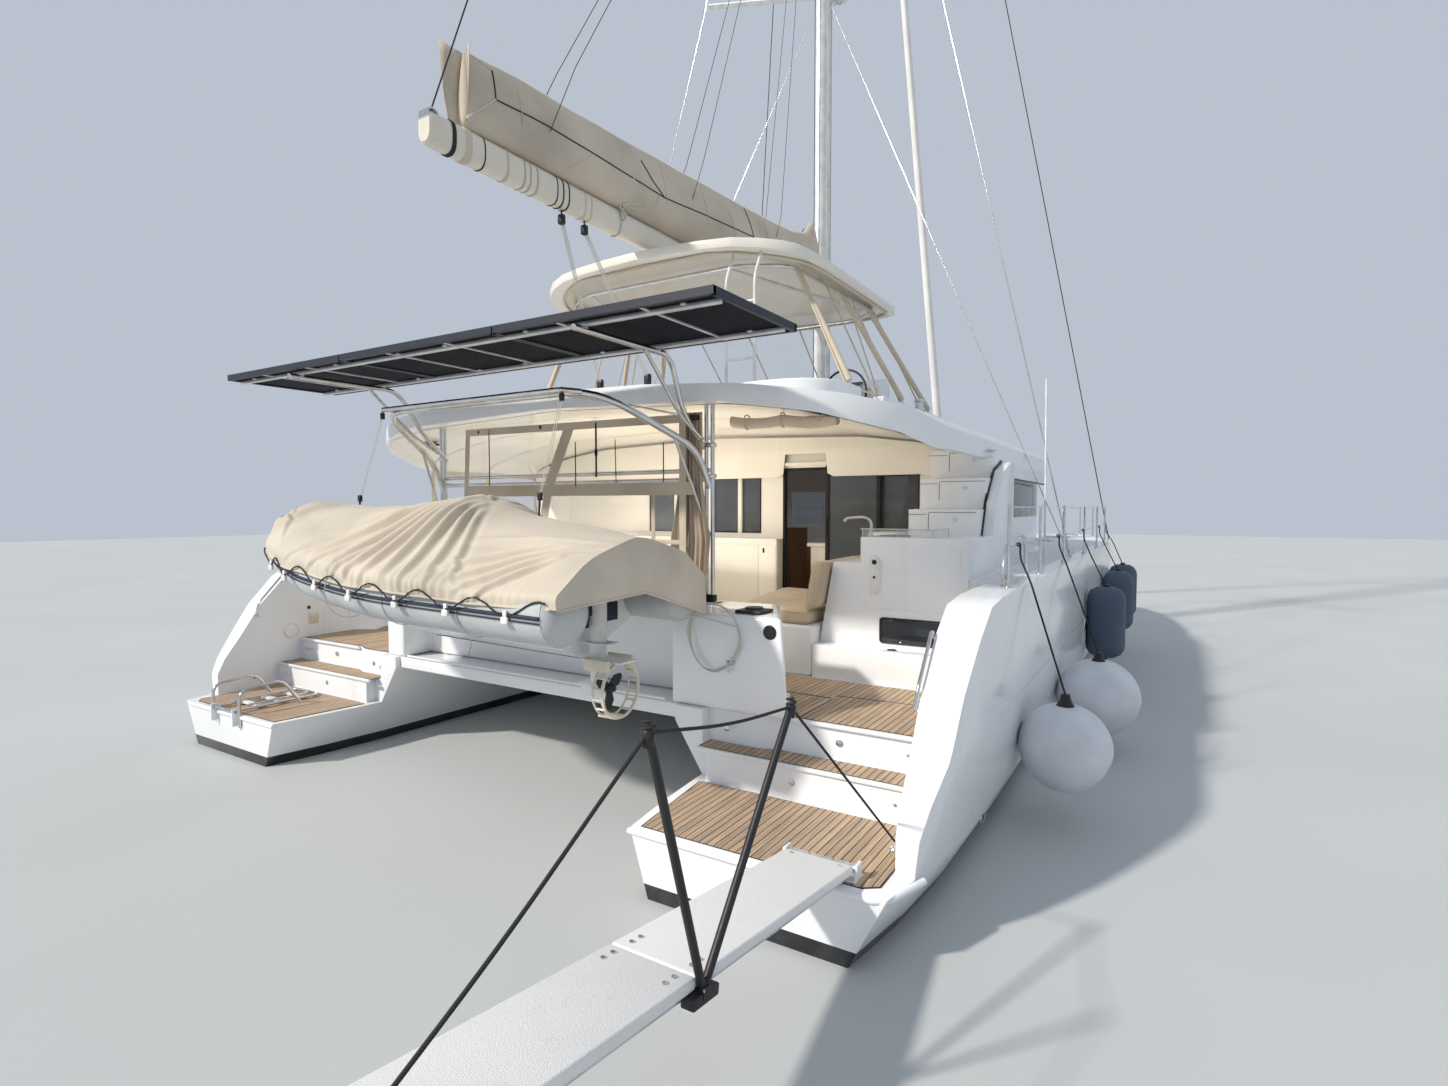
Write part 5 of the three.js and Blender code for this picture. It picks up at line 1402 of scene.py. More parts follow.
@dataclass
class Deckhouse(Assembly):
    """Roof, headliner, walls, tinted glass, the aft bulkhead with its doorway and the rooms behind it."""

    aft_face: float = -3.262
    upper: Outline = ((-3.4, 3.16), (-3.4, 2.9), (-3.1, 2.915), (-2.75, 2.96), (-1.66, 2.96), (-1.58, 3.0),
                      (-1.556, 3.25), (-0.998, 3.25), (-0.97, 3.0), (-0.89, 2.96), (3.3, 2.96), (3.4, 3.0),
                      (3.4, 3.16), (2.7, 3.33), (2.0, 3.43), (0.0, 3.5), (-2.0, 3.43), (-2.7, 3.33))
    cupboard: float = -3.5

    def build(self) -> None:
        """Builds the deckhouse from the roof down."""
        roof = self.rework("roof", WHITE, bevel=0.02, segments=3, angle=25)
        self.rework("saloon_walls", WHITE, bevel=0.008)
        self.rework("saloon_glass", SMOKED_SOLID, bevel=0.002)
        self.rework("aft_bulkhead", CREAM, bevel=0.02, segments=3)
        self.headliner(roof)
        self.bulkhead_trim()
        self.windows()
        self.door()
        self.eyebrow()
        self.interior()

    @staticmethod
    def soffit(roof: Piece, x: float, steps: int = 36) -> list[Point]:
        """A line across the underside of the roof, found on the roof itself and held 4 mm below it.

        Args:
            roof: The finished roof.
            x: The line's place along the boat.
            steps: How many parts it has.

        Returns:
            The points, from starboard to port.
        """

        def height(y: float) -> Optional[float]:
            """How high the underside is at one place, or nothing where the roof isn't overhead."""
            hit, place, normal, _ = roof.ray_cast(Vector((x, y, 2.75)), Vector((0, 0, 1)))
            return place.z - 0.004 if hit and place.z < 3.72 and normal.z < -0.3 else None

        half = next((0.02 * k for k in range(174, 80, -1) if height(0.02 * k) is not None), 2.0) - 0.05
        row = []
        for k in range(steps + 1):
            y = half * (2 * k / steps - 1)
            row.append((x, y, height(y) or 3.5))
        return row

    def headliner(self, roof: Piece) -> None:
        """Cream panels that follow the roof's underside, with joints between them, and round lamps; their
        cream is partly the panels' own colour and partly painted warm shade under the roof.

        Args:
            roof: The finished roof.
        """
        panels = []
        for x0, x1 in ((-6.4, -5.32), (-5.3, -4.3), (-4.28, -3.36)):
            panels.append(skin("panel", [self.soffit(roof, x0 + (x1 - x0) * i / 5) for i in range(6)],
                               closed=False, caps=False))
        # Cream rather than white: partly the panels' own colour, partly painted warm shade under the roof
        fitted("headliner", panels, CREAM)
        lamps = [lathe("lamp",
                       ((0.001, 0.004), (0.05, 0.004), (0.055, -0.004), (0.04, -0.012), (0.001, -0.012)),
                       (x, y, 3.49), Axis.Z, 20) for x in (-5.8, -4.6) for y in (-1.5, 0.0, 1.5)]
        fitted("headliner_lamps", lamps, STEEL)
        speaker = [lathe("speaker",
                         ((0.001, 0.0), (0.09, 0.0), (0.09, 0.016), (0.07, 0.02), (0.001, 0.012)),
                         (x, y, z - 0.02), Axis.Z, 28)
                   for x, y, z in ((-5.9, 2.55, 3.36), (-5.9, -2.55, 3.36))]
        fitted("headliner_speakers", speaker, BLACK)

    def bulkhead_trim(self) -> None:
        """The raised ivory pelmet over the windows, notched for the door, and the cupboard's fittings."""
        panel = slab("pelmet", self.upper, -3.342, 0.016, Axis.X, bevel=0.006, segments=3)
        fills = [slab("fill",
                      ((-0.86, 2.985), (3.32, 2.985), (3.32, 3.15), (2.7, 3.3), (2.0, 3.4), (0.0, 3.46),
                       (-0.86, 3.44)), -3.33, 0.07, Axis.X, bevel=0.004),
                 slab("fill", ((-3.32, 2.94), (-2.38, 2.985), (-2.38, 3.36), (-2.7, 3.31), (-3.32, 3.14)),
                      -3.33, 0.07, Axis.X, bevel=0.004)]
        fitted("bulkhead_panel", [panel, *fills], IVORY)
        lids = [slab("lid", [(y, z) for y, z in outline], self.cupboard - 0.008, 0.01, Axis.X,
                     bevel=0.004)
                for outline in (((-0.945, 1.02), (-0.72, 1.02), (-0.72, 2.1), (-0.945, 2.1)),
                                ((-0.7, 1.02), (0.35, 1.02), (0.35, 2.1), (-0.7, 2.1)),
                                ((0.37, 1.02), (1.42, 1.02), (1.42, 2.1), (0.37, 2.1)))]
        fitted("cupboard_doors", lids, CREAM)
        latches = [block("latch", (self.cupboard - 0.016, y - 0.012, 2.0),
                         (self.cupboard - 0.006, y + 0.012, 2.06), bevel=0.004) for y in (-0.78, 0.28, 0.44)]
        fitted("cupboard_latches", latches, BLACK)
        top = slab("cupboard_top",
                   ((-3.515, -0.96), (-3.32, -0.96), (-3.32, -0.885), (-3.262, -0.885), (-3.262, 1.465),
                    (-3.515, 1.465)), 2.165, 0.014, bevel=0.005, segments=3)
        dress(top, WHITE)

    def windows(self) -> None:
        """Smoked panes with black rounded frames in the bulkhead."""
        for side, (y0, y1, z0, z1) in (("starboard", (-2.7, -1.72, 2.31, 2.96)),
                                       ("port", (-0.6, 2.7, 2.25, 2.98))):
            self.rework(f"aft_window_{side}", SMOKED, bevel=0.001, segments=1)
            route = ((self.aft_face, y0, z0), (self.aft_face, y1, z0), (self.aft_face, y1, z1),
                     (self.aft_face, y0, z1))
            rim = tube("rim", route, 0.013, bend=0.1, closed=True)
            bars = []
            if side == "port":
                bars = [block("bar", (self.aft_face - 0.006, y - 0.014, z0),
                              (self.aft_face + 0.04, y + 0.014, z1), bevel=0.004) for y in (0.35, 1.5)]
            fitted(f"aft_window_{side}_rim", [rim, *bars], BLACK)
        x = self.aft_face
        walls = [slab("wall", ((y0, 2.23), (y1, 2.23), (y1, 3.0), (y0, 3.0)), x - 0.02, 0.03, Axis.X,
                      bevel=0.01, segments=3) for y0, y1 in ((1.22, 2.74), (0.14, 0.78))]
        walls += [block("post", (x - 0.014, -0.32, 2.24), (x + 0.03, -0.26, 2.97), 0.006),
                  block("grille", (x - 0.026, 1.66, 2.62), (x - 0.018, 2.1, 2.76), 0.004),
                  block("cap", (x - 0.026, 1.84, 2.42), (x - 0.018, 1.9, 2.5), 0.004)]
        fitted("bulkhead_wall_panels", walls, CREAM)

    def door(self) -> None:
        """The sliding leaf: smoked glass in a slim dark frame with a handle, and its tracks."""
        aft, fore, y0, y1, z0, z1 = -3.308, -3.268, -2.25, -1.54, 1.01, 3.1
        frame = [block("bar", (aft, *low), (fore, *high), 0.005)
                 for low, high in (((y0, z0), (y0 + 0.05, z1)), ((y1 - 0.05, z0), (y1, z1)),
                                   ((y0, z0), (y1, z0 + 0.07)), ((y0, z1 - 0.06), (y1, z1)))]
        frame.append(tube("handle",
                          ((aft, y1 - 0.03, 2.22), (aft - 0.022, y1 - 0.03, 2.22),
                           (aft - 0.022, y1 - 0.03, 2.44), (aft, y1 - 0.03, 2.44)), 0.006, bend=0.02))
        fitted("door_frame", frame, BLACK, "sliding_door", body="sliding_door")
        pane = block("door_glass", (-3.291, y0 + 0.04, z0 + 0.05), (-3.285, y1 - 0.04, z1 - 0.04),
                     bevel=0.001, segments=1)
        dress(pane, SMOKED, body="sliding_door")
        jambs = [block("jamb", (self.aft_face - 0.004, y, 1.0), (-3.19, y + 0.03, 3.08), 0.005)
                 for y in (-1.602, -0.958)]
        jambs.append(block("head", (self.aft_face - 0.004, -1.6, 3.05), (-3.19, -0.93, 3.08), 0.005))
        fitted("door_jambs", jambs, BLACK)

    def eyebrow(self) -> None:
        """A black line under the roof's edge above the side windows."""
        lines = [tube("line", ((-3.18, side * 3.537, 2.93), (0.28, side * 3.537, 2.925)), 0.011)
                 for side in (-1, 1)]
        fitted("brow_line", lines, BLACK)

    def interior(self) -> None:
        """Floor, galley, wardrobe and settee that show through the doorway and the panes."""
        dress(block("saloon_floor", (-3.18, -1.78, 0.972), (2.2, 1.78, 0.982), bevel=0.002), WOOD)
        wood = [block("wardrobe", (-2.95, -0.9, 0.985), (-2.45, -0.55, 2.3), 0.01),
                block("galley_front", (-1.9, -1.78, 0.985), (-0.9, -1.3, 2.05), 0.01),
                block("table", (-1.2, 0.6, 1.62), (0.3, 1.6, 1.67), 0.015),
                block("foot", (-0.6, 1.0, 0.985), (-0.3, 1.2, 1.62), 0.01),
                block("nav_desk", (0.9, -1.5, 0.985), (1.7, 1.2, 1.85), 0.02)]
        fitted("saloon_joinery", wood, WOOD)
        units = [block("worktop", (-3.08, -1.78, 2.07), (-1.9, -1.18, 2.12), 0.012),
                 block("front", (-3.05, -1.78, 0.99), (-1.92, -1.22, 2.08), 0.02)]
        fitted("galley_units", units, IVORY)
        settee = [block("seat", (-1.6, 1.3, 0.985), (0.6, 1.78, 1.4), 0.05, 4),
                  block("back", (-1.6, 1.66, 1.4), (0.6, 1.79, 1.85), 0.05, 4)]
        fitted("saloon_settee", settee, CUSHION)
        dress(block("saloon_ceiling", (-3.15, -1.78, 3.3), (1.0, 1.78, 3.32), 0.004), CREAM)


# How hard and for how many frames a cushion is blown up
PRESSURE = 4.0
CLOTH_FRAMES = 20


def swollen(piece: Piece, floor: float, cap: float, voxel: float) -> Piece:
    """Blows a closed pad up as cloth under pressure, its lift capped and its underside kept flat.

    Args:
        piece: A closed pad, a little smaller than the cushion.
        floor: The height of what it lies on.
        cap: The most that a point may move.
        voxel: The size of the mesh's squares before the cloth.

    Returns:
        The same piece, puffed and smoothed.
    """
    modify(piece, "REMESH", mode="VOXEL", voxel_size=voxel, use_smooth_shade=True)
    rest = [vertex.co.copy() for vertex in piece.data.vertices]
    pick(piece)
    bpy.ops.object.modifier_add(type="CLOTH")
    cloth = piece.modifiers[-1]
    cloth.settings.use_pressure = True
    cloth.settings.uniform_pressure_force = PRESSURE
    cloth.settings.effector_weights.gravity = 0.0
    cloth.point_cache.frame_start = 1
    cloth.point_cache.frame_end = CLOTH_FRAMES
    for i in range(1, CLOTH_FRAMES + 1):
        bpy.context.scene.frame_set(i)
    bpy.ops.object.modifier_apply(modifier=cloth.name)
    bpy.context.scene.frame_set(1)
    for vertex, start in zip(piece.data.vertices, rest):
        move = vertex.co - start
        if move.length > cap:
            vertex.co = start + move.normalized() * cap
    for vertex in piece.data.vertices:
        vertex.co.z = max(vertex.co.z, floor)
    modify(piece, "SUBSURF", levels=1, render_levels=1)
    for vertex in piece.data.vertices:
        vertex.co.z = max(vertex.co.z, floor)
    return smoothed(piece, 80)


def piping(name: str, piece: Piece, route: Sequence[Point], radius: float = 0.005) -> Piece:
    """A corded seam that follows a route on the skin of a cushion.

    Args:
        name: The seam's name.
        piece: The cushion.
        route: Corners of the seam, near the skin.
        radius: The seam's radius.

    Returns:
        The finished piece.
    """
    path = bent([*route, route[0]], 0.05, 4)
    steps: list[Point] = []
    for a, b in zip(path, path[1:]):
        parts = max(1, round((b - a).length / 0.05))
        steps += [tuple(piece.closest_point_on_mesh(a.lerp(b, i / parts))[1]) for i in range(parts)]
    return tube(name, steps, radius, detail=2, closed=True)


@dataclass
class Cockpit(Assembly):
    """Side mouldings, stair, lounge and settee with their cushions, the table and the small fittings."""

    voxel: float = 0.022
    cap: float = 0.022
    galley_aft: float = -5.25

    def build(self) -> None:
        """Builds the mouldings first and then what lies on them."""
        self.rework("galley_moulding", WHITE, bevel=0.03, segments=3, angle=50, moved=self.leaning)
        self.rework("port_moulding", WHITE, bevel=0.03, segments=3, angle=50)
        self.rework("lounge_base", WHITE, bevel=0.035, segments=4)
        self.rework("port_settee", WHITE, bevel=0.035, segments=4)
        self.rework("cockpit_table", IVORY, bevel=0.016, segments=3)
        self.cushions()
        self.galley_fittings()
        self.stair_fittings()
        self.lockers()

    @staticmethod
    def leaning(corner: Vector) -> Vector:
        """Where a corner of the galley moulding belongs: its side behind the lounge leans outwards.

        Args:
            corner: A corner of the solid.

        Returns:
            The corner's finished place.
        """
        if abs(corner.y + 2.35) < 0.01 and abs(corner.z - 2.06) < 0.01:
            return Vector((corner.x, -2.49, corner.z))
        return corner

    def cushion(self, name: str, outline: Outline, low: float, high: float, *nodes: str) -> None:
        """A seat cushion on an outline, with piping along its upper and lower edge.

        Args:
            name: The cushion's name.
            outline: Its corners.
            low: The height of what it lies on.
            high: The height of its top.
            nodes: CAD nodes that it replaces.
        """
        middle = Vector((sum(p[0] for p in outline), sum(p[1] for p in outline))) / len(outline)
        inner = [tuple(Vector(p) + (middle - Vector(p)).normalized() * 0.022) for p in outline]
        pad = slab(name, inner, low, high - low - 0.012, bevel=0.03, segments=3)
        swollen(pad, low, self.cap, self.voxel)
        edge = [(*p, high - 0.02) for p in inner]
        foot = [(*p, low + 0.02) for p in inner]
        fitted(f"{name}_piping", [piping("top", pad, edge), piping("foot", pad, foot)], PIPING)
        dress(pad, CUSHION, *nodes)

    def back_cushion(self, name: str, x0: float, x1: float, y0: float, y1: float, z0: float, z1: float,
                     lean: float, *nodes: str) -> None:
        """A back cushion whose top leans outwards, with piping round its face.

        Args:
            name: The cushion's name.
            x0: Its after end.
            x1: Its fore end.
            y0: Its outer face at the foot.
            y1: Its inner face at the foot.
            z0: The height of its foot.
            z1: The height of its top.
            lean: How far its top is moved across.
            nodes: CAD nodes that it replaces.
        """
        pad = slab(name, ((y0, z0), (y1, z0), (y1 + lean, z1), (y0 + lean, z1)), x0, x1 - x0, Axis.X,
                   bevel=0.03, segments=3)
        swollen(pad, z0, self.cap * 0.6, self.voxel * 0.8)
        face = y1 if abs(y1) < abs(y0) else y0
        high = face + lean
        route = [(x0 + 0.02, face, z0 + 0.03), (x1 - 0.02, face, z0 + 0.03), (x1 - 0.02, high, z1 - 0.03),
                 (x0 + 0.02, high, z1 - 0.03)]
        dress(piping(f"{name}_piping", pad, route), PIPING)
        dress(pad, CUSHION, *nodes)

    def cushions(self) -> None:
        """Every cushion in the cockpit."""
        self.cushion("lounge_cushion_aft",
                     ((-5.45, -2.33), (-4.52, -2.33), (-4.52, -1.235), (-5.17, -1.335), (-5.365, -1.49),
                      (-5.45, -1.7)), 1.451, 1.6, "lounge_cushion")
        self.cushion("lounge_cushion_fore",
                     ((-4.5, -2.33), (-3.63, -2.33), (-3.63, -1.085), (-4.5, -1.23)), 1.451, 1.6)
        self.back_cushion("lounge_back_aft", -5.39, -4.53, -2.37, -2.24, 1.61, 2.07, -0.08, "lounge_back")
        self.back_cushion("lounge_back_fore", -4.5, -3.65, -2.37, -2.24, 1.61, 2.07, -0.08)
        self.cushion("settee_cushion_aft", ((-5.79, 1.53), (-4.76, 1.53), (-4.76, 2.17), (-5.79, 2.17)),
                     1.331, 1.44, "settee_cushion")
        self.cushion("settee_cushion_fore",
                     ((-4.74, 1.53), (-3.69, 1.53), (-3.69, 2.17), (-4.74, 2.17)), 1.331, 1.44)

    def galley_fittings(self) -> None:
        """Window, lamp, shower, bare place for a name, rim, guard and tap of the starboard moulding's end."""
        x = self.galley_aft
        pane = slab("galley_window", ((-3.62, 1.34), (-2.97, 1.34), (-2.97, 1.545), (-3.62, 1.545)),
                    x - 0.006, 0.008, Axis.X, bevel=0.002)
        dress(pane, HULL_GLASS)
        route = [(x - 0.004, y, z) for y, z in ((-3.63, 1.33), (-2.96, 1.33), (-2.96, 1.555), (-3.63, 1.555))]
        dress(tube("galley_window_rim", route, 0.01, bend=0.03, closed=True), BLACK)
        lamp = lathe("ledge_lamp",
                     ((0.001, 0.0), (0.045, 0.0), (0.05, 0.004), (0.03, 0.012), (0.001, 0.012)),
                     (x - 0.09, -3.1, 1.281))
        dress(lamp, STEEL)
        oval = [(-2.9 + 0.048 * math.cos(a),
                 1.95 + (0.135 if math.sin(a) > 0 else -0.135) + 0.048 * math.sin(a))
                for a in (math.pi * i / 10 for i in range(20))]
        shower = slab("shower", oval, x - 0.018, 0.02, Axis.X, bevel=0.006, segments=3)
        dress(shower, WHITE_PLASTIC)
        caps = [lathe("cap", ((0.001, -0.01), (r, -0.01), (r * 1.3, 0.0), (0.001, 0.004)),
                      (x - 0.018, -2.9, z), Axis.X) for r, z in ((0.018, 2.07), (0.01, 1.93))]
        fitted("shower_caps", caps, BLACK)
        place = slab("name_place", ((-3.68, 1.63), (-2.8, 1.63), (-2.8, 2.2), (-3.68, 2.2)), x - 0.004,
                     0.006, Axis.X, bevel=0.003)
        dress(place, WHITE)
        inset = slab("galley_inset", ((-3.66, 1.0), (-3.05, 1.0), (-2.95, 1.22), (-3.66, 1.22)),
                     x - 0.003, 0.004, Axis.X, bevel=0.002)
        dress(inset, DECK_GRIP)
        rim = [tube("rim", ((-5.2, -2.74, 2.375), (-5.2, -3.45, 2.375), (-4.75, -3.45, 2.375)), 0.006,
                    bend=0.1)]
        rim += [tube("post", ((px, py, 2.3), (px, py, 2.375)), 0.006)
                for px, py in ((-5.2, -2.76), (-5.2, -3.1), (-5.18, -3.42), (-4.78, -3.45))]
        fitted("counter_rail", rim, STEEL)
        bend = ((-5.2, -2.76), (-5.2, -3.36), (-5.17, -3.43), (-5.1, -3.45), (-4.75, -3.45))
        guard = skin("counter_guard", [[(px, py, z) for px, py in bend] for z in (2.301, 2.368)],
                     closed=False, caps=False)
        dress(modify(guard, "SOLIDIFY", thickness=0.004), VINYL_STIFF)
        tap = tube("tap",
                   ((-4.95, -2.75, 2.3), (-4.95, -2.75, 2.45), (-4.95, -2.67, 2.485), (-4.95, -2.5, 2.47),
                    (-4.95, -2.47, 2.44)), 0.013, bend=0.05)
        fitted("tap",
               [tap,
                lathe("base", ((0.001, 0), (0.03, 0), (0.022, 0.03), (0.001, 0.05)),
                      (-4.95, -2.75, 2.3))], STEEL)
        basin = lathe("basin", ((0.15, 0.004), (0.172, 0.004), (0.175, 0.0), (0.15, 0.0)),
                      (-4.98, -3.0, 2.3), Axis.Z, 32)
        dress(basin, STEEL)
        dress(lathe("basin_lid",
                    ((0.001, 0.014), (0.14, 0.012), (0.148, 0.006), (0.148, 0.001), (0.001, 0.001)),
                    (-4.98, -3.0, 2.302), sides=32), BLACK)

    def stair_fittings(self) -> None:
        """Treads, riser panels, step lights and the black edge of the stair that climbs to the flybridge."""
        rise = (3.25 - 2.3) / 3
        treads, lights, seams = [], [], []
        for i in range(3):
            x, z = -4.45 + i * 0.38, 2.3 + rise * (i + 1) - 0.06
            treads.append(block("tread", (x + 0.03, -3.6, z), (x + 0.33, -3.0, z + 0.004),
                                bevel=0.001, segments=1))
            lights.append(lathe("light", ((0.001, -0.004), (0.02, -0.004), (0.024, 0.002), (0.001, 0.002)),
                                (x, -3.42, z - 0.1), Axis.X, 16))
            seams.append(tube("seam",
                              ((x - 0.001, -3.62, z - 0.03), (x - 0.001, -3.16, z - 0.03),
                               (x - 0.001, -3.16, z - 0.22)), 0.0025, bend=0.02, detail=1))
            seams.append(tube("seam", ((x - 0.001, -3.14, z - 0.05), (x - 0.001, -2.92, z - 0.05)),
                              0.0025, detail=1))
        fitted("stair_treads", treads, DECK_GRIP)
        fitted("stair_lights", lights, STEEL)
        route = [(x, -3.64, z)
                 for x, z in ((-4.35, 1.97), (-4.352, 2.2), (-4.15, 2.63), (-3.8, 2.96), (-3.45, 3.07))]
        fitted("stair_edge", [tube("edge", route, 0.016, bend=0.15), *seams], BLACK)
        slot = block("cheek_slot", (-4.08, -3.652, 2.36), (-4.06, -3.644, 2.46), 0.003)
        dress(slot, BLACK)

    def lockers(self) -> None:
        """Doors in the faces of the mouldings."""
        doors = [slab("door", ((x0, z0), (-4.6, z0), (-4.6, z1), (x0, z1)), y, 0.006, Axis.Y, bevel=0.002)
                 for x0, z0, z1, y in ((-5.2, 1.05, 1.28, -2.34), (-5.4, 1.02, 1.27, 1.494))]
        fitted("locker_doors", doors, WHITE)


@dataclass
class Flybridge(Assembly):
    """Coaming and seats on the roof, helm, rigid bimini on its frame, clear curtains and the ladder frame."""

    ring_z: float = 5.225

    def build(self) -> None:
        """Builds the upper deck."""
        self.rework("flybridge_coaming", WHITE, bevel=0.035, segments=4, angle=40)
        self.rework("helm_console", WHITE, bevel=0.03, segments=3)
        self.liner(self.rework("bimini", CREAM, bevel=0.012, segments=2, angle=40))
        self.wheel()
        self.canopy_frame()
        self.curtains()
        self.ladder_frame()
        self.seats_and_screens()

    @staticmethod
    def liner(top: Piece) -> None:
        """The tan moulded liner under the canopy, its darker tan partly its own colour and partly painted
        shade, and the rail that runs round inside its rim.

        Args:
            top: The finished canopy.
        """
        rows, rail = [], []
        steps, across_steps = 40, 16
        widest, margin, roundness = 1.95, 0.1, 2.3
        for i in range(steps + 1):
            x = -5.0 + 3.6 * i / steps
            aft, fore = min(1.0, (x + 5.15) / 1.25), min(1.0, (-1.25 - x) / 0.9)
            half = (widest * (1 - (1 - aft) ** roundness) ** 0.5 * (1 - (1 - fore) ** roundness) ** 0.5
                    - margin)
            row = []
            for j in range(across_steps + 1):
                y = half * (2 * j / across_steps - 1)
                hit, place, _, _ = top.ray_cast(Vector((x, y, 4.9)), Vector((0, 0, 1)))
                row.append((x, y, (place.z if hit else 5.25) - 0.005))
            rows.append(row)
            rail.append((row[0], row[-1]))
        # The liner's darker tan is partly painted shade under the canopy
        dress(skin("canopy_liner", rows, closed=False, caps=False), SHADED_LINER)
        edge = [a for a, _ in rail] + [b for _, b in reversed(rail)]
        dress(tube("canopy_rail", [(x, y, z - 0.012) for x, y, z in edge], 0.016, detail=2,
                   closed=True), CURTAIN_CLOTH)

    def wheel(self) -> None:
        """The wheel: a leather-bound rim on five polished spokes."""
        x, y, z, radius = -1.145, -0.9, 4.33, 0.34
        rim = tube("wheel_rim", circle((x, y, z), radius, Axis.X, 48), 0.017, detail=4, closed=True)
        dress(rim, BLACK, "helm_wheel", body="helm_wheel")
        spokes = []
        for i in range(5):
            a = 2 * math.pi * i / 5
            tip = (x, y + (radius - 0.01) * math.sin(a), z + (radius - 0.01) * math.cos(a))
            spokes.append(tube("spoke", ((x, y, z), tip), 0.01))
        hub = lathe("hub",
                    ((0.001, -0.03), (0.03, -0.03), (0.045, -0.015), (0.045, 0.02), (0.022, 0.03),
                     (0.0135, 0.06)), (x, y, z), Axis.X)
        fitted("wheel_spokes", [*spokes, hub], STEEL, body="helm_wheel")

    def half_width(self, x: float) -> float:
        """How far the canopy's ring is from the centreline at a place along it."""
        return 1.7 - (-2.1 - x) * 0.1 / 2.3

    def canopy_frame(self) -> None:
        """The tube ring under the bimini and its slanted padded legs."""
        ring = []
        for side in (-1, 1):
            route = [(x, side * y, self.ring_z)
                     for x, y in ((-1.8, 0), (-1.8, 1.35), (-2.1, 1.7), (-4.4, 1.6), (-4.7, 1.1), (-4.7, 0))]
            ring.append(tube("ring", route, 0.024, bend=0.16, detail=4))
            ring += [tube("pad", [(x, side * self.half_width(x), z) for z in (self.ring_z, 5.31)], 0.03)
                     for x in (-3.7, -2.55)]
        fitted("canopy_ring", ring, STEEL, "bimini_frame")
        legs, feet = [], []
        for top, x, y in ((-2.3, -1.5, 2.285), (-3.1, -2.65, 2.285), (-4.25, -4.35, 2.27)):
            for side in (-1, 1):
                legs.append(tube("leg", ((top, side * self.half_width(top), 5.22), (x, side * y, 3.93)),
                                 0.034, detail=4))
                feet.append(tube("foot", ((x, side * y, 3.94), (x, side * y, 3.875)), 0.022, detail=4))
                feet.append(lathe("plate", ((0.001, 0), (0.045, 0), (0.04, 0.01), (0.001, 0.014)),
                                  (x, side * y, 3.871)))
        fitted("canopy_legs", legs, CURTAIN_CLOTH)
        fitted("canopy_feet", feet, STEEL)
        cross = [tube("cross", ((-4.7, side * 1.0, 5.2), (-3.1, side * 1.62, 5.12)), 0.018)
                 for side in (-1, 1)]
        fitted("canopy_braces", cross, STEEL)

    def curtains(self) -> None:
        """Clear panels that hang from the canopy's ring to the coaming, with tan bound edges."""
        head, foot = 5.2, 3.885
        steps, across_steps, ripple_high = 8, 12, 0.012
        panels = {
            "side_starboard": ((-4.3, -1.63), (-2.15, -1.72), (-1.62, -2.24), (-4.38, -2.24)),
            "side_port": ((-4.3, 1.63), (-2.15, 1.72), (-1.62, 2.24), (-4.38, 2.24)),
            "front": ((-1.78, -1.3), (-1.78, 1.3), (-0.3, 1.3), (-0.3, -1.3)),
        }
        for name, (top_a, top_b, foot_b, foot_a) in panels.items():
            rows = []
            for i in range(steps + 1):
                t = i / steps
                row = []
                for j in range(across_steps + 1):
                    s = j / across_steps
                    high = Vector((*top_a, head)).lerp(Vector((*top_b, head)), s)
                    low = Vector((*foot_a, foot)).lerp(Vector((*foot_b, foot)), s)
                    ripple = ripple_high * math.sin(9 * s + 3 * t) * math.sin(math.pi * t)
                    place = high.lerp(low, t)
                    row.append((place.x + ripple, place.y + ripple, place.z))
                rows.append(row)
            sheet = skin(f"canopy_curtain_{name}", rows, closed=False, caps=False)
            dress(modify(sheet, "SOLIDIFY", thickness=0.0015), VINYL)
            edge = [rows[0][0], rows[0][-1], rows[-1][-1], rows[-1][0]]
            binding = tube(f"canopy_curtain_{name}_binding", edge, 0.012, closed=True)
            bars = [tube("bar", (rows[0][j], rows[-1][j]), 0.01) for j in (4, 8)]
            binding = joined(f"canopy_curtain_{name}_binding", [binding, *bars])
            dress(binding, CURTAIN_CLOTH)

    def ladder_frame(self) -> None:
        """The white ladder frame that leans between the after seat and the canopy."""
        rails = [tube("rail", ((-4.95, y, 3.88), (-4.95, y, 5.0), (-4.8, y, 5.3)), 0.017, bend=0.1)
                 for y in (-1.45, -1.1)]
        rungs = [tube("rung", ((-4.95, -1.45, z), (-4.95, -1.1, z)), 0.012) for z in (4.15, 4.45, 4.75)]
        fitted("fly_ladder", [*rails, *rungs], WHITE_TUBE)

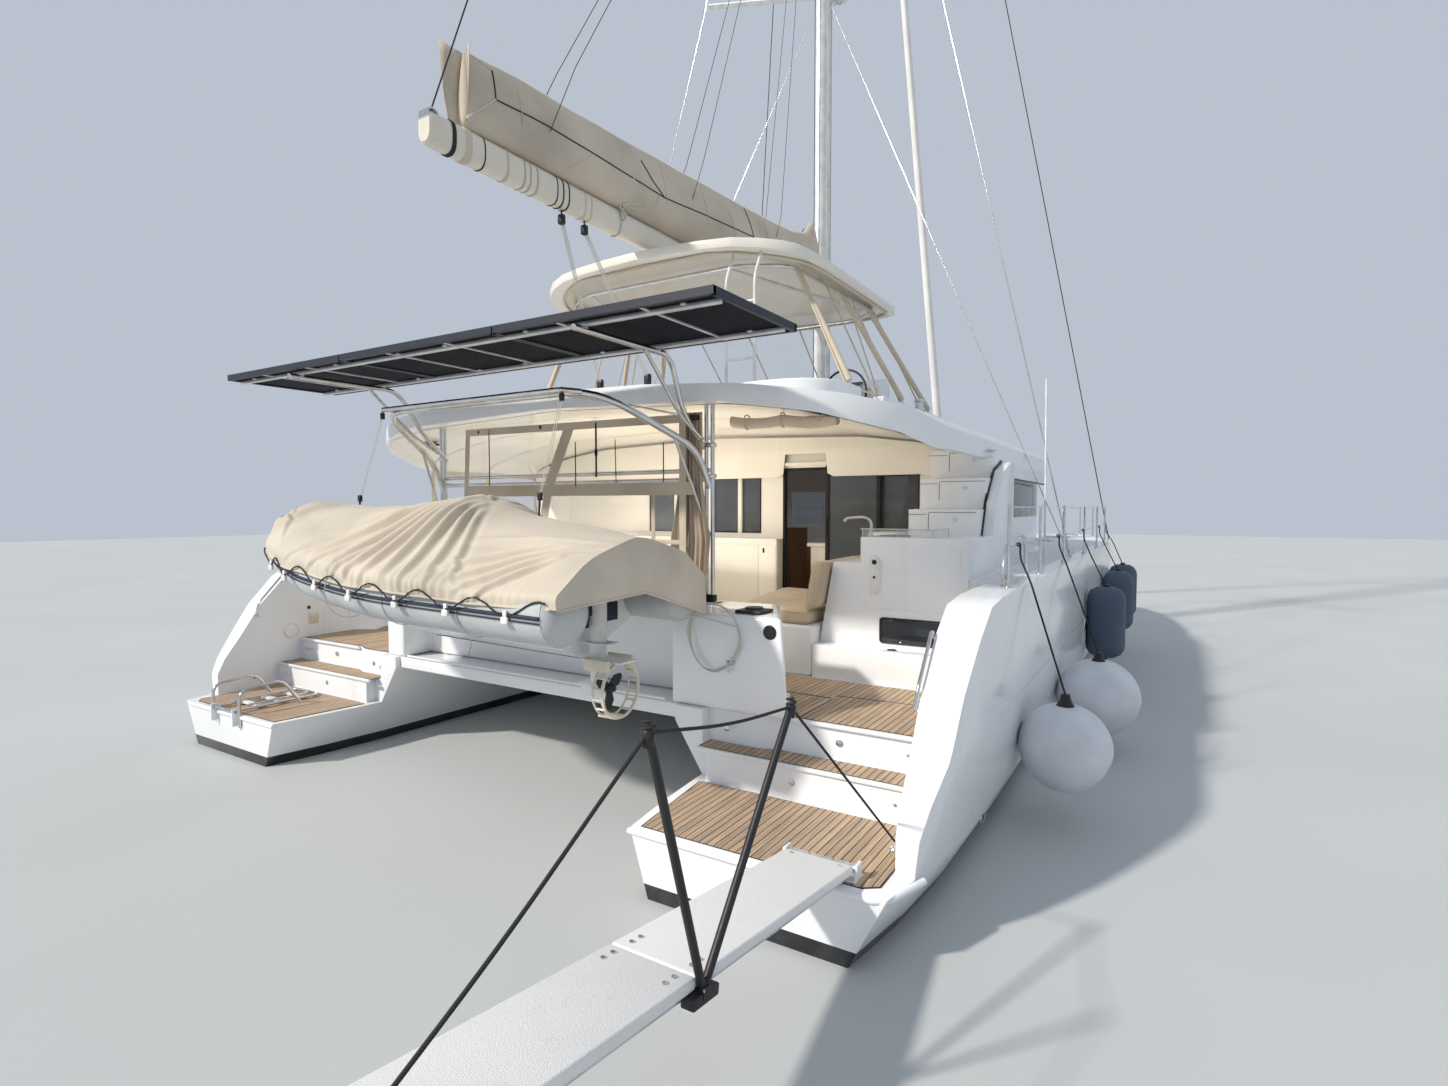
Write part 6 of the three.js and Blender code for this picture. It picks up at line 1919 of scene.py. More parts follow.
    def seats_and_screens(self) -> None:
        """Cushions on the bench, dials and a low screen at the helm, and hand rails on the roof."""
        for i, outline in enumerate((((-4.98, -1.3), (-4.42, -1.3), (-4.42, 0.9), (-4.98, 0.9)),
                                     ((-4.3, 1.62), (-2.7, 1.62), (-2.7, 2.18), (-4.3, 2.18)))):
            pad = slab("fly_cushion", outline, 3.765, 0.085, bevel=0.03, segments=3)
            swollen(pad, 3.765, 0.02, 0.025)
            dress(settle(pad, f"fly_cushion_{i}"), CUSHION)
        dials = [lathe("dial",
                       ((0.001, -0.006), (0.05, -0.006), (0.058, 0.0), (0.058, 0.01), (0.001, 0.01)),
                       (-1.083, y, 4.12), Axis.X) for y in (-1.25, -0.55)]
        fitted("helm_dials", dials, BLACK)
        screen = slab("plotter", ((-1.12, 4.4), (-0.7, 4.4), (-0.7, 4.5), (-1.12, 4.5)), -0.98, 0.02,
                      Axis.X, bevel=0.004)
        dress(screen, BLACK)
        rails = []
        for side in (-1, 1):
            for run in (((-3.55, 3.56), (-3.5, 3.66), (-2.3, 3.66), (-2.25, 3.56)),
                        ((-1.75, 3.56), (-1.7, 3.66), (-0.7, 3.66), (-0.65, 3.56))):
                rails.append(tube("rail", [(x, side * 2.66, z) for x, z in run], 0.0125, bend=0.06))
        fitted("roof_hand_rails", rails, WHITE_TUBE)


@dataclass
class Davits(Assembly):
    """Polished tube davits: twin posts, the arch over the tender, bars, stays, tackles and the solar arms."""

    post: Point = (-6.34, 1.78, BENCH)
    post_top: float = 3.55
    arch_x: float = -7.34
    arch_z: float = 3.5
    arm_y: float = 1.77
    arm_z: float = 3.798

    def build(self) -> None:
        """Builds the davits."""
        self.tubes()
        self.tackles()

    def tubes(self) -> None:
        """Every polished tube of the frame."""
        x, y, foot = self.post
        pieces = []
        for side in (-1, 1):
            for spread in (-0.032, 0.032):
                pieces.append(tube("post",
                                   ((x, side * y + spread, foot + 0.008),
                                    (x, side * y + spread, self.post_top)), 0.019, detail=4))
            pieces.append(block("plate", (x - 0.06, side * y - 0.08, foot + 0.001),
                                (x + 0.06, side * y + 0.08, foot + 0.009), 0.003))
            pieces.append(block("cap", (x - 0.024, side * y - 0.056, 3.5),
                                (x + 0.024, side * y + 0.056, 3.56), 0.01, 3))
            for z in (3.12, 2.85):
                pieces.append(block("clamp", (x - 0.028, side * y - 0.06, z - 0.02),
                                    (x + 0.028, side * y + 0.06, z + 0.02), 0.008))
            pieces.append(tube("stay", ((-6.7, side * 1.655, 3.18), (x, side * 1.78, 2.33)), 0.014))
            pieces.append(tube("arm",
                               ((x, side * 1.72, 3.1), (-6.66, side * 1.715, 3.38),
                                (-6.91, side * self.arm_y, self.arm_z),
                                (-8.02, side * self.arm_y, self.arm_z)), 0.024, bend=0.14, detail=4))
            pieces.append(tube("brace",
                               ((-6.44, side * 1.75, 3.18), (-6.74, side * 1.745, 3.34),
                                (-7.25, side * self.arm_y, self.arm_z)), 0.016, bend=0.1))
            pieces.append(lathe("end", ((0.001, -0.012), (0.02, -0.01), (0.026, 0.0), (0.026, 0.02)),
                                (-8.02, side * self.arm_y, self.arm_z), Axis.X))
        arch = ((x, 1.78, 2.75), (-6.5, 1.75, 3.08), (self.arch_x, 1.36, self.arch_z),
                (self.arch_x, -1.36, self.arch_z), (-6.5, -1.75, 3.08), (x, -1.78, 2.75))
        pieces.append(tube("arch", arch, 0.03, bend=0.32, detail=5))
        pieces.append(tube("spine",
                           ((self.arch_x, 1.2, self.arch_z), (-7.51, 1.15, 3.495), (-7.51, -1.15, 3.495),
                            (self.arch_x, -1.2, self.arch_z)), 0.022, bend=0.06))
        pieces += [tube("bar", ((x, 1.78, z), (x, -1.78, z)), 0.022, detail=4) for z in (2.9, 2.82)]
        fitted("davit_tubes", pieces, STEEL, "davit_frame")
        feet = [block("foot", (x - 0.075, side * y - 0.095, foot),
                      (x + 0.075, side * y + 0.095, foot + 0.004), 0.002) for side in (-1, 1)]
        feet += [block("boot", (x - 0.03, side * y - 0.062, foot + 0.01),
                       (x + 0.03, side * y + 0.062, foot + 0.07), 0.01) for side in (-1, 1)]
        fitted("davit_boots", feet, BLACK)

    def tackles(self) -> None:
        """Falls between black blocks, from the arch down to the tender, and their tail to the post."""
        ropes, blocks = [], []
        for side in (-1, 1):
            top, low = Vector((-7.5, side * 1.15, 3.44)), Vector((-7.745, side * 1.15, 2.66))
            for k in (-0.014, 0.014):
                ropes.append(tube("fall", (top + Vector((0, k, 0)), low + Vector((0, k * 0.6, 0))),
                                  0.003, detail=2))
            for place, high in ((top, 0.05), (low, -0.05)):
                blocks.append(block("cheek", place - Vector((0.016, 0.022, 0.034)),
                                    place + Vector((0.016, 0.022, 0.03)), 0.012, 3))
                blocks.append(tube("becket", (place, place + Vector((0, 0, high * 1.6))), 0.006))
            blocks.append(tube("strop", (low, (-7.76, side * 1.15, 2.5)), 0.008))
        for tail in (((-7.48, -1.12, 3.46), (-6.95, -1.45, 3.41), (-6.42, -1.7, 3.34)),
                     ((-7.48, -1.09, 3.46), (-6.95, -1.42, 3.42), (-6.42, -1.69, 3.36))):
            ropes.append(tube("tail", tail, 0.004, detail=2))
        blocks.append(block("cheek", (-6.5, -1.73, 3.33), (-6.4, -1.67, 3.38), 0.016, 3))
        fitted("davit_falls", ropes, ROPE_WHITE)
        fitted("davit_blocks", blocks, BLACK)


@dataclass
class SolarRoof(Assembly):
    """Three solar panels side by side over the davits, dark framed, on pale rails with cross members."""

    low: float = 3.86
    high: float = 3.905
    aft: float = -8.03
    fore: float = -6.9
    half: float = 2.9
    count: int = 3

    def build(self) -> None:
        """Builds the panels, their frames and what carries them."""
        wide = 2 * self.half / self.count
        cells, frames, struts, backs = [], [], [], []
        for i in range(self.count):
            y0, y1 = -self.half + i * wide + 0.005, -self.half + (i + 1) * wide - 0.005
            cells.append(block("cells", (self.aft + 0.02, y0 + 0.02, self.low + 0.012),
                               (self.fore - 0.02, y1 - 0.02, self.high - 0.003), 0.001, 1))
            backs.append(block("back", (self.aft + 0.02, y0 + 0.02, self.low + 0.002),
                               (self.fore - 0.02, y1 - 0.02, self.low + 0.011), 0.001, 1))
            for a, b in (((self.aft, y0), (self.aft + 0.03, y1)), ((self.fore - 0.03, y0), (self.fore, y1)),
                         ((self.aft, y0), (self.fore, y0 + 0.03)), ((self.aft, y1 - 0.03), (self.fore, y1))):
                frames.append(block("frame", (*a, self.low - 0.012), (*b, self.high), 0.002, 1))
            struts += [block("strut", (self.aft + 0.03, y - 0.012, self.low - 0.01),
                             (self.fore - 0.03, y + 0.012, self.low + 0.012), 0.002, 1)
                       for y in (y0 + wide * 0.3, y0 + wide * 0.68)]
        fitted("solar_cells_face", cells, CELLS, "solar_panels")
        fitted("solar_frames", frames, FRAME_NAVY)
        fitted("solar_backs", backs, PANEL_BACK)
        rails = [block("rail", (x - 0.016, -2.87, 3.825), (x + 0.016, 2.87, 3.858), 0.004)
                 for x in (-7.05, -7.9)]
        clips = [block("clip", (x - 0.03, y - 0.02, 3.85), (x + 0.03, y + 0.02, 3.87), 0.003)
                 for x in (-7.05, -7.9) for y in (-2.6, -1.2, -0.3, 0.3, 1.2, 2.6)]
        fitted("solar_rails", [*rails, *struts, *clips], ALLOY)


def between(rows: Sequence[Sequence[float]], key: float) -> list[float]:
    """Smoothly interpolated numbers of a table whose rows start with a falling key.

    Args:
        rows: The table.
        key: Where in the table to read.

    Returns:
        The numbers there.
    """
    for upper, lower in zip(rows, rows[1:]):
        if key >= lower[0]:
            break
    t = (upper[0] - key) / (upper[0] - lower[0])
    t = t * t * (3 - 2 * t) * 0.35 + t * 0.65
    return [a + (b - a) * t for a, b in zip(upper[1:], lower[1:])]


@dataclass
class Tender(Assembly):
    """The inflatable tender on the davits: tubes, hull, laced cover and an outboard with its guard."""

    x: float = -7.8
    radius: float = 0.21
    tube_x: float = 0.64
    low: float = 1.91
    bow: float = 2.23
    cover_rows: Sequence[Sequence[float]] = (
        (2.2, 0.10, 2.47, 2.27), (2.12, 0.22, 2.5, 2.25), (1.6, 0.56, 2.64, 2.15), (0.85, 0.78, 2.6, 2.08),
        (-0.15, 0.87, 2.62, 2.0), (-0.6, 0.875, 2.67, 1.99), (-0.95, 0.875, 2.56, 1.98),
        (-1.5, 0.865, 2.48, 1.96), (-2.16, 0.82, 2.385, 1.96))
    # Where the cover starts at the bow, how far aft its straight part runs, and its whole length
    cover_bow: float = 2.2
    cover_run: float = 4.36
    cover_length: float = 4.7
    guard_y: float = -1.93
    guard_radius: float = 0.196
    rows: int = 360
    columns: int = 160
    girth: float = 1.2
    # Each fold: place along the tender and height at its two ends, its width, its rise
    after_folds: Sequence[Sequence[float]] = (
        (-0.5, 0.98, 0.7, 0.34, 0.045, 0.026), (-0.52, 0.96, 0.42, 0.24, 0.038, 0.03),
        (-0.55, 0.95, 0.12, 0.14, 0.034, 0.034), (-0.58, 0.94, -0.1, 0.1, 0.03, 0.036),
        (-0.6, 0.92, -0.3, 0.1, 0.034, 0.036), (-0.62, 0.93, -0.52, 0.08, 0.036, 0.034),
        (-0.66, 0.94, -0.74, 0.1, 0.038, 0.032), (-0.72, 0.9, -0.98, 0.12, 0.04, 0.03),
        (-0.8, 0.84, -1.2, 0.16, 0.036, 0.024), (-2.02, 0.66, -1.06, 0.26, 0.04, 0.03),
        (-1.98, 0.6, -1.2, 0.16, 0.032, 0.032), (-1.95, 0.52, -1.34, 0.1, 0.03, 0.03),
        (-1.9, 0.44, -1.5, 0.05, 0.028, 0.026), (-2.04, 0.74, -1.1, 0.5, 0.05, 0.018),
        (-0.1, 0.66, 0.5, 0.4, 0.04, 0.016), (1.25, 0.95, 1.75, 0.35, 0.05, 0.02),
        (1.6, 0.96, 2.0, 0.3, 0.035, 0.022), (1.9, 0.8, 1.3, 0.25, 0.035, 0.016),
        (-0.3, 0.8, 0.1, 0.5, 0.03, 0.02), (-0.2, 0.4, 0.1, 0.04, 0.022, 0.02),
        (0.1, 0.36, 0.5, 0.06, 0.026, 0.016), (0.5, 0.34, 0.9, 0.08, 0.03, 0.012))
    fore_folds: Sequence[Sequence[float]] = (
        (-0.55, 0.96, 0.5, 0.3, 0.045, 0.026), (-0.6, 0.94, 0.0, 0.12, 0.04, 0.03),
        (-0.62, 0.92, -0.4, 0.1, 0.038, 0.03), (-0.66, 0.92, -0.85, 0.12, 0.04, 0.028),
        (-0.72, 0.9, -1.2, 0.16, 0.04, 0.024), (-1.98, 0.62, -1.3, 0.14, 0.036, 0.026),
        (-2.0, 0.72, -1.2, 0.4, 0.045, 0.018), (1.4, 0.94, 1.8, 0.3, 0.04, 0.018),
        (0.2, 0.6, 0.9, 0.2, 0.035, 0.014))

    def build(self) -> None:
        """Builds the tender and its engine."""
        self.tubes()
        self.hull()
        self.cover()
        self.engine()

    def route(self, out: float = 0.0, up: float = 0.0) -> list[Point]:
        """The line of the tubes' middle, moved out and up.

        Args:
            out: How far outwards.
            up: How far up.

        Returns:
            The points of the line.
        """
        half, low, top = self.tube_x, self.low + up, 2.24 + up
        side = ((half, -2.05, low), (half, -0.2, low + 0.03), (half - 0.09, 0.8, low + 0.12),
                (0.33, 1.52, top - 0.09))
        line = [(-a, y, z) for a, y, z in side] + [(0.0, self.bow - self.radius, top)] + [(a, y, z)
                for a, y, z in reversed(side)]
        smooth = bent([(self.x + a, y, z) for a, y, z in line], 0.42, 6)
        moved = []
        for i, place in enumerate(smooth):
            ahead = (smooth[min(i + 1, len(smooth) - 1)] - smooth[max(i - 1, 0)]).normalized()
            outward = Vector((-ahead.y, ahead.x, 0)).normalized()
            moved.append(tuple(place + outward * out))
        return moved

    def tubes(self) -> None:
        """Grey tubes with a dark rub strake, seams and end cones."""
        body = tube("tender_tubes", self.route(), self.radius, detail=8)
        cones = [skin("cone",
                      [circle((self.x + side * self.tube_x, y, self.low), r, Axis.Y, 32)
                       for r, y in ((0.21, -2.03), (0.2, -2.07), (0.16, -2.11), (0.09, -2.14),
                                    (0.02, -2.15))]) for side in (-1, 1)]
        fitted("tender_tubes", [body, *cones], HYPALON, "tender")
        strakes = [tube("tender_strake", self.route(self.radius, up), radius, detail=2)
                   for up, radius in ((-0.005, 0.013), (-0.036, 0.006))]
        fitted("tender_strake", strakes, HYPALON_DARK)
        seams = []
        for side in (-1, 1):
            for y in (-1.3, -0.5, 0.2):
                centre = (self.x + side * self.tube_x, y, self.low + 0.02 * (y > -1))
                seams.append(tube("seam", circle(centre, self.radius + 0.001, Axis.Y, 32), 0.0035,
                                  detail=1, closed=True))
        fitted("tender_seams", seams, HYPALON)

    def hull(self) -> None:
        """The white hull with its keel between the tubes, and the transom."""
        rows = []
        for y, half, keel, top in ((-1.64, 0.56, 1.48, 1.96), (-0.8, 0.56, 1.495, 1.97),
                                   (0.0, 0.56, 1.51, 1.98), (0.9, 0.44, 1.68, 2.06), (1.3, 0.3, 1.83, 2.12),
                                   (1.55, 0.18, 1.99, 2.18)):
            points = [(-1, top), (-1, top - 0.2), (-0.94, top - 0.24),
                      (-0.45, keel + (top - 0.22 - keel) * 0.42), (-0.05, keel + 0.005),
                      (0.05, keel + 0.005), (0.45, keel + (top - 0.22 - keel) * 0.42), (0.94, top - 0.24),
                      (1, top - 0.2), (1, top)]
            rows.append([(self.x + share * half, y, z) for share, z in points])
        dress(skin("tender_hull", rows, angle=28), WHITE)
        strip = [(self.x, y, z) for y, z in ((-1.6, 1.485), (0.0, 1.512), (0.9, 1.68), (1.5, 1.97))]
        keel = tube("tender_keel", strip, 0.012)
        patches = [block("patch", (self.x + side * 0.3 - 0.06, -1.652, 1.72),
                         (self.x + side * 0.3 + 0.06, -1.642, 1.86), 0.004) for side in (-1, 1)]
        fitted("tender_keel_strip", [keel, *patches], HYPALON_DARK)

    def section(self, y: float) -> list[Vector]:
        """The cover's outline across the tender at one place, from the after hem to the fore hem.

        Args:
            y: The place along the tender.

        Returns:
            The points of the outline.
        """
        half, peak, hem = between(self.cover_rows, y)
        tent = min(1.0, max(0.0, (-y - 0.2) / 1.6))
        side = [(1.0, hem), (1.012, hem + 0.12 - 0.04 * tent),
                (0.85 - 0.2 * tent, hem + 0.24 + 0.05 * tent), (0.35, peak - 0.045 - 0.02 * tent)]
        profile = [(-share, z) for share, z in side] + [(0.0, peak)] + side[::-1]
        curve = bent([(share * half, y, z) for share, z in profile], 0.16 * min(1.0, half), 5)
        lengths = [0.0]
        for a, b in zip(curve, curve[1:]):
            lengths.append(lengths[-1] + (b - a).length)
        row, k = [], 1
        for column in range(self.columns + 1):
            goal = lengths[-1] * column / self.columns
            while k < len(lengths) - 1 and lengths[k] < goal:
                k += 1
            t = (goal - lengths[k - 1]) / max(1e-6, lengths[k] - lengths[k - 1])
            row.append(curve[k - 1].lerp(curve[k], t))
        return row

    def flap(self, last: Sequence[Vector], steps: int = 22) -> list[list[Vector]]:
        """The rows of the cloth's end, which hangs down over the stern to a hem like an open V.

        Args:
            last: The last row of the cover.
            steps: How many rows the flap has.

        Returns:
            The rows, from the top down.
        """
        rows = []
        for k in range(1, steps + 1):
            t = k / steps
            row = []
            for column, start in enumerate(last):
                share = 2 * column / self.columns - 1
                drop = 0.04 * abs(share) if share < 0 else 0.24 * share
                foot = Vector((0.81 * share, -2.2 + 0.03 * abs(share), 1.993 - drop))
                row.append(start.lerp(foot, t)
                           - Vector((0, 0.02 * math.sin(math.pi * t) * (1 - share * share), 0)))
            rows.append(row)
        return rows

    def cover(self) -> None:
        """The laced canvas cover, tight over the ridge, pleated at its hem and closed by a flap astern."""
        rows = [self.section(self.cover_bow - self.cover_run * i / self.rows) for i in range(self.rows + 1)]
        straight = len(rows)
        rows += self.flap(rows[-1])
        cloth: list[list[Point]] = []
        for i, row in enumerate(rows):
            lifted = []
            for j, place in enumerate(row):
                ahead = row[min(j + 1, self.columns)] - row[max(j - 1, 0)]
                along_boat = rows[min(i + 1, len(rows) - 1)][j] - rows[max(i - 1, 0)][j]
                normal = along_boat.cross(ahead).normalized()
                height = 1 - abs(2 * j / self.columns - 1)
                lift = self.fold(place.y - 0.02 * max(0, i - straight), height, j * 2 < self.columns)
                lifted.append(tuple(place + normal * lift + Vector((self.x, 0, 0))))
            cloth.append(lifted)
        sheet = skin("tender_cover_cloth", cloth, closed=False, caps=False, angle=80)
        dress(sheet, COVER, "tender_cover")
        sides = [[row[0] for row in cloth[:straight]], [row[-1] for row in cloth[:straight]]]
        hem = [tube("hem", line[2::6], 0.009, detail=2) for line in (*sides, cloth[-1])]
        hem = fitted("tender_cover_hem", hem, COVER)
        lacing, ties = [], []
        for line in sides:
            path = [(x + math.copysign(0.016, x - self.x), y,
                     z + 0.045 - 0.1 * abs(math.cos(math.pi * (k - 20) / 44)) ** 2)
                    for k, (x, y, z) in list(enumerate(line))[6:-4:4]]
            lacing.append(tube("lace", path, 0.006, detail=2))
            for x, y, z in line[20::44]:
                out = math.copysign(0.012, x - self.x)
                ties.append(block("tie", (x + out - 0.01, y - 0.016, z - 0.075),
                                  (x + out + 0.006, y + 0.016, z - 0.02), 0.004))
                ties.append(block("pad", (x + out - 0.016, y - 0.03, z - 0.105),
                                  (x + out + 0.004, y + 0.03, z - 0.06), 0.007, 3))
        lacing = fitted("tender_cover_lacing", lacing, ROPE_BLACK)
        ties = fitted("tender_cover_ties", ties, WHITE_PLASTIC)

    def fold(self, y: float, height: float, after: bool) -> float:
        """How far the folds lift the cover at a place along the tender and a height from hem to ridge.

        Args:
            y: The place along the tender.
            height: From 0 at the hem to 1 at the ridge.
            after: Whether the place is on the after side.

        Returns:
            The lift in metres.
        """
        lift = 0.0
        for y0, high0, y1, high1, wide, tall in self.after_folds if after else self.fore_folds:
            across_y, across_h = y1 - y0, (high1 - high0) * self.girth
            length = math.hypot(across_y, across_h)
            along_y, along_h = y - y0, (height - high0) * self.girth
            t = (along_y * across_y + along_h * across_h) / length ** 2
            if not -0.1 < t < 1.1:
                continue
            off = (along_y * across_h - along_h * across_y) / length / (0.8 * wide)
            if abs(off) < 3.5:
                taper = math.sin(math.pi * min(1.0, max(0.0, (t + 0.1) / 1.2))) ** 0.6
                lift += tall * taper * (math.exp(-off * off) - 0.55 * math.exp(-(off - 1.7) ** 2))
        pleat = abs(math.sin(y * 38 + 1.3 * math.sin(y * 7))) ** 3 * math.exp(-(height / 0.2) ** 2)
        slack = math.exp(-((y + 0.7) / 0.9) ** 2)
        rumple = noise.noise(Vector((y * 3.1, height * 3.0, 2.0 + after)))
        return 1.35 * lift + 0.016 * pleat * slack + 0.01 * rumple - 0.006

    def engine(self) -> None:
        """The outboard: leg, plates, gearcase, bracket and the cream guard about a black propeller."""
        x, y, z = self.x, -1.8, 1.29
        leg = skin("leg",
                   [[(x + 0.05 * k * math.sin(a), y + 0.036 + 0.074 * k * math.cos(a), h)
                     for a in (2 * math.pi * i / 20 for i in range(20))]
                    for h, k in ((1.24, 0.55), (1.3, 0.8), (1.45, 0.9), (1.6, 1.0), (1.9, 1.05),
                                 (2.1, 1.25))])
        plate = block("plate", (x - 0.09, y - 0.25, 1.487), (x + 0.09, y + 0.12, 1.503), 0.006, 3)
        upper = block("plate", (x - 0.07, y - 0.1, 1.6), (x + 0.07, y + 0.12, 1.615), 0.005)
        case = lathe("gearcase",
                     ((0.001, -0.24), (0.02, -0.2), (0.04, -0.13), (0.05, -0.05), (0.05, 0.03),
                      (0.042, 0.055)), (x, y, z), Axis.Y)
        for vertex in case.data.vertices:
            vertex.co.y = 2 * y - vertex.co.y
        edit(case, lambda: bpy.ops.mesh.normals_make_consistent(inside=False))
        bracket = [block("bracket", (x - 0.12, y + 0.05, 1.72), (x - 0.07, -1.645, 1.95), 0.01),
                   block("bracket", (x + 0.07, y + 0.05, 1.72), (x + 0.12, -1.645, 1.95), 0.01),
                   block("saddle", (x - 0.11, y + 0.04, 1.8), (x + 0.11, y + 0.1, 1.95), 0.02, 3)]
        fitted("outboard_leg", [leg, plate, upper, case], WHITE_PLASTIC, "outboard")
        rod = block("rod", (x - 0.13, y + 0.06, 1.93), (x + 0.13, y + 0.085, 1.955), 0.008)
        fitted("outboard_bracket", [*bracket, rod], BLACK_IRON)
        guard = []
        for step in (-0.045, 0.045):
            hoop = circle((x, self.guard_y + step, z), self.guard_radius, Axis.Y, 40)
            guard.append(tube("hoop", hoop, 0.008, detail=3, closed=True))
        for i in range(16):
            a = 2 * math.pi * (i + 0.5) / 16
            place = (x + self.guard_radius * math.cos(a), z + self.guard_radius * math.sin(a))
            guard.append(tube("slat", ((place[0], -1.975, place[1]), (place[0], -1.885, place[1])),
                              0.0095, detail=2))
        band = skin("band",
                    [circle((x, self.guard_y + step, z), r, Axis.Y, 40)
                     for r, step in ((0.192, -0.052), (0.202, -0.052), (0.202, -0.03), (0.192, -0.03),
                                     (0.192, -0.052))], caps=False)
        arms = [block("arm", (x + side * 0.13 - 0.012, -1.98, 1.43),
                      (x + side * 0.13 + 0.012, -1.75, 1.515), 0.006) for side in (-1, 1)]
        arms.append(block("foot", (x - 0.05, -1.97, 1.085), (x + 0.05, -1.8, 1.1), 0.006))
        fitted("propeller_guard", [*guard, band, *arms], CREAM_PLASTIC)
        self.rework("outboard_propeller", BLACK, bevel=0.0015, angle=60, body="outboard_propeller")


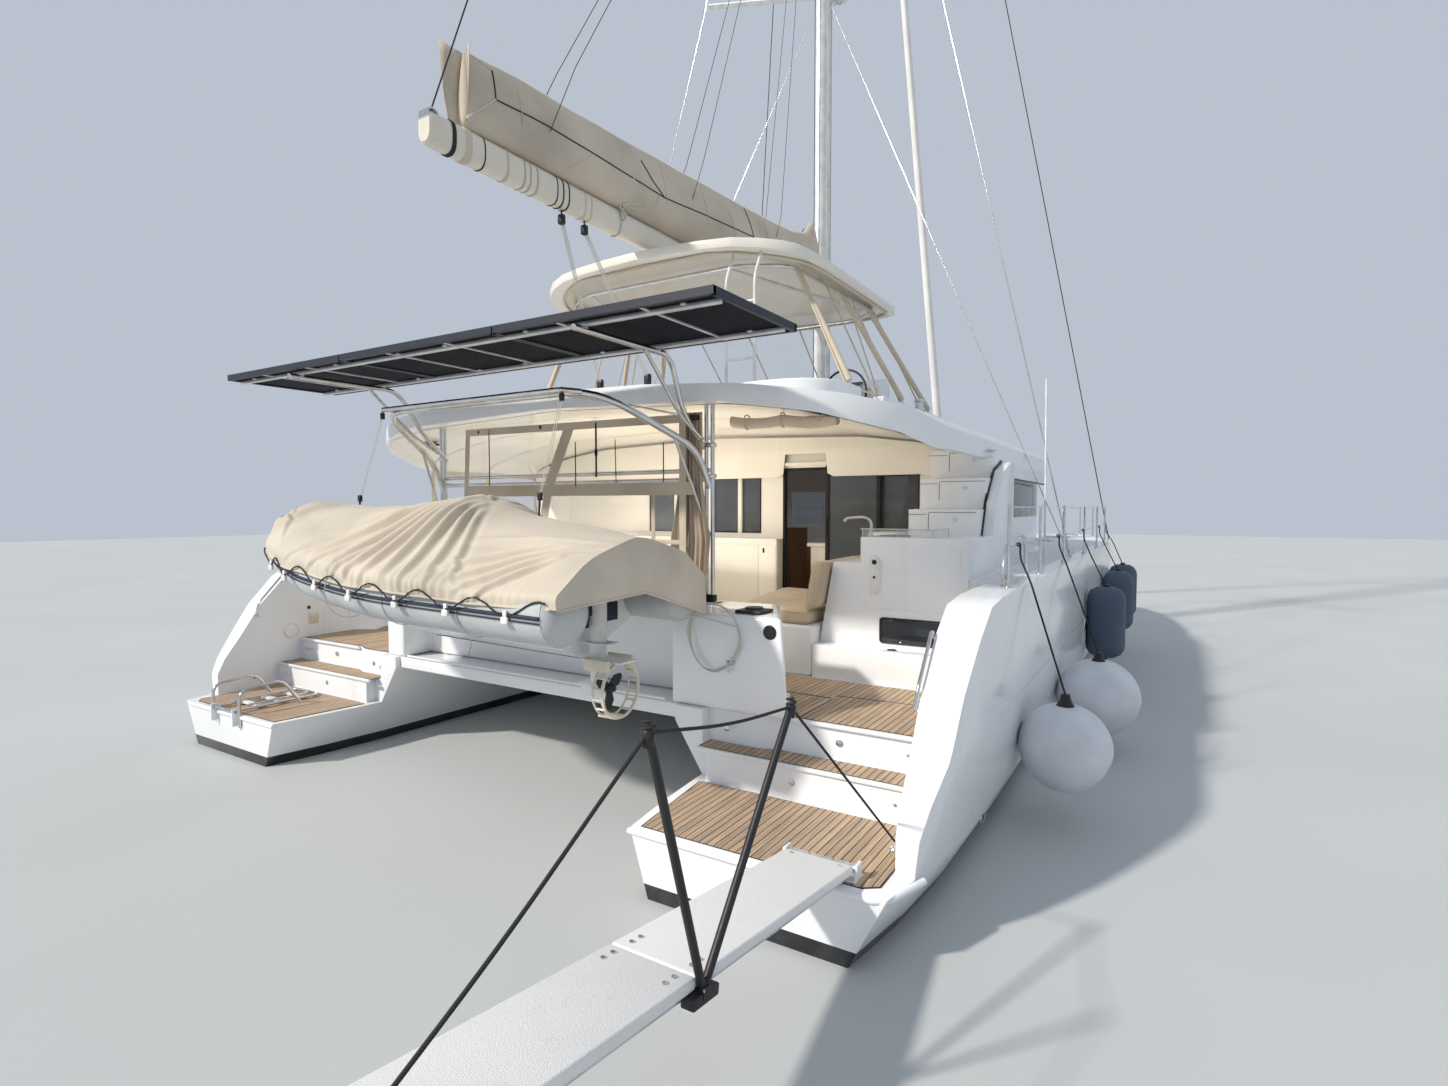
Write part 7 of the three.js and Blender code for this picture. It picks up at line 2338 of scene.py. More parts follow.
@dataclass
class Rig(Assembly):
    """Mast, spreaders, stays, boom with its sail bag, lazyjacks, topping lift, mainsheet and radar."""

    boom_z: float = 5.66
    pivot_x: float = -0.265
    hounds: float = 24.5
    eyes: Sequence[float] = (16.3, 17.1, 26.86)
    boom_high: float = 0.14
    boom_wide: float = 0.09
    # Bands round the boom: place along it and half the width
    dark_bands: Outline = ((-7.62, 0.02), (-7.3, 0.006), (-6.34, 0.008), (-6.26, 0.008), (-6.42, 0.006))
    light_bands: Outline = ((-7.47, 0.034), (-7.04, 0.014), (-6.84, 0.01), (-6.77, 0.01), (-6.68, 0.012),
                            (-6.02, 0.01), (-5.93, 0.01))
    # Runs of places (x, z) on the starboard side of the sail bag
    dark_marks: Sequence[Outline] = (
        ((-7.18, 6.15), (-6.6, 6.17), (-5.97, 6.16), (-5.35, 6.14), (-4.8, 6.12), (-4.0, 6.2), (-2.78, 6.3),
         (-1.2, 6.42)), ((-7.18, 6.15), (-7.17, 6.42)), ((-5.14, 6.42), (-5.0, 6.25), (-4.8, 6.12)),
        ((-2.78, 6.7), (-2.74, 6.3)))
    pale_marks: Sequence[Outline] = (
        ((-7.18, 6.15), (-7.47, 5.88)), ((-5.35, 6.14), (-5.22, 6.02), (-5.24, 5.9), (-5.47, 5.84)),
        ((-4.89, 6.11), (-4.98, 5.95), (-5.23, 5.85), (-5.47, 5.84)))
    sewn_marks: Sequence[Outline] = (((-5.94, 6.17), (-6.31, 5.88)), ((-7.18, 6.42), (-7.4, 6.46)),
                                     ((-3.3, 6.5), (-3.2, 5.9)))

    def build(self) -> None:
        """Builds the rig from the mast out."""
        self.rework("mast", MAST_WHITE, bevel=0.004, segments=2, angle=40)
        for side, sign in (("port", 1), ("starboard", -1)):
            dress(self.shroud(sign), STEEL, f"shrouds_{side}")
        self.rework("furled_headsail", GENOA, bevel=0.0, angle=50)
        self.mast_fittings()
        self.boom()
        self.bag()
        self.lines()
        self.mainsheet()

    def shroud(self, sign: int) -> Piece:
        """The cap shroud over both spreader tips, with its turnbuckle, chainplate and the lower diagonals.

        Args:
            sign: 1 for port, -1 for starboard.

        Returns:
            The joined piece.
        """
        route = ((-1.5, sign * 4.12, 1.96), (-0.712, sign * 1.892, 11.21), (-0.572, sign * 1.542, 18.76),
                 (-0.02, sign * 0.12, self.hounds))
        lower = ((-1.42, sign * 4.1, 1.97), (-0.02, sign * 0.11, 11.0))
        diagonal = ((-0.712, sign * 1.88, 11.23), (-0.02, sign * 0.11, 18.5))
        wires = [tube("wire", route, 0.0085, detail=2), tube("wire", lower, 0.0075, detail=2),
                 tube("wire", diagonal, 0.006, detail=2)]
        up = (Vector(route[1]) - Vector(route[0])).normalized()
        screw = lathe("screw",
                      ((0.001, 0), (0.012, 0), (0.018, 0.03), (0.018, 0.26), (0.011, 0.3), (0.001, 0.31)),
                      (0, 0, 0))
        screw.data.transform(Matrix.Translation(Vector(route[0]) + up * 0.1)
                             @ Vector((0, 0, 1)).rotation_difference(up).to_matrix().to_4x4())
        plate = block("plate", (-1.56, sign * 4.12 - 0.01, 1.951), (-1.36, sign * 4.12 + 0.01, 2.05), 0.004)
        return joined(f"shroud_{'port' if sign > 0 else 'starboard'}", [*wires, screw, plate])

    def mast_fittings(self) -> None:
        """Radar dome on its bracket, steaming light, sail track, sheaves and halyards along the mast."""
        dome = lathe("dome",
                     ((0.001, 0.0), (0.2, 0.0), (0.25, 0.03), (0.262, 0.09), (0.25, 0.16), (0.19, 0.215),
                      (0.001, 0.235)), (0.52, 0, 11.42), Axis.Z, 40)
        dress(dome, WHITE_PLASTIC)
        bracket = [tube("arm", ((0.17, y, 11.05), (0.52, y * 0.6, 11.4)), 0.014) for y in (-0.12, 0.12)]
        bracket += [tube("arm", ((0.17, y, 11.4), (0.66, y * 0.6, 11.4)), 0.014) for y in (-0.1, 0.1)]
        bracket.append(tube("guard", ((0.3, -0.2, 11.4), (0.82, 0.0, 11.4), (0.3, 0.2, 11.4)), 0.01,
                            bend=0.25))
        fitted("radar_bracket", bracket, ALLOY)
        lamp = lathe("lamp", ((0.001, 0), (0.035, 0), (0.04, 0.05), (0.02, 0.07), (0.001, 0.07)),
                     (0.24, 0, 9.6))
        dress(lamp, BLACK)
        track = [block("track", (-0.216, -0.016, 5.9), (-0.196, 0.016, 26.7), 0.003, 1)]
        track += [block("exit", (-0.06, side * 0.118 - 0.004, z),
                        (0.02, side * 0.118 + 0.004, z + 0.16), 0.003, 1) for side in (-1, 1)
                  for z in (5.0, 5.4, 7.9)]
        fitted("mast_track", track, ALLOY)
        eyes = []
        for z in self.eyes:
            ring = circle((self.pivot_x, 0, z), 0.032, Axis.Z, 20)
            eyes += [tube("ring", ring, 0.006, closed=True),
                     tube("stem", ((-0.19, 0, z), (self.pivot_x + 0.03, 0, z)), 0.008)]
        fitted("mast_eyes", eyes, STEEL)
        halyards = [tube("halyard", ((x, y, 4.3), (x, y, 26.8)), 0.006, detail=1)
                    for x, y in ((-0.1, -0.115), (0.03, -0.128), (-0.1, 0.115), (0.05, 0.126))]
        fitted("halyards_light", halyards[:2], ROPE_WHITE)
        fitted("halyards_dark", halyards[2:], ROPE_BLACK)
        winch = lathe("mast_winch",
                      ((0.001, 0.0), (0.06, 0.0), (0.05, 0.03), (0.045, 0.08), (0.055, 0.1), (0.001, 0.12)),
                      (0.0, 0.12, 4.35), Axis.Y)
        dress(winch, STEEL)
        dress(tube("masthead_stub", ((-0.4, 0.0, 26.97), (-0.4, 0.0, 27.0)), 0.008), BLACK)

    def section(self, x: float, high: float, wide: float) -> list[Point]:
        """One rounded section of the boom.

        Args:
            x: The section's place along the boat.
            high: Half its height.
            wide: Half its width.

        Returns:
            The points round it.
        """
        z = self.boom_z
        return [(x, wide * math.copysign(abs(math.cos(a)) ** 0.75, math.cos(a)),
                 z + high * math.copysign(abs(math.sin(a)) ** 0.75, math.sin(a)))
                for a in (2 * math.pi * i / 28 for i in range(28))]

    def boom(self) -> None:
        """The rounded boom with its end sheaves, bands and gooseneck eye, on the boom body."""
        high, wide = self.boom_high, self.boom_wide
        stations = ((-7.85, 0.115, 0.07), (-7.83, 0.135, 0.085), (-7.5, high, wide), (-0.45, high, wide),
                    (-0.36, 0.12, 0.08))
        spar = skin("boom_spar", [self.section(*row) for row in stations], angle=40)
        eye = [block("fork", (-0.365, -0.028, 5.61), (-0.29, 0.028, 5.71), 0.008), self.collar("eye", -0.265)]
        fitted("boom_spar", [spar, *eye], BOOM_CREAM, "boom", body="boom")
        end = [lathe("sheave",
                     ((0.045, -0.012), (0.06, -0.012), (0.06, 0.012), (0.045, 0.012), (0.045, -0.012)),
                     (-7.8, y, self.boom_z + 0.1), Axis.Y) for y in (-0.045, -0.015, 0.015, 0.045)]
        fitted("boom_sheaves", end, STEEL, body="boom")
        for name, finish, bands in (("dark", ROPE_BLACK, self.dark_bands),
                                    ("light", CURTAIN_CLOTH, self.light_bands)):
            rings = []
            for x, half in bands:
                rows = [[(px, y * grow, self.boom_z + (z - self.boom_z) * grow)
                         for px, y, z in self.section(x + step, high, wide)]
                        for step, grow in ((-half, 1.0), (-half, 1.035), (half, 1.035), (half, 1.0))]
                rings.append(skin("band", rows, caps=False))
            fitted(f"boom_bands_{name}", rings, finish, body="boom")

    def collar(self, name: str, x: float) -> Piece:
        """The eye that turns on the gooseneck's pin.

        Args:
            name: The eye's name.
            x: Its place along the boat.

        Returns:
            The finished piece.
        """
        z = self.boom_z
        rings = [circle((x, 0, z + h), r, Axis.Z, 28)
                 for r, h in ((0.0169, -0.054), (0.036, -0.054), (0.038, -0.05), (0.038, 0.05),
                              (0.036, 0.054), (0.0169, 0.054), (0.0169, -0.054))]
        return skin(name, rings, caps=False)

    def bag_ring(self, x: float, half: float, high: float, lean: float = 0.0) -> list[Point]:
        """One section of the stowed sail in its bag: full below, drawn in to the zip on top.

        Args:
            x: The section's place along the boat.
            half: Half its width.
            high: Its height.
            lean: How far forward its top leans.

        Returns:
            The points round it.
        """
        base = self.boom_z + 0.141
        half_profile = ((0.0, 0.0), (0.55, 0.005), (0.92, 0.09), (1.02, 0.22), (1.0, 0.38), (0.86, 0.58),
                        (0.55, 0.8), (0.2, 0.96), (0.0, 1.0))
        line = [(share * half, base + rise * high) for share, rise in half_profile]
        line += [(-y, z) for y, z in reversed(line[1:-1])]
        return [(x + lean * (z - base) / max(high, 0.1), y, z) for y, z in line]

    def bag(self) -> None:
        """The beige sail bag, its seams, zip, reef lines and its open after end."""
        stations = ((-7.5, 0.05, 0.66, 0.04), (-7.42, 0.085, 0.68, 0.03), (-6.8, 0.13, 0.74, 0),
                    (-6.2, 0.15, 0.76, 0), (-5.5, 0.165, 0.8, 0), (-4.6, 0.185, 0.86, 0),
                    (-3.6, 0.2, 0.93, 0), (-2.6, 0.215, 1.0, 0), (-1.8, 0.23, 1.06, 0),
                    (-1.2, 0.235, 1.13, 0), (-0.75, 0.225, 1.25, 0), (-0.42, 0.19, 1.56, 0))
        fine = []
        for a, b in zip(stations, stations[1:]):
            steps = max(2, round((b[0] - a[0]) / 0.06))
            for i in range(steps):
                t = i / steps
                x, half, high, lean = (p + (q - p) * t for p, q in zip(a, b))
                ring = self.bag_ring(x, half, high, lean)
                sag = [0.012 * noise.noise(Vector((x * 2.2, y * 6, z * 3)))
                       + 0.006 * noise.noise(Vector((x * 8, y * 14, z * 5))) for _, y, z in ring]
                fine.append([(p[0], p[1] * (1 + s * 3), p[2] + s * 0.6) for p, s in zip(ring, sag)])
        fine.append(self.bag_ring(*stations[-1]))
        bag = skin("sail_bag_cloth", fine, angle=80)
        modify(bag, "SUBSURF", levels=1, render_levels=1)
        dress(bag, SAILCLOTH, "sail_bag", body="boom")
        seams = [tube("seam", [self.on_bag(x, 0.46) for x in (-7.3 + 0.23 * i for i in range(30))],
                      0.006, detail=2)]
        for run in self.dark_marks:
            seams.append(tube("seam", self.on_starboard(run), 0.0065, detail=2))
        seams.append(tube("zip", [self.on_bag(x, 0.02) for x in (-7.4 + 0.2 * i for i in range(35))],
                          0.009, detail=2))
        fitted("sail_bag_seams", seams, ROPE_BLACK, body="boom")
        sewing = [tube("sewing", self.on_starboard(run), 0.004, detail=1) for run in self.sewn_marks]
        fitted("sail_bag_sewing", sewing, CURTAIN_CLOTH, body="boom")
        cords = [tube("cord", self.on_starboard(run), 0.008, detail=2) for run in self.pale_marks]
        for x, z, radius in ((-7.47, 5.86, 0.022), (-5.47, 5.8, 0.03), (-5.44, 5.72, 0.04)):
            knot = [(x + radius * math.cos(a), -0.105 - 0.01 * math.sin(2 * a), z + radius * math.sin(a))
                    for a in (math.pi * i / 8 for i in range(16))]
            cords.append(tube("knot", knot, 0.009, detail=2, closed=True))
        cords.append(tube("under",
                          [(-5.47, y, self.boom_z + (z - self.boom_z) * 1.05)
                           for _, y, z in self.section(-5.47, self.boom_high, 0.098)], 0.008, detail=2,
                          closed=True))
        fitted("sail_bag_cords", cords, ROPE_WHITE, body="boom")
        ties = [tube("tie", [self.on_bag(x, s / 10) for s in range(-10, 11)], 0.007, bend=0.03, detail=2)
                for x in (-6.9, -4.75, -3.9, -2.3, -1.1)]
        fitted("sail_bag_ties", ties, CURTAIN_CLOTH, body="boom")
        flaps = []
        for side, out in ((1, 0.17), (-1, 0.03)):
            rows = [[(-7.44 - out * s * (0.85 + 0.15 * t),
                      side * (0.03 + 0.015 * math.sin(4 * t) + 0.09 * s * t),
                      5.83 + (0.62 + 0.06 * s) * t) for t in (i / 8 for i in range(9))]
                    for s in (0.0, 0.35, 0.7, 1.0)]
            flaps.append(skin("flap", rows, closed=False, caps=False))
        dress(modify(joined("sail_bag_flap", flaps), "SOLIDIFY", thickness=0.004), SAILCLOTH, body="boom")

    @staticmethod
    def on_starboard(run: Outline) -> list[Point]:
        """A run of places (x, z) laid on the bag's starboard side.

        Args:
            run: Places (x, z), in order.

        Returns:
            The points on the cloth.
        """
        bag = bpy.data.objects["sail_bag_cloth"]
        laid = []
        for (x0, z0), (x1, z1) in zip(run, run[1:]):
            steps = max(1, round(math.hypot(x1 - x0, z1 - z0) / 0.05))
            for i in range(steps + 1):
                x, z = x0 + (x1 - x0) * i / steps, z0 + (z1 - z0) * i / steps
                hit, place, normal, _ = bag.ray_cast(Vector((x, -1, z)), Vector((0, 1, 0)))
                if hit and (not laid or (place - Vector(laid[-1])).length > 0.02):
                    laid.append(tuple(place + normal * 0.003))
        return laid

    def on_bag(self, x: float, share: float) -> Point:
        """A point on the bag's skin: share runs from the boom (1) over the top (0) to the other side (-1).

        Args:
            x: The place along the boat.
            share: The place round the bag.

        Returns:
            The point.
        """
        bag = bpy.data.objects["sail_bag_cloth"]
        high = 0.7 + (x + 7.4) * 0.062 + max(0.0, x + 1.2) * 0.5
        angle = share * math.radians(125)
        middle = Vector((x, 0, self.boom_z + 0.14 + high * 0.45))
        start = middle + Vector((0, math.sin(angle), math.cos(angle)))
        hit, place, _, _ = bag.ray_cast(start, middle - start)
        return tuple(place + (start - middle).normalized() * 0.003) if hit else tuple(middle)

    def lines(self) -> None:
        """Topping lift, lazyjacks and a running line that stands clear of the side deck."""
        lift = tube("topping_lift", ((-7.78, 0, self.boom_z + 0.16), (self.pivot_x, 0, self.eyes[2])),
                    0.007, detail=2)
        dress(lift, ROPE_BLACK, body="boom")
        jacks = []
        for side in (-1, 1):
            for x in (-6.6, -4.3, -2.2):
                jacks.append(tube("jack",
                                  ((x, side * 0.17, 6.1), (x + 0.4, side * 0.13, 6.9),
                                   (self.pivot_x, side * 0.012, self.eyes[x < -5])), 0.004, detail=1))
        fitted("lazyjacks", jacks, ROPE_BLACK, body="boom")
        for side, y in (("starboard", -1), ("port", 1)):
            route = ((4.5, y * 4.11, 1.9503), (4.5, y * 4.11, 2.01), (0.0, y * 0.18, 24.2),
                     (0.0, y * 0.12, 24.2))
            dress(tube(f"running_line_{side}_cord", route, 0.009, detail=3),
                  ROPE_BLACK, f"running_line_{side}")

    def mainsheet(self) -> None:
        """Two tackles from the boom down to the after coaming, whose falls ride on no body."""
        ropes, low_blocks, high_blocks = [], [], []
        for x, y, foot_y in ((-6.28, 0.0, 0.55), (-5.95, 0.0, -0.15)):
            top, low = Vector((x, y, 5.43)), Vector((-5.09, foot_y, 4.02))
            for k in (-0.02, 0.0, 0.02):
                part = [top.lerp(low, i / 24) + Vector((0, k, 0)) for i in range(25)]
                ropes.append(tube("part", part, 0.0055, detail=1))
            for blocks, middle, size, bevel in ((high_blocks, top, Vector((0.03, 0.035, 0.05)), 0.018),
                                                (low_blocks, low, Vector((0.03, 0.04, 0.06)), 0.02)):
                blocks.append(block("cheek", middle - size, middle + size, bevel, 3))
            high_blocks.append(tube("strop", (top, (x, 0, 5.53)), 0.008))
            low_blocks.append(tube("shank", (low, (-5.085, foot_y, 3.87)), 0.01))
        sheet = joined("mainsheet", ropes)
        dress(sheet, ROPE_WHITE, body="")
        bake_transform(sheet)
        fitted("mainsheet_high_blocks", high_blocks, BLACK, body="boom")
        fitted("mainsheet_low_blocks", low_blocks, BLACK)


@dataclass
class DeckGear(Assembly):
    """Guardrails, forward beam, nets and small deck fittings."""

    posts: Outline = ((-5.75, 4.17), (-4.3, 4.18), (-2.6, 4.18), (-0.5, 4.18), (1.3, 4.18), (3.1, 4.15),
                      (4.9, 4.01), (6.6, 3.64), (7.5, 3.29))
    deck: float = DECK
    high: float = 0.64

    def build(self) -> None:
        """Builds the deck gear."""
        for sign, side in ((1, "port"), (-1, "starboard")):
            dress(self.rail(sign), STEEL, f"guardrail_{side}")
            self.rework(f"net_{side}", NET, bevel=0.0)
            self.net_lacing(sign, side)
        self.rework("forward_beam", ALLOY, bevel=0.006, angle=40)
        self.antenna()
        self.windlass()

    def rail(self, sign: int) -> Piece:
        """Stanchions with feet and caps, two wires and the bow pulpit.

        Args:
            sign: 1 for port, -1 for starboard.

        Returns:
            The joined piece.
        """
        pieces = []
        top = self.deck + self.high
        for x, y in self.posts:
            y *= sign
            pieces.append(tube("post", ((x, y, self.deck + 0.001), (x, y, top)), 0.0125))
            pieces.append(lathe("foot",
                                ((0.001, 0), (0.036, 0), (0.034, 0.008), (0.018, 0.02), (0.016, 0.08),
                                 (0.001, 0.08)), (x, y, self.deck + 0.0005), Axis.Z, 16))
            pieces.append(lathe("cap", ((0.001, 0), (0.015, 0), (0.012, 0.014), (0.001, 0.018)),
                                (x, y, top - 0.006), Axis.Z, 12))
        for height in (self.high - 0.012, self.high / 2):
            pieces.append(tube("wire", [(x, sign * y, self.deck + height) for x, y in self.posts],
                               0.005, detail=1))
        route = [(7.5, 3.29, top - 0.01), (7.78, 3.14, top - 0.01), (7.64, 3.01, top - 0.01),
                 (7.2, 2.96, top - 0.01), (7.14, 2.96, self.deck + 0.2), (7.14, 2.96, self.deck + 0.001)]
        pieces.append(tube("pulpit", [(x, sign * y, z) for x, y, z in route], 0.0135, bend=0.09, detail=4))
        return joined(f"guardrail_tubes_{'port' if sign > 0 else 'starboard'}", pieces)

    @staticmethod
    def net_lacing(sign: int, side: str) -> None:
        """The cord that laces the net to the beam, the deck and the spine.

        Args:
            sign: 1 for port, -1 for starboard.
            side: The side's name.
        """
        low, high = (Vector(corner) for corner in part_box(f"net_{side}"))
        z = high.z + 0.004
        edge, count = [], 60
        inner = 0.1 * sign
        for i in range(count):
            edge.append((low.x + (high.x - low.x) * i / (count - 1),
                         inner + sign * (0.02 if i % 2 else 0.0), z))
        line = [tube("lace", edge, 0.004, detail=1)]
        reach = 1.75 * sign
        for x in (low.x + 0.02, high.x - 0.02):
            line.append(tube("lace",
                             [(x + (0.02 if i % 2 else 0.0), inner + (reach - inner) * i / 39, z)
                              for i in range(40)], 0.004, detail=1))
        fitted(f"net_lacing_{side}", line, ROPE_WHITE)

    @staticmethod
    def antenna() -> None:
        """A slim pole aerial on the starboard side deck."""
        base = lathe("base",
                     ((0.001, 0), (0.035, 0), (0.03, 0.02), (0.02, 0.03), (0.02, 0.16), (0.012, 0.2),
                      (0.001, 0.2)), (-2.9, -4.02, 1.95))
        whip = tube("whip", ((-2.9, -4.02, 2.1), (-2.88, -4.0, 4.0)), 0.011)
        fitted("aerial", [base, whip], WHITE_TUBE)

    @staticmethod
    def windlass() -> None:
        """The anchor windlass, the bow roller's cheeks at the spine's tip and two winches on the coaming."""
        drum = lathe("drum",
                     ((0.001, 0.0), (0.11, 0.0), (0.1, 0.02), (0.075, 0.05), (0.075, 0.11), (0.1, 0.13),
                      (0.09, 0.17), (0.001, 0.19)), (3.9, 0.0, 1.955), Axis.Z, 32)
        seat = block("seat", (3.74, -0.16, 1.951), (4.2, 0.16, 1.967), 0.006)
        cheeks = [block("cheek", (8.0, y - 0.006, 1.84), (8.16, y + 0.006, 1.95), 0.004)
                  for y in (-0.06, 0.06)]
        fitted("windlass", [drum, seat, *cheeks], STEEL)
        winches = [lathe("winch",
                         ((0.001, 0.0), (0.085, 0.0), (0.07, 0.03), (0.055, 0.06), (0.055, 0.11),
                          (0.075, 0.13), (0.05, 0.16), (0.001, 0.17)), (x, y, 3.87), Axis.Z, 28)
                   for x, y in ((-1.9, -2.28), (-1.9, 2.28))]
        fitted("winches", winches, STEEL)


@dataclass
class Fenders(Assembly):
    """Two white ball fenders and three navy cylinders along the starboard side, on black lanyards."""

    knot_z: float = 2.266
    half: float = 0.475

    def build(self) -> None:
        """Builds each fender with its eye and lanyard."""
        for name, at, radius, wire_y in (("ball_aft", (-5.35, -4.55, 0.64), 0.355, -4.1728),
                                         ("ball_fore", (-3.1, -4.6, 0.56), 0.41, -4.18)):
            self.ball(name, at, radius, wire_y)
        for name, at, radius, wire_y in (("cylinder_aft", (-0.7, -4.48, 1.04), 0.24, -4.18),
                                         ("cylinder_mid", (1.7, -4.47, 1.08), 0.23, -4.1733),
                                         ("cylinder_fore", (3.3, -4.44, 1.08), 0.23, -4.1344)):
            self.cylinder(name, at, radius, wire_y)

    def press(self, piece: Piece) -> Piece:
        """Flattens what would go through the topside against it.

        Args:
            piece: A fender or its eye.

        Returns:
            The same piece.
        """
        for vertex in piece.data.vertices:
            x, y, z = vertex.co
            if z < DECK:
                vertex.co.y = min(y, -topside(x, max(0.0, z)) - 0.003)
        return piece

    def ball(self, name: str, at: Point, radius: float, wire_y: float) -> None:
        """A pear-shaped buoy that hangs by a black conical eye.

        Args:
            name: The fender's name.
            at: Its middle.
            radius: Its radius.
            wire_y: How far across the guard wire is.
        """
        profile = [(radius * math.sin(a) * (1 - 0.10 * max(0.0, math.cos(a))), -radius * math.cos(a))
                   for a in (math.pi * (0.002 + 0.9 * i / 22) for i in range(23))]
        body = lathe(f"fender_{name}_skin", profile, at, Axis.Z, 40)
        dress(self.press(body), FENDER_WHITE, f"fender_{name}")
        top = at[2] + radius * 0.93
        eye = lathe(f"fender_{name}_eye",
                    ((0.11, -0.035), (0.075, 0.0), (0.045, 0.05), (0.035, 0.1), (0.001, 0.11)),
                    (at[0], at[1], top), Axis.Z, 24)
        dress(self.press(eye), BLACK)
        self.lanyard(name, (at[0], at[1], top + 0.09), wire_y)

    def cylinder(self, name: str, at: Point, radius: float, wire_y: float) -> None:
        """A long fender in a navy cover with ribbed black ends.

        Args:
            name: The fender's name.
            at: Its middle.
            radius: Its radius.
            wire_y: How far across the guard wire is.
        """
        half = self.half
        profile = ((0.03, -half), (radius * 0.5, -half + 0.005), (radius * 0.8, -half + 0.05),
                   (radius * 0.97, -half + 0.12), (radius, -half + 0.18), (radius, half - 0.18),
                   (radius * 0.97, half - 0.12), (radius * 0.8, half - 0.05), (radius * 0.5, half - 0.005),
                   (0.03, half))
        body = lathe(f"fender_{name}_skin", profile, at, Axis.Z, 36)
        dress(self.press(body), FENDER_NAVY, f"fender_{name}")
        ends = [lathe("end", ((0.001, 0.0), (0.035, 0.0), (0.045, side * -0.03), (0.09, side * -0.045)),
                      (at[0], at[1], at[2] + side * (half + 0.03)), Axis.Z) for side in (-1, 1)]
        fitted(f"fender_{name}_ends", [self.press(end) for end in ends], BLACK)
        self.lanyard(name, (at[0], at[1], at[2] + half), wire_y)

    def lanyard(self, name: str, start: Point, wire_y: float) -> None:
        """The black line from the fender's eye up to a hitch round the lower guard wire.

        Args:
            name: The fender's name.
            start: Where it leaves the fender.
            wire_y: How far across the guard wire is.
        """
        x = start[0]
        route = (start, (x, -4.272, 1.96), (x, wire_y - 0.012, 2.16), (x, wire_y - 0.012, self.knot_z))
        line = tube("line", route, 0.008, bend=0.05, detail=2)
        hitch = tube("hitch",
                     [(x + dx, wire_y + 0.014 * math.cos(a), self.knot_z + 0.004 + 0.014 * math.sin(a))
                      for a, dx in ((0.9 * i, -0.02 + 0.0028 * i) for i in range(15))], 0.006, detail=2)
        fitted(f"fender_{name}_lanyard", [line, hitch], ROPE_BLACK)


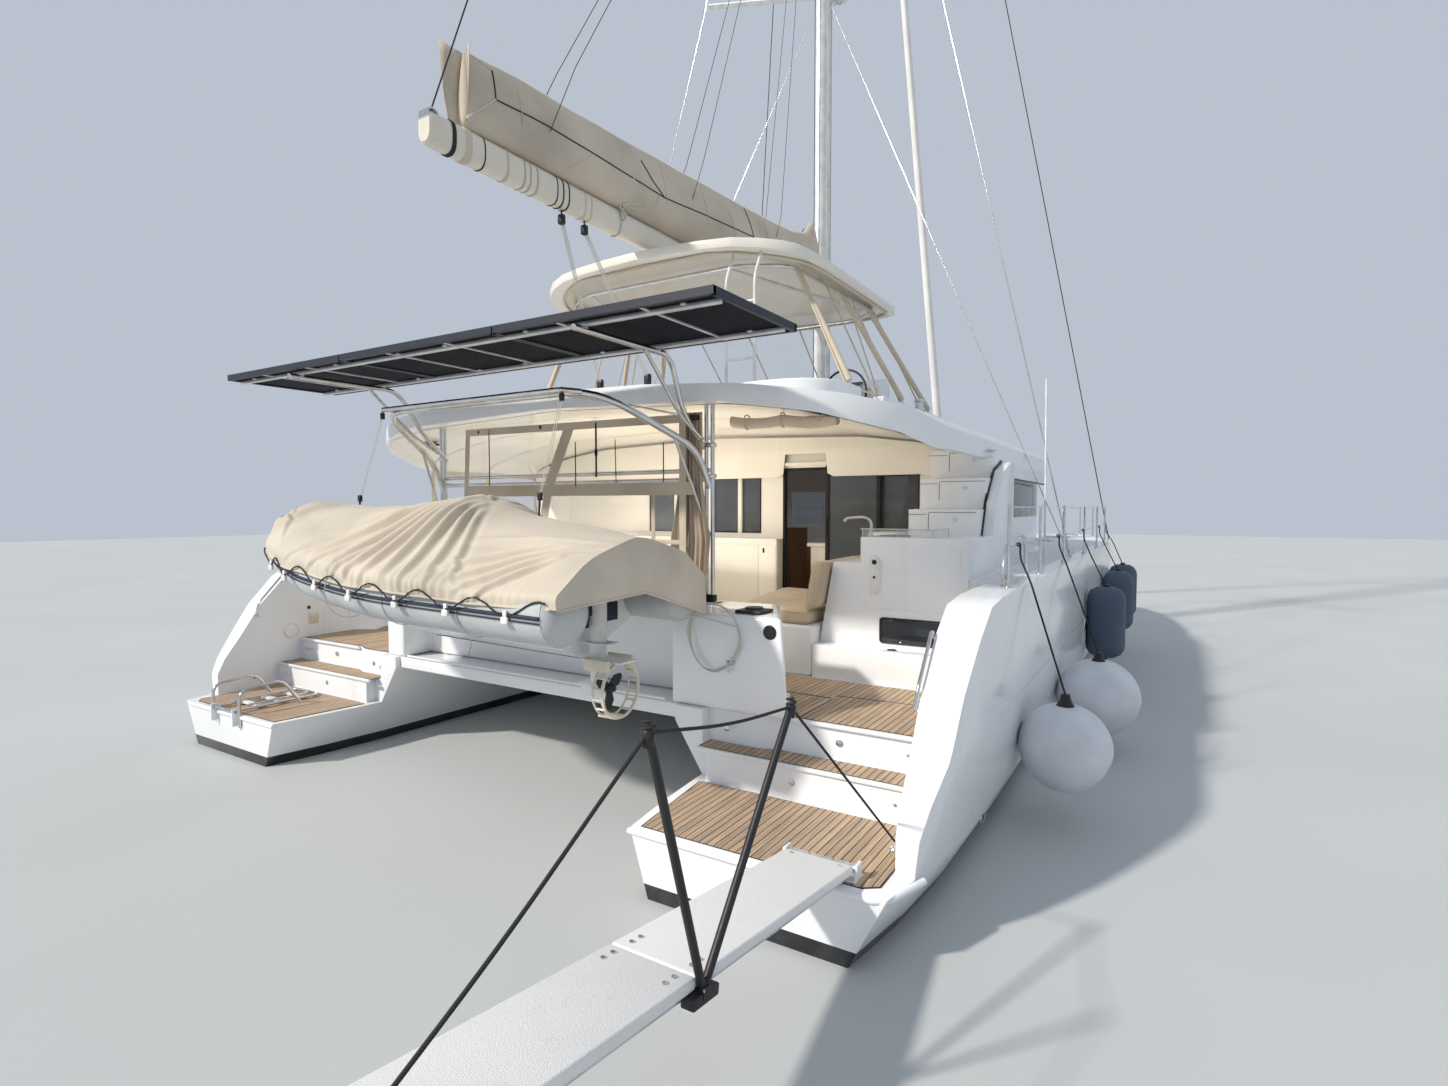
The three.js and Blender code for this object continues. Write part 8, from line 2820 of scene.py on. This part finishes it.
@dataclass
class Gangway(Assembly):
    """The sloping white plank with its hinge, black staffs and hand rope, on the gangway body."""

    hinge: Point = (-7.9, -3.56, 0.51)
    slope: float = 8.5
    half: float = 0.215
    length: float = 3.35
    staff_foot: float = 1.63
    staff_tops: Sequence[float] = (1.03, 2.12)
    staff_height: float = 1.0

    def along(self, astern: float, y: float, up: float) -> Point:
        """A point by its distance astern of the hinge, across and above the plank's middle.

        Args:
            astern: How far astern of the hinge.
            y: How far across.
            up: How far above the plank's middle.

        Returns:
            The point.
        """
        a = math.radians(self.slope)
        x, _, z = self.hinge
        return (x - astern * math.cos(a) + up * math.sin(a), self.hinge[1] + y,
                z + astern * math.sin(a) + up * math.cos(a))

    def fit(self, name: str, pieces: Iterable[Piece], finish: object, *nodes: str) -> None:
        """Joins pieces built about the hinge along -X, turns them to the plank's slope and dresses them.

        Args:
            name: The name of the joined piece.
            pieces: What is joined.
            finish: The finish that it wears.
            nodes: CAD nodes that it replaces.
        """
        piece = joined(name, pieces)
        piece.data.transform(Matrix.Translation(self.hinge)
                             @ Matrix.Rotation(math.radians(self.slope), 4, "Y"))
        dress(piece, finish, *nodes, body="gangway")

    def build(self) -> None:
        """Builds the plank and what stands on it."""
        half, length = self.half, self.length
        plank = [block("plank", (-1.655, -half, -0.02), (-0.045, half, 0.03), 0.012, 3),
                 block("plank", (-length, -half, -0.02), (-1.661, half, 0.03), 0.012, 3)]
        neck = block("neck", (-0.05, -half + 0.02, -0.018), (-0.002, half - 0.02, 0.018), 0.004)
        barrel = [skin("barrel",
                       [circle((0, y, 0), r, Axis.Y, 28)
                        for r, y in ((0.0129, y0), (0.026, y0), (0.026, y1), (0.0129, y1),
                                     (0.0129, y0))], caps=False)
                  for y0, y1 in ((-half, -0.08), (-0.07, 0.07), (0.08, half))]
        self.fit("gangway_plank", [*plank, neck], PLANK, "gangway")
        self.fit("gangway_barrel", barrel, ALLOY)
        bolts = [lathe("bolt", ((0.001, 0.0), (0.012, 0.0), (0.01, 0.006), (0.001, 0.007)), (x, y, 0.03),
                       Axis.Z, 12) for x in (-1.6, -1.54, -1.72, -1.78, -0.1, -length + 0.08)
                 for y in (-0.15, 0.15)]
        self.fit("gangway_bolts", bolts, STEEL)
        under = [block("rib", (-length + 0.05, y - 0.02, -0.05), (-0.06, y + 0.02, -0.018), 0.006)
                 for y in (-0.17, 0.17)]
        self.fit("gangway_ribs", under, ALLOY)
        self.staffs()

    def staffs(self) -> None:
        """Two black staffs in a V from one foot, and the hand rope over their tops."""
        edge = -self.half - 0.012
        foot = Vector((-self.staff_foot, edge, -0.03))
        tops = [Vector((-astern, edge, self.staff_height)) for astern in self.staff_tops]
        rods = [tube("staff", (foot, top), 0.018, detail=4) for top in tops]
        knobs = [lathe("knob",
                       ((0.001, -0.05), (0.02, -0.05), (0.024, -0.03), (0.024, 0.0), (0.016, 0.02),
                        (0.001, 0.024)), top) for top in tops]
        bracket = [block("bracket", (-1.72, -self.half - 0.035, -0.07),
                         (-1.54, -self.half + 0.03, -0.022), 0.008),
                   lathe("pivot", ((0.001, -0.03), (0.03, -0.028), (0.03, 0.028), (0.001, 0.03)),
                         (-self.staff_foot, -self.half - 0.01, -0.03), Axis.Y)]
        self.fit("gangway_staffs", [*rods, *knobs, *bracket], BLACK_IRON)
        tie = tube("rope", (tops[0], (tops[0] + tops[1]) / 2 - Vector((0, 0, 0.03)), tops[1]), 0.007,
                   bend=0.3)
        tail = tube("rope",
                    (tops[1], (-2.7, -self.half - 0.01, 0.5),
                     (-self.length + 0.05, -self.half + 0.01, 0.03)), 0.007, bend=0.2)
        coil = [Vector((0.021 * math.cos(0.8 * i), 0.021 * math.sin(0.8 * i), -0.02 + 0.003 * i))
                for i in range(22)]
        wraps = [tube("wrap", [top + turn for turn in coil], 0.006, detail=1) for top in tops]
        knot = lathe("knot", ((0.001, -0.02), (0.018, -0.012), (0.018, 0.012), (0.001, 0.02)),
                     (-self.length + 0.05, -self.half + 0.01, 0.045))
        self.fit("gangway_hand_rope", [tie, tail, *wraps, knot], ROPE_BLACK)
        eye = (-7.42, -3.84, 0.5)
        top = self.along(self.staff_tops[0], edge, self.staff_height)
        rope = tube("gangway_guy", [Vector(eye).lerp(Vector(top), i / 24) for i in range(25)], 0.007,
                    detail=2)
        dress(rope, ROPE_BLACK, body="")
        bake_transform(rope)
        ring = [lathe("plate", ((0.001, 0.0), (0.034, 0.0), (0.03, 0.006), (0.001, 0.008)),
                      (eye[0], eye[1], 0.4565)),
                tube("ring",
                     [(eye[0] + 0.024 * math.cos(a), eye[1], 0.482 + 0.024 * math.sin(a))
                      for a in (0.4 * i for i in range(16))], 0.005, closed=True)]
        fitted("platform_eye", ring, STEEL)


@dataclass
class SwimLadder(Assembly):
    """The folded stainless swim ladder on the port platform, with pale treads."""

    hinge: Point = (-8.062, 3.1, 0.485)
    half: float = 0.19
    length: float = 0.88

    def build(self) -> None:
        """Builds the hoop, its second folded section and the treads."""
        x, y, z = self.hinge
        far = x + self.length
        left, right = y - self.half, y + self.half
        hoop = tube("hoop", ((x, left, z), (far, left, z), (far, right, z), (x, right, z)), 0.015,
                    bend=0.09, detail=4)
        pivot = tube("pivot", ((x, y - self.half - 0.034, z), (x, y + self.half + 0.034, z)), 0.0138,
                     detail=4)
        inner = self.half - 0.036
        second = tube("second",
                      ((x + 0.16, y - inner, z + 0.031), (far - 0.09, y - inner, z + 0.031),
                       (far - 0.09, y + inner, z + 0.031), (x + 0.16, y + inner, z + 0.031)), 0.0125,
                      bend=0.07, detail=4)
        fitted("ladder_hoops", [hoop, pivot, second], STEEL, "swim_ladder", body="swim_ladder")
        treads = [block("tread", (x + share * self.length - 0.03, y - self.half + 0.014, z - 0.012),
                        (x + share * self.length + 0.03, y + self.half - 0.014, z + 0.014), 0.006, 3)
                  for share in (0.3, 0.55, 0.8)]
        fitted("ladder_treads", treads, WHITE_PLASTIC, body="swim_ladder")
        grabs = [tube("grab",
                      ((-8.045, y + side * 0.27, 0.33), (-8.045, y + side * 0.27, 0.7),
                       (-7.62, y + side * 0.27, 0.74), (-7.43, y + side * 0.27, 0.452)), 0.0155,
                      bend=0.1, detail=4) for side in (-1, 1)]
        fitted("ladder_grabs", grabs, STEEL)


@dataclass
class CockpitCurtains(Assembly):
    """Clear curtains with tan frames round the cockpit, one gathered and one rolled up under the roof."""

    aft_x: float = -6.497
    port_y: float = 3.483
    # Cloth bands of the after curtain: both ends (y, z) and half the width
    after_bands: Sequence[Sequence[float]] = (
        (1.2, 3.365, -1.66, 3.345, 0.036), (1.17, 3.38, 1.26, 1.8, 0.032), (-0.29, 3.37, -0.01, 2.8, 0.06),
        (-0.01, 2.8, 0.14, 2.2, 0.05), (1.24, 2.745, -1.72, 2.74, 0.056), (-1.28, 2.74, -1.28, 2.26, 0.02),
        (-1.27, 2.27, -1.62, 2.27, 0.02), (1.26, 1.79, -1.6, 1.77, 0.03), (-1.6, 3.36, -1.6, 1.78, 0.035))
    straps: Sequence[Sequence[float]] = (
        (-0.62, 3.37, -0.62, 2.86, 0.009), (-0.62, 3.12, -0.62, 3.06, 0.016), (0.84, 3.38, 0.84, 2.8, 0.004),
        (-0.36, 3.2, -0.36, 2.78, 0.004), (-0.85, 3.2, -0.86, 2.8, 0.003), (-1.4, 3.15, -1.4, 2.8, 0.004),
        (0.1, 3.385, 0.1, 3.35, 0.014), (1.0, 3.38, 1.0, 3.35, 0.012))
    port_bands: Sequence[Sequence[float]] = (
        (-5.22, 3.05, -3.29, 3.05, 0.03), (-5.22, 2.09, -3.29, 2.09, 0.03), (-5.2, 3.05, -5.2, 2.09, 0.03),
        (-4.26, 3.05, -4.26, 2.09, 0.03), (-3.31, 3.05, -3.31, 2.09, 0.03))

    def build(self) -> None:
        """Hangs every curtain."""
        aft = [[(self.aft_x, -1.6 + 3.2 * j / 32, z) for j in range(33)]
               for z in (3.44 - 1.69 * i / 14 for i in range(15))]
        self.hang("curtain_aft", aft, Axis.X, self.aft_x, self.after_bands, self.straps)
        port = [[(-5.22 + 1.93 * j / 20, self.port_y, z) for j in range(21)]
                for z in (3.07 - 1.01 * i / 10 for i in range(11))]
        self.hang("curtain_port", port, Axis.Y, self.port_y, self.port_bands, ())
        self.gathered()
        self.rolled()

    @staticmethod
    def band(plane: Axis, at: float, run: Sequence[float]) -> Piece:
        """A flat strip of cloth sewn on a hung panel, from one place to another.

        Args:
            plane: The direction that the panel faces.
            at: Where the panel hangs along it.
            run: The strip's two ends and half its width.

        Returns:
            The finished piece.
        """
        a, b, half = Vector(run[:2]), Vector(run[2:4]), run[4]
        aside = (b - a).normalized() * half
        aside = Vector((-aside.y, aside.x))
        return slab("band", (a - aside, b - aside, b + aside, a + aside), at - 0.006, 0.009, plane,
                    bevel=0.002)

    def hang(self, node: str, rows: Sequence[Sequence[Point]], plane: Axis, at: float,
             bands: Sequence[Sequence[float]], straps: Sequence[Sequence[float]]) -> None:
        """A hung clear panel with a slight ripple, its cloth bands and its straps.

        Args:
            node: The node that the panel stands for.
            rows: The points of the flat panel, from the top down.
            plane: The direction that the panel faces.
            at: Where the panel hangs along that direction.
            bands: The cloth bands, each by its two ends and half its width.
            straps: The dark straps, given in the same way.
        """
        moved = []
        for i, row in enumerate(rows):
            swing = 0.006 * math.sin(math.pi * i / (len(rows) - 1))
            waves = [swing * math.sin(0.55 * j + 0.3 * i) for j in range(len(row))]
            moved.append([(x, y + wave, z) if plane is Axis.Y else (x + wave, y, z)
                          for wave, (x, y, z) in zip(waves, row)])
        sheet = skin(f"{node}_clear", moved, closed=False, caps=False)
        dress(modify(sheet, "SOLIDIFY", thickness=0.0012), VINYL, node)
        sewn = [fitted(f"{node}_bands",
                       [self.band(plane, at + 0.0007 * k, run) for k, run in enumerate(bands)],
                       CURTAIN_CLOTH)]
        if straps:
            sewn.append(fitted(f"{node}_straps", [self.band(plane, at - 0.004, run) for run in straps],
                               BLACK))

    @staticmethod
    def gathered() -> None:
        """The starboard end of the after curtain, drawn together in upright folds beside the davit post; its
        tan cloth is darkened to brown as painted shade.
        """
        rows, drop = [], 1.67
        steps, across_steps, folds, fold_depth = 40, 120, 7, 0.036
        for i in range(steps + 1):
            t = i / steps
            wide = 0.095 + 0.1 * min(1.0, max(0.0, (t - 0.3) / 0.35)) ** 1.5
            row = []
            for j in range(across_steps + 1):
                s = j / across_steps
                wave = math.sin(2 * math.pi * folds * s + 1.6 * math.sin(2.4 * t + s))
                depth = fold_depth * wave * (0.6 + 0.4 * math.sin(5 * s + 2.6 * t))
                depth += 0.012 * noise.noise(Vector((9 * s, 5 * t, 1.0)))
                row.append((-6.43 + depth,
                            -1.665 + 0.06 * t + (0.5 - s) * 2 * wide + 0.014 * math.sin(4 * t + 3 * s),
                            3.4 - drop * t))
            rows.append(row)
        sheet = skin("curtain_gathered", rows, closed=False, caps=False, angle=80)
        # Darker brown cloth: painted shade on the gathered curtain
        dress(modify(sheet, "SOLIDIFY", thickness=0.003), SHADED_DRAWN_CLOTH)

    @staticmethod
    def rolled() -> None:
        """Rolled curtains under the starboard edge of the roof, held by straps, sagging between them."""
        rows, turns, around = [], 4, 60
        length, steps = 1.0, 24
        for i in range(steps + 1):
            t = i / steps
            x, y = -6.15, -2.9 + length * t
            z = 3.345 - 0.02 * abs(math.sin(2 * math.pi * t)) - 0.04 * (1 - t)
            row = []
            for j in range(around * turns + 1):
                a = 2 * math.pi * j / around
                r = 0.018 + 0.034 * j / (around * turns) * (1 + 0.12 * math.sin(9 * t + 0.5 * a))
                row.append((x + r * math.cos(a), y, z - 0.01 + r * math.sin(a)))
            rows.append(row)
        sheet = skin("curtain_rolled", rows, closed=False, caps=False, angle=80)
        dress(modify(sheet, "SOLIDIFY", thickness=0.0015), CURTAIN_CLOTH, "curtain_roll")
        straps = [tube("strap", circle((-6.15, y, 3.32), 0.062, Axis.Y, 28), 0.006, detail=1, closed=True)
                  for y in (-2.75, -2.4, -2.05)]
        straps = fitted("curtain_roll_straps", straps, CURTAIN_CLOTH)


def main() -> None:
    """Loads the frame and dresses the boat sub-assembly by sub-assembly."""
    logging.basicConfig(level=logging.INFO, format="%(message)s")
    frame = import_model()
    Studio().build()
    for assembly in (Hulls, SternBench, Deckhouse, Cockpit, CockpitCurtains, Flybridge, Davits,
                     SolarRoof, Tender, Rig, DeckGear, Fenders, Gangway, SwimLadder):
        assembly(frame).build()
        log.info("%s built", assembly.__name__)


if __name__ == "__main__":
    main()
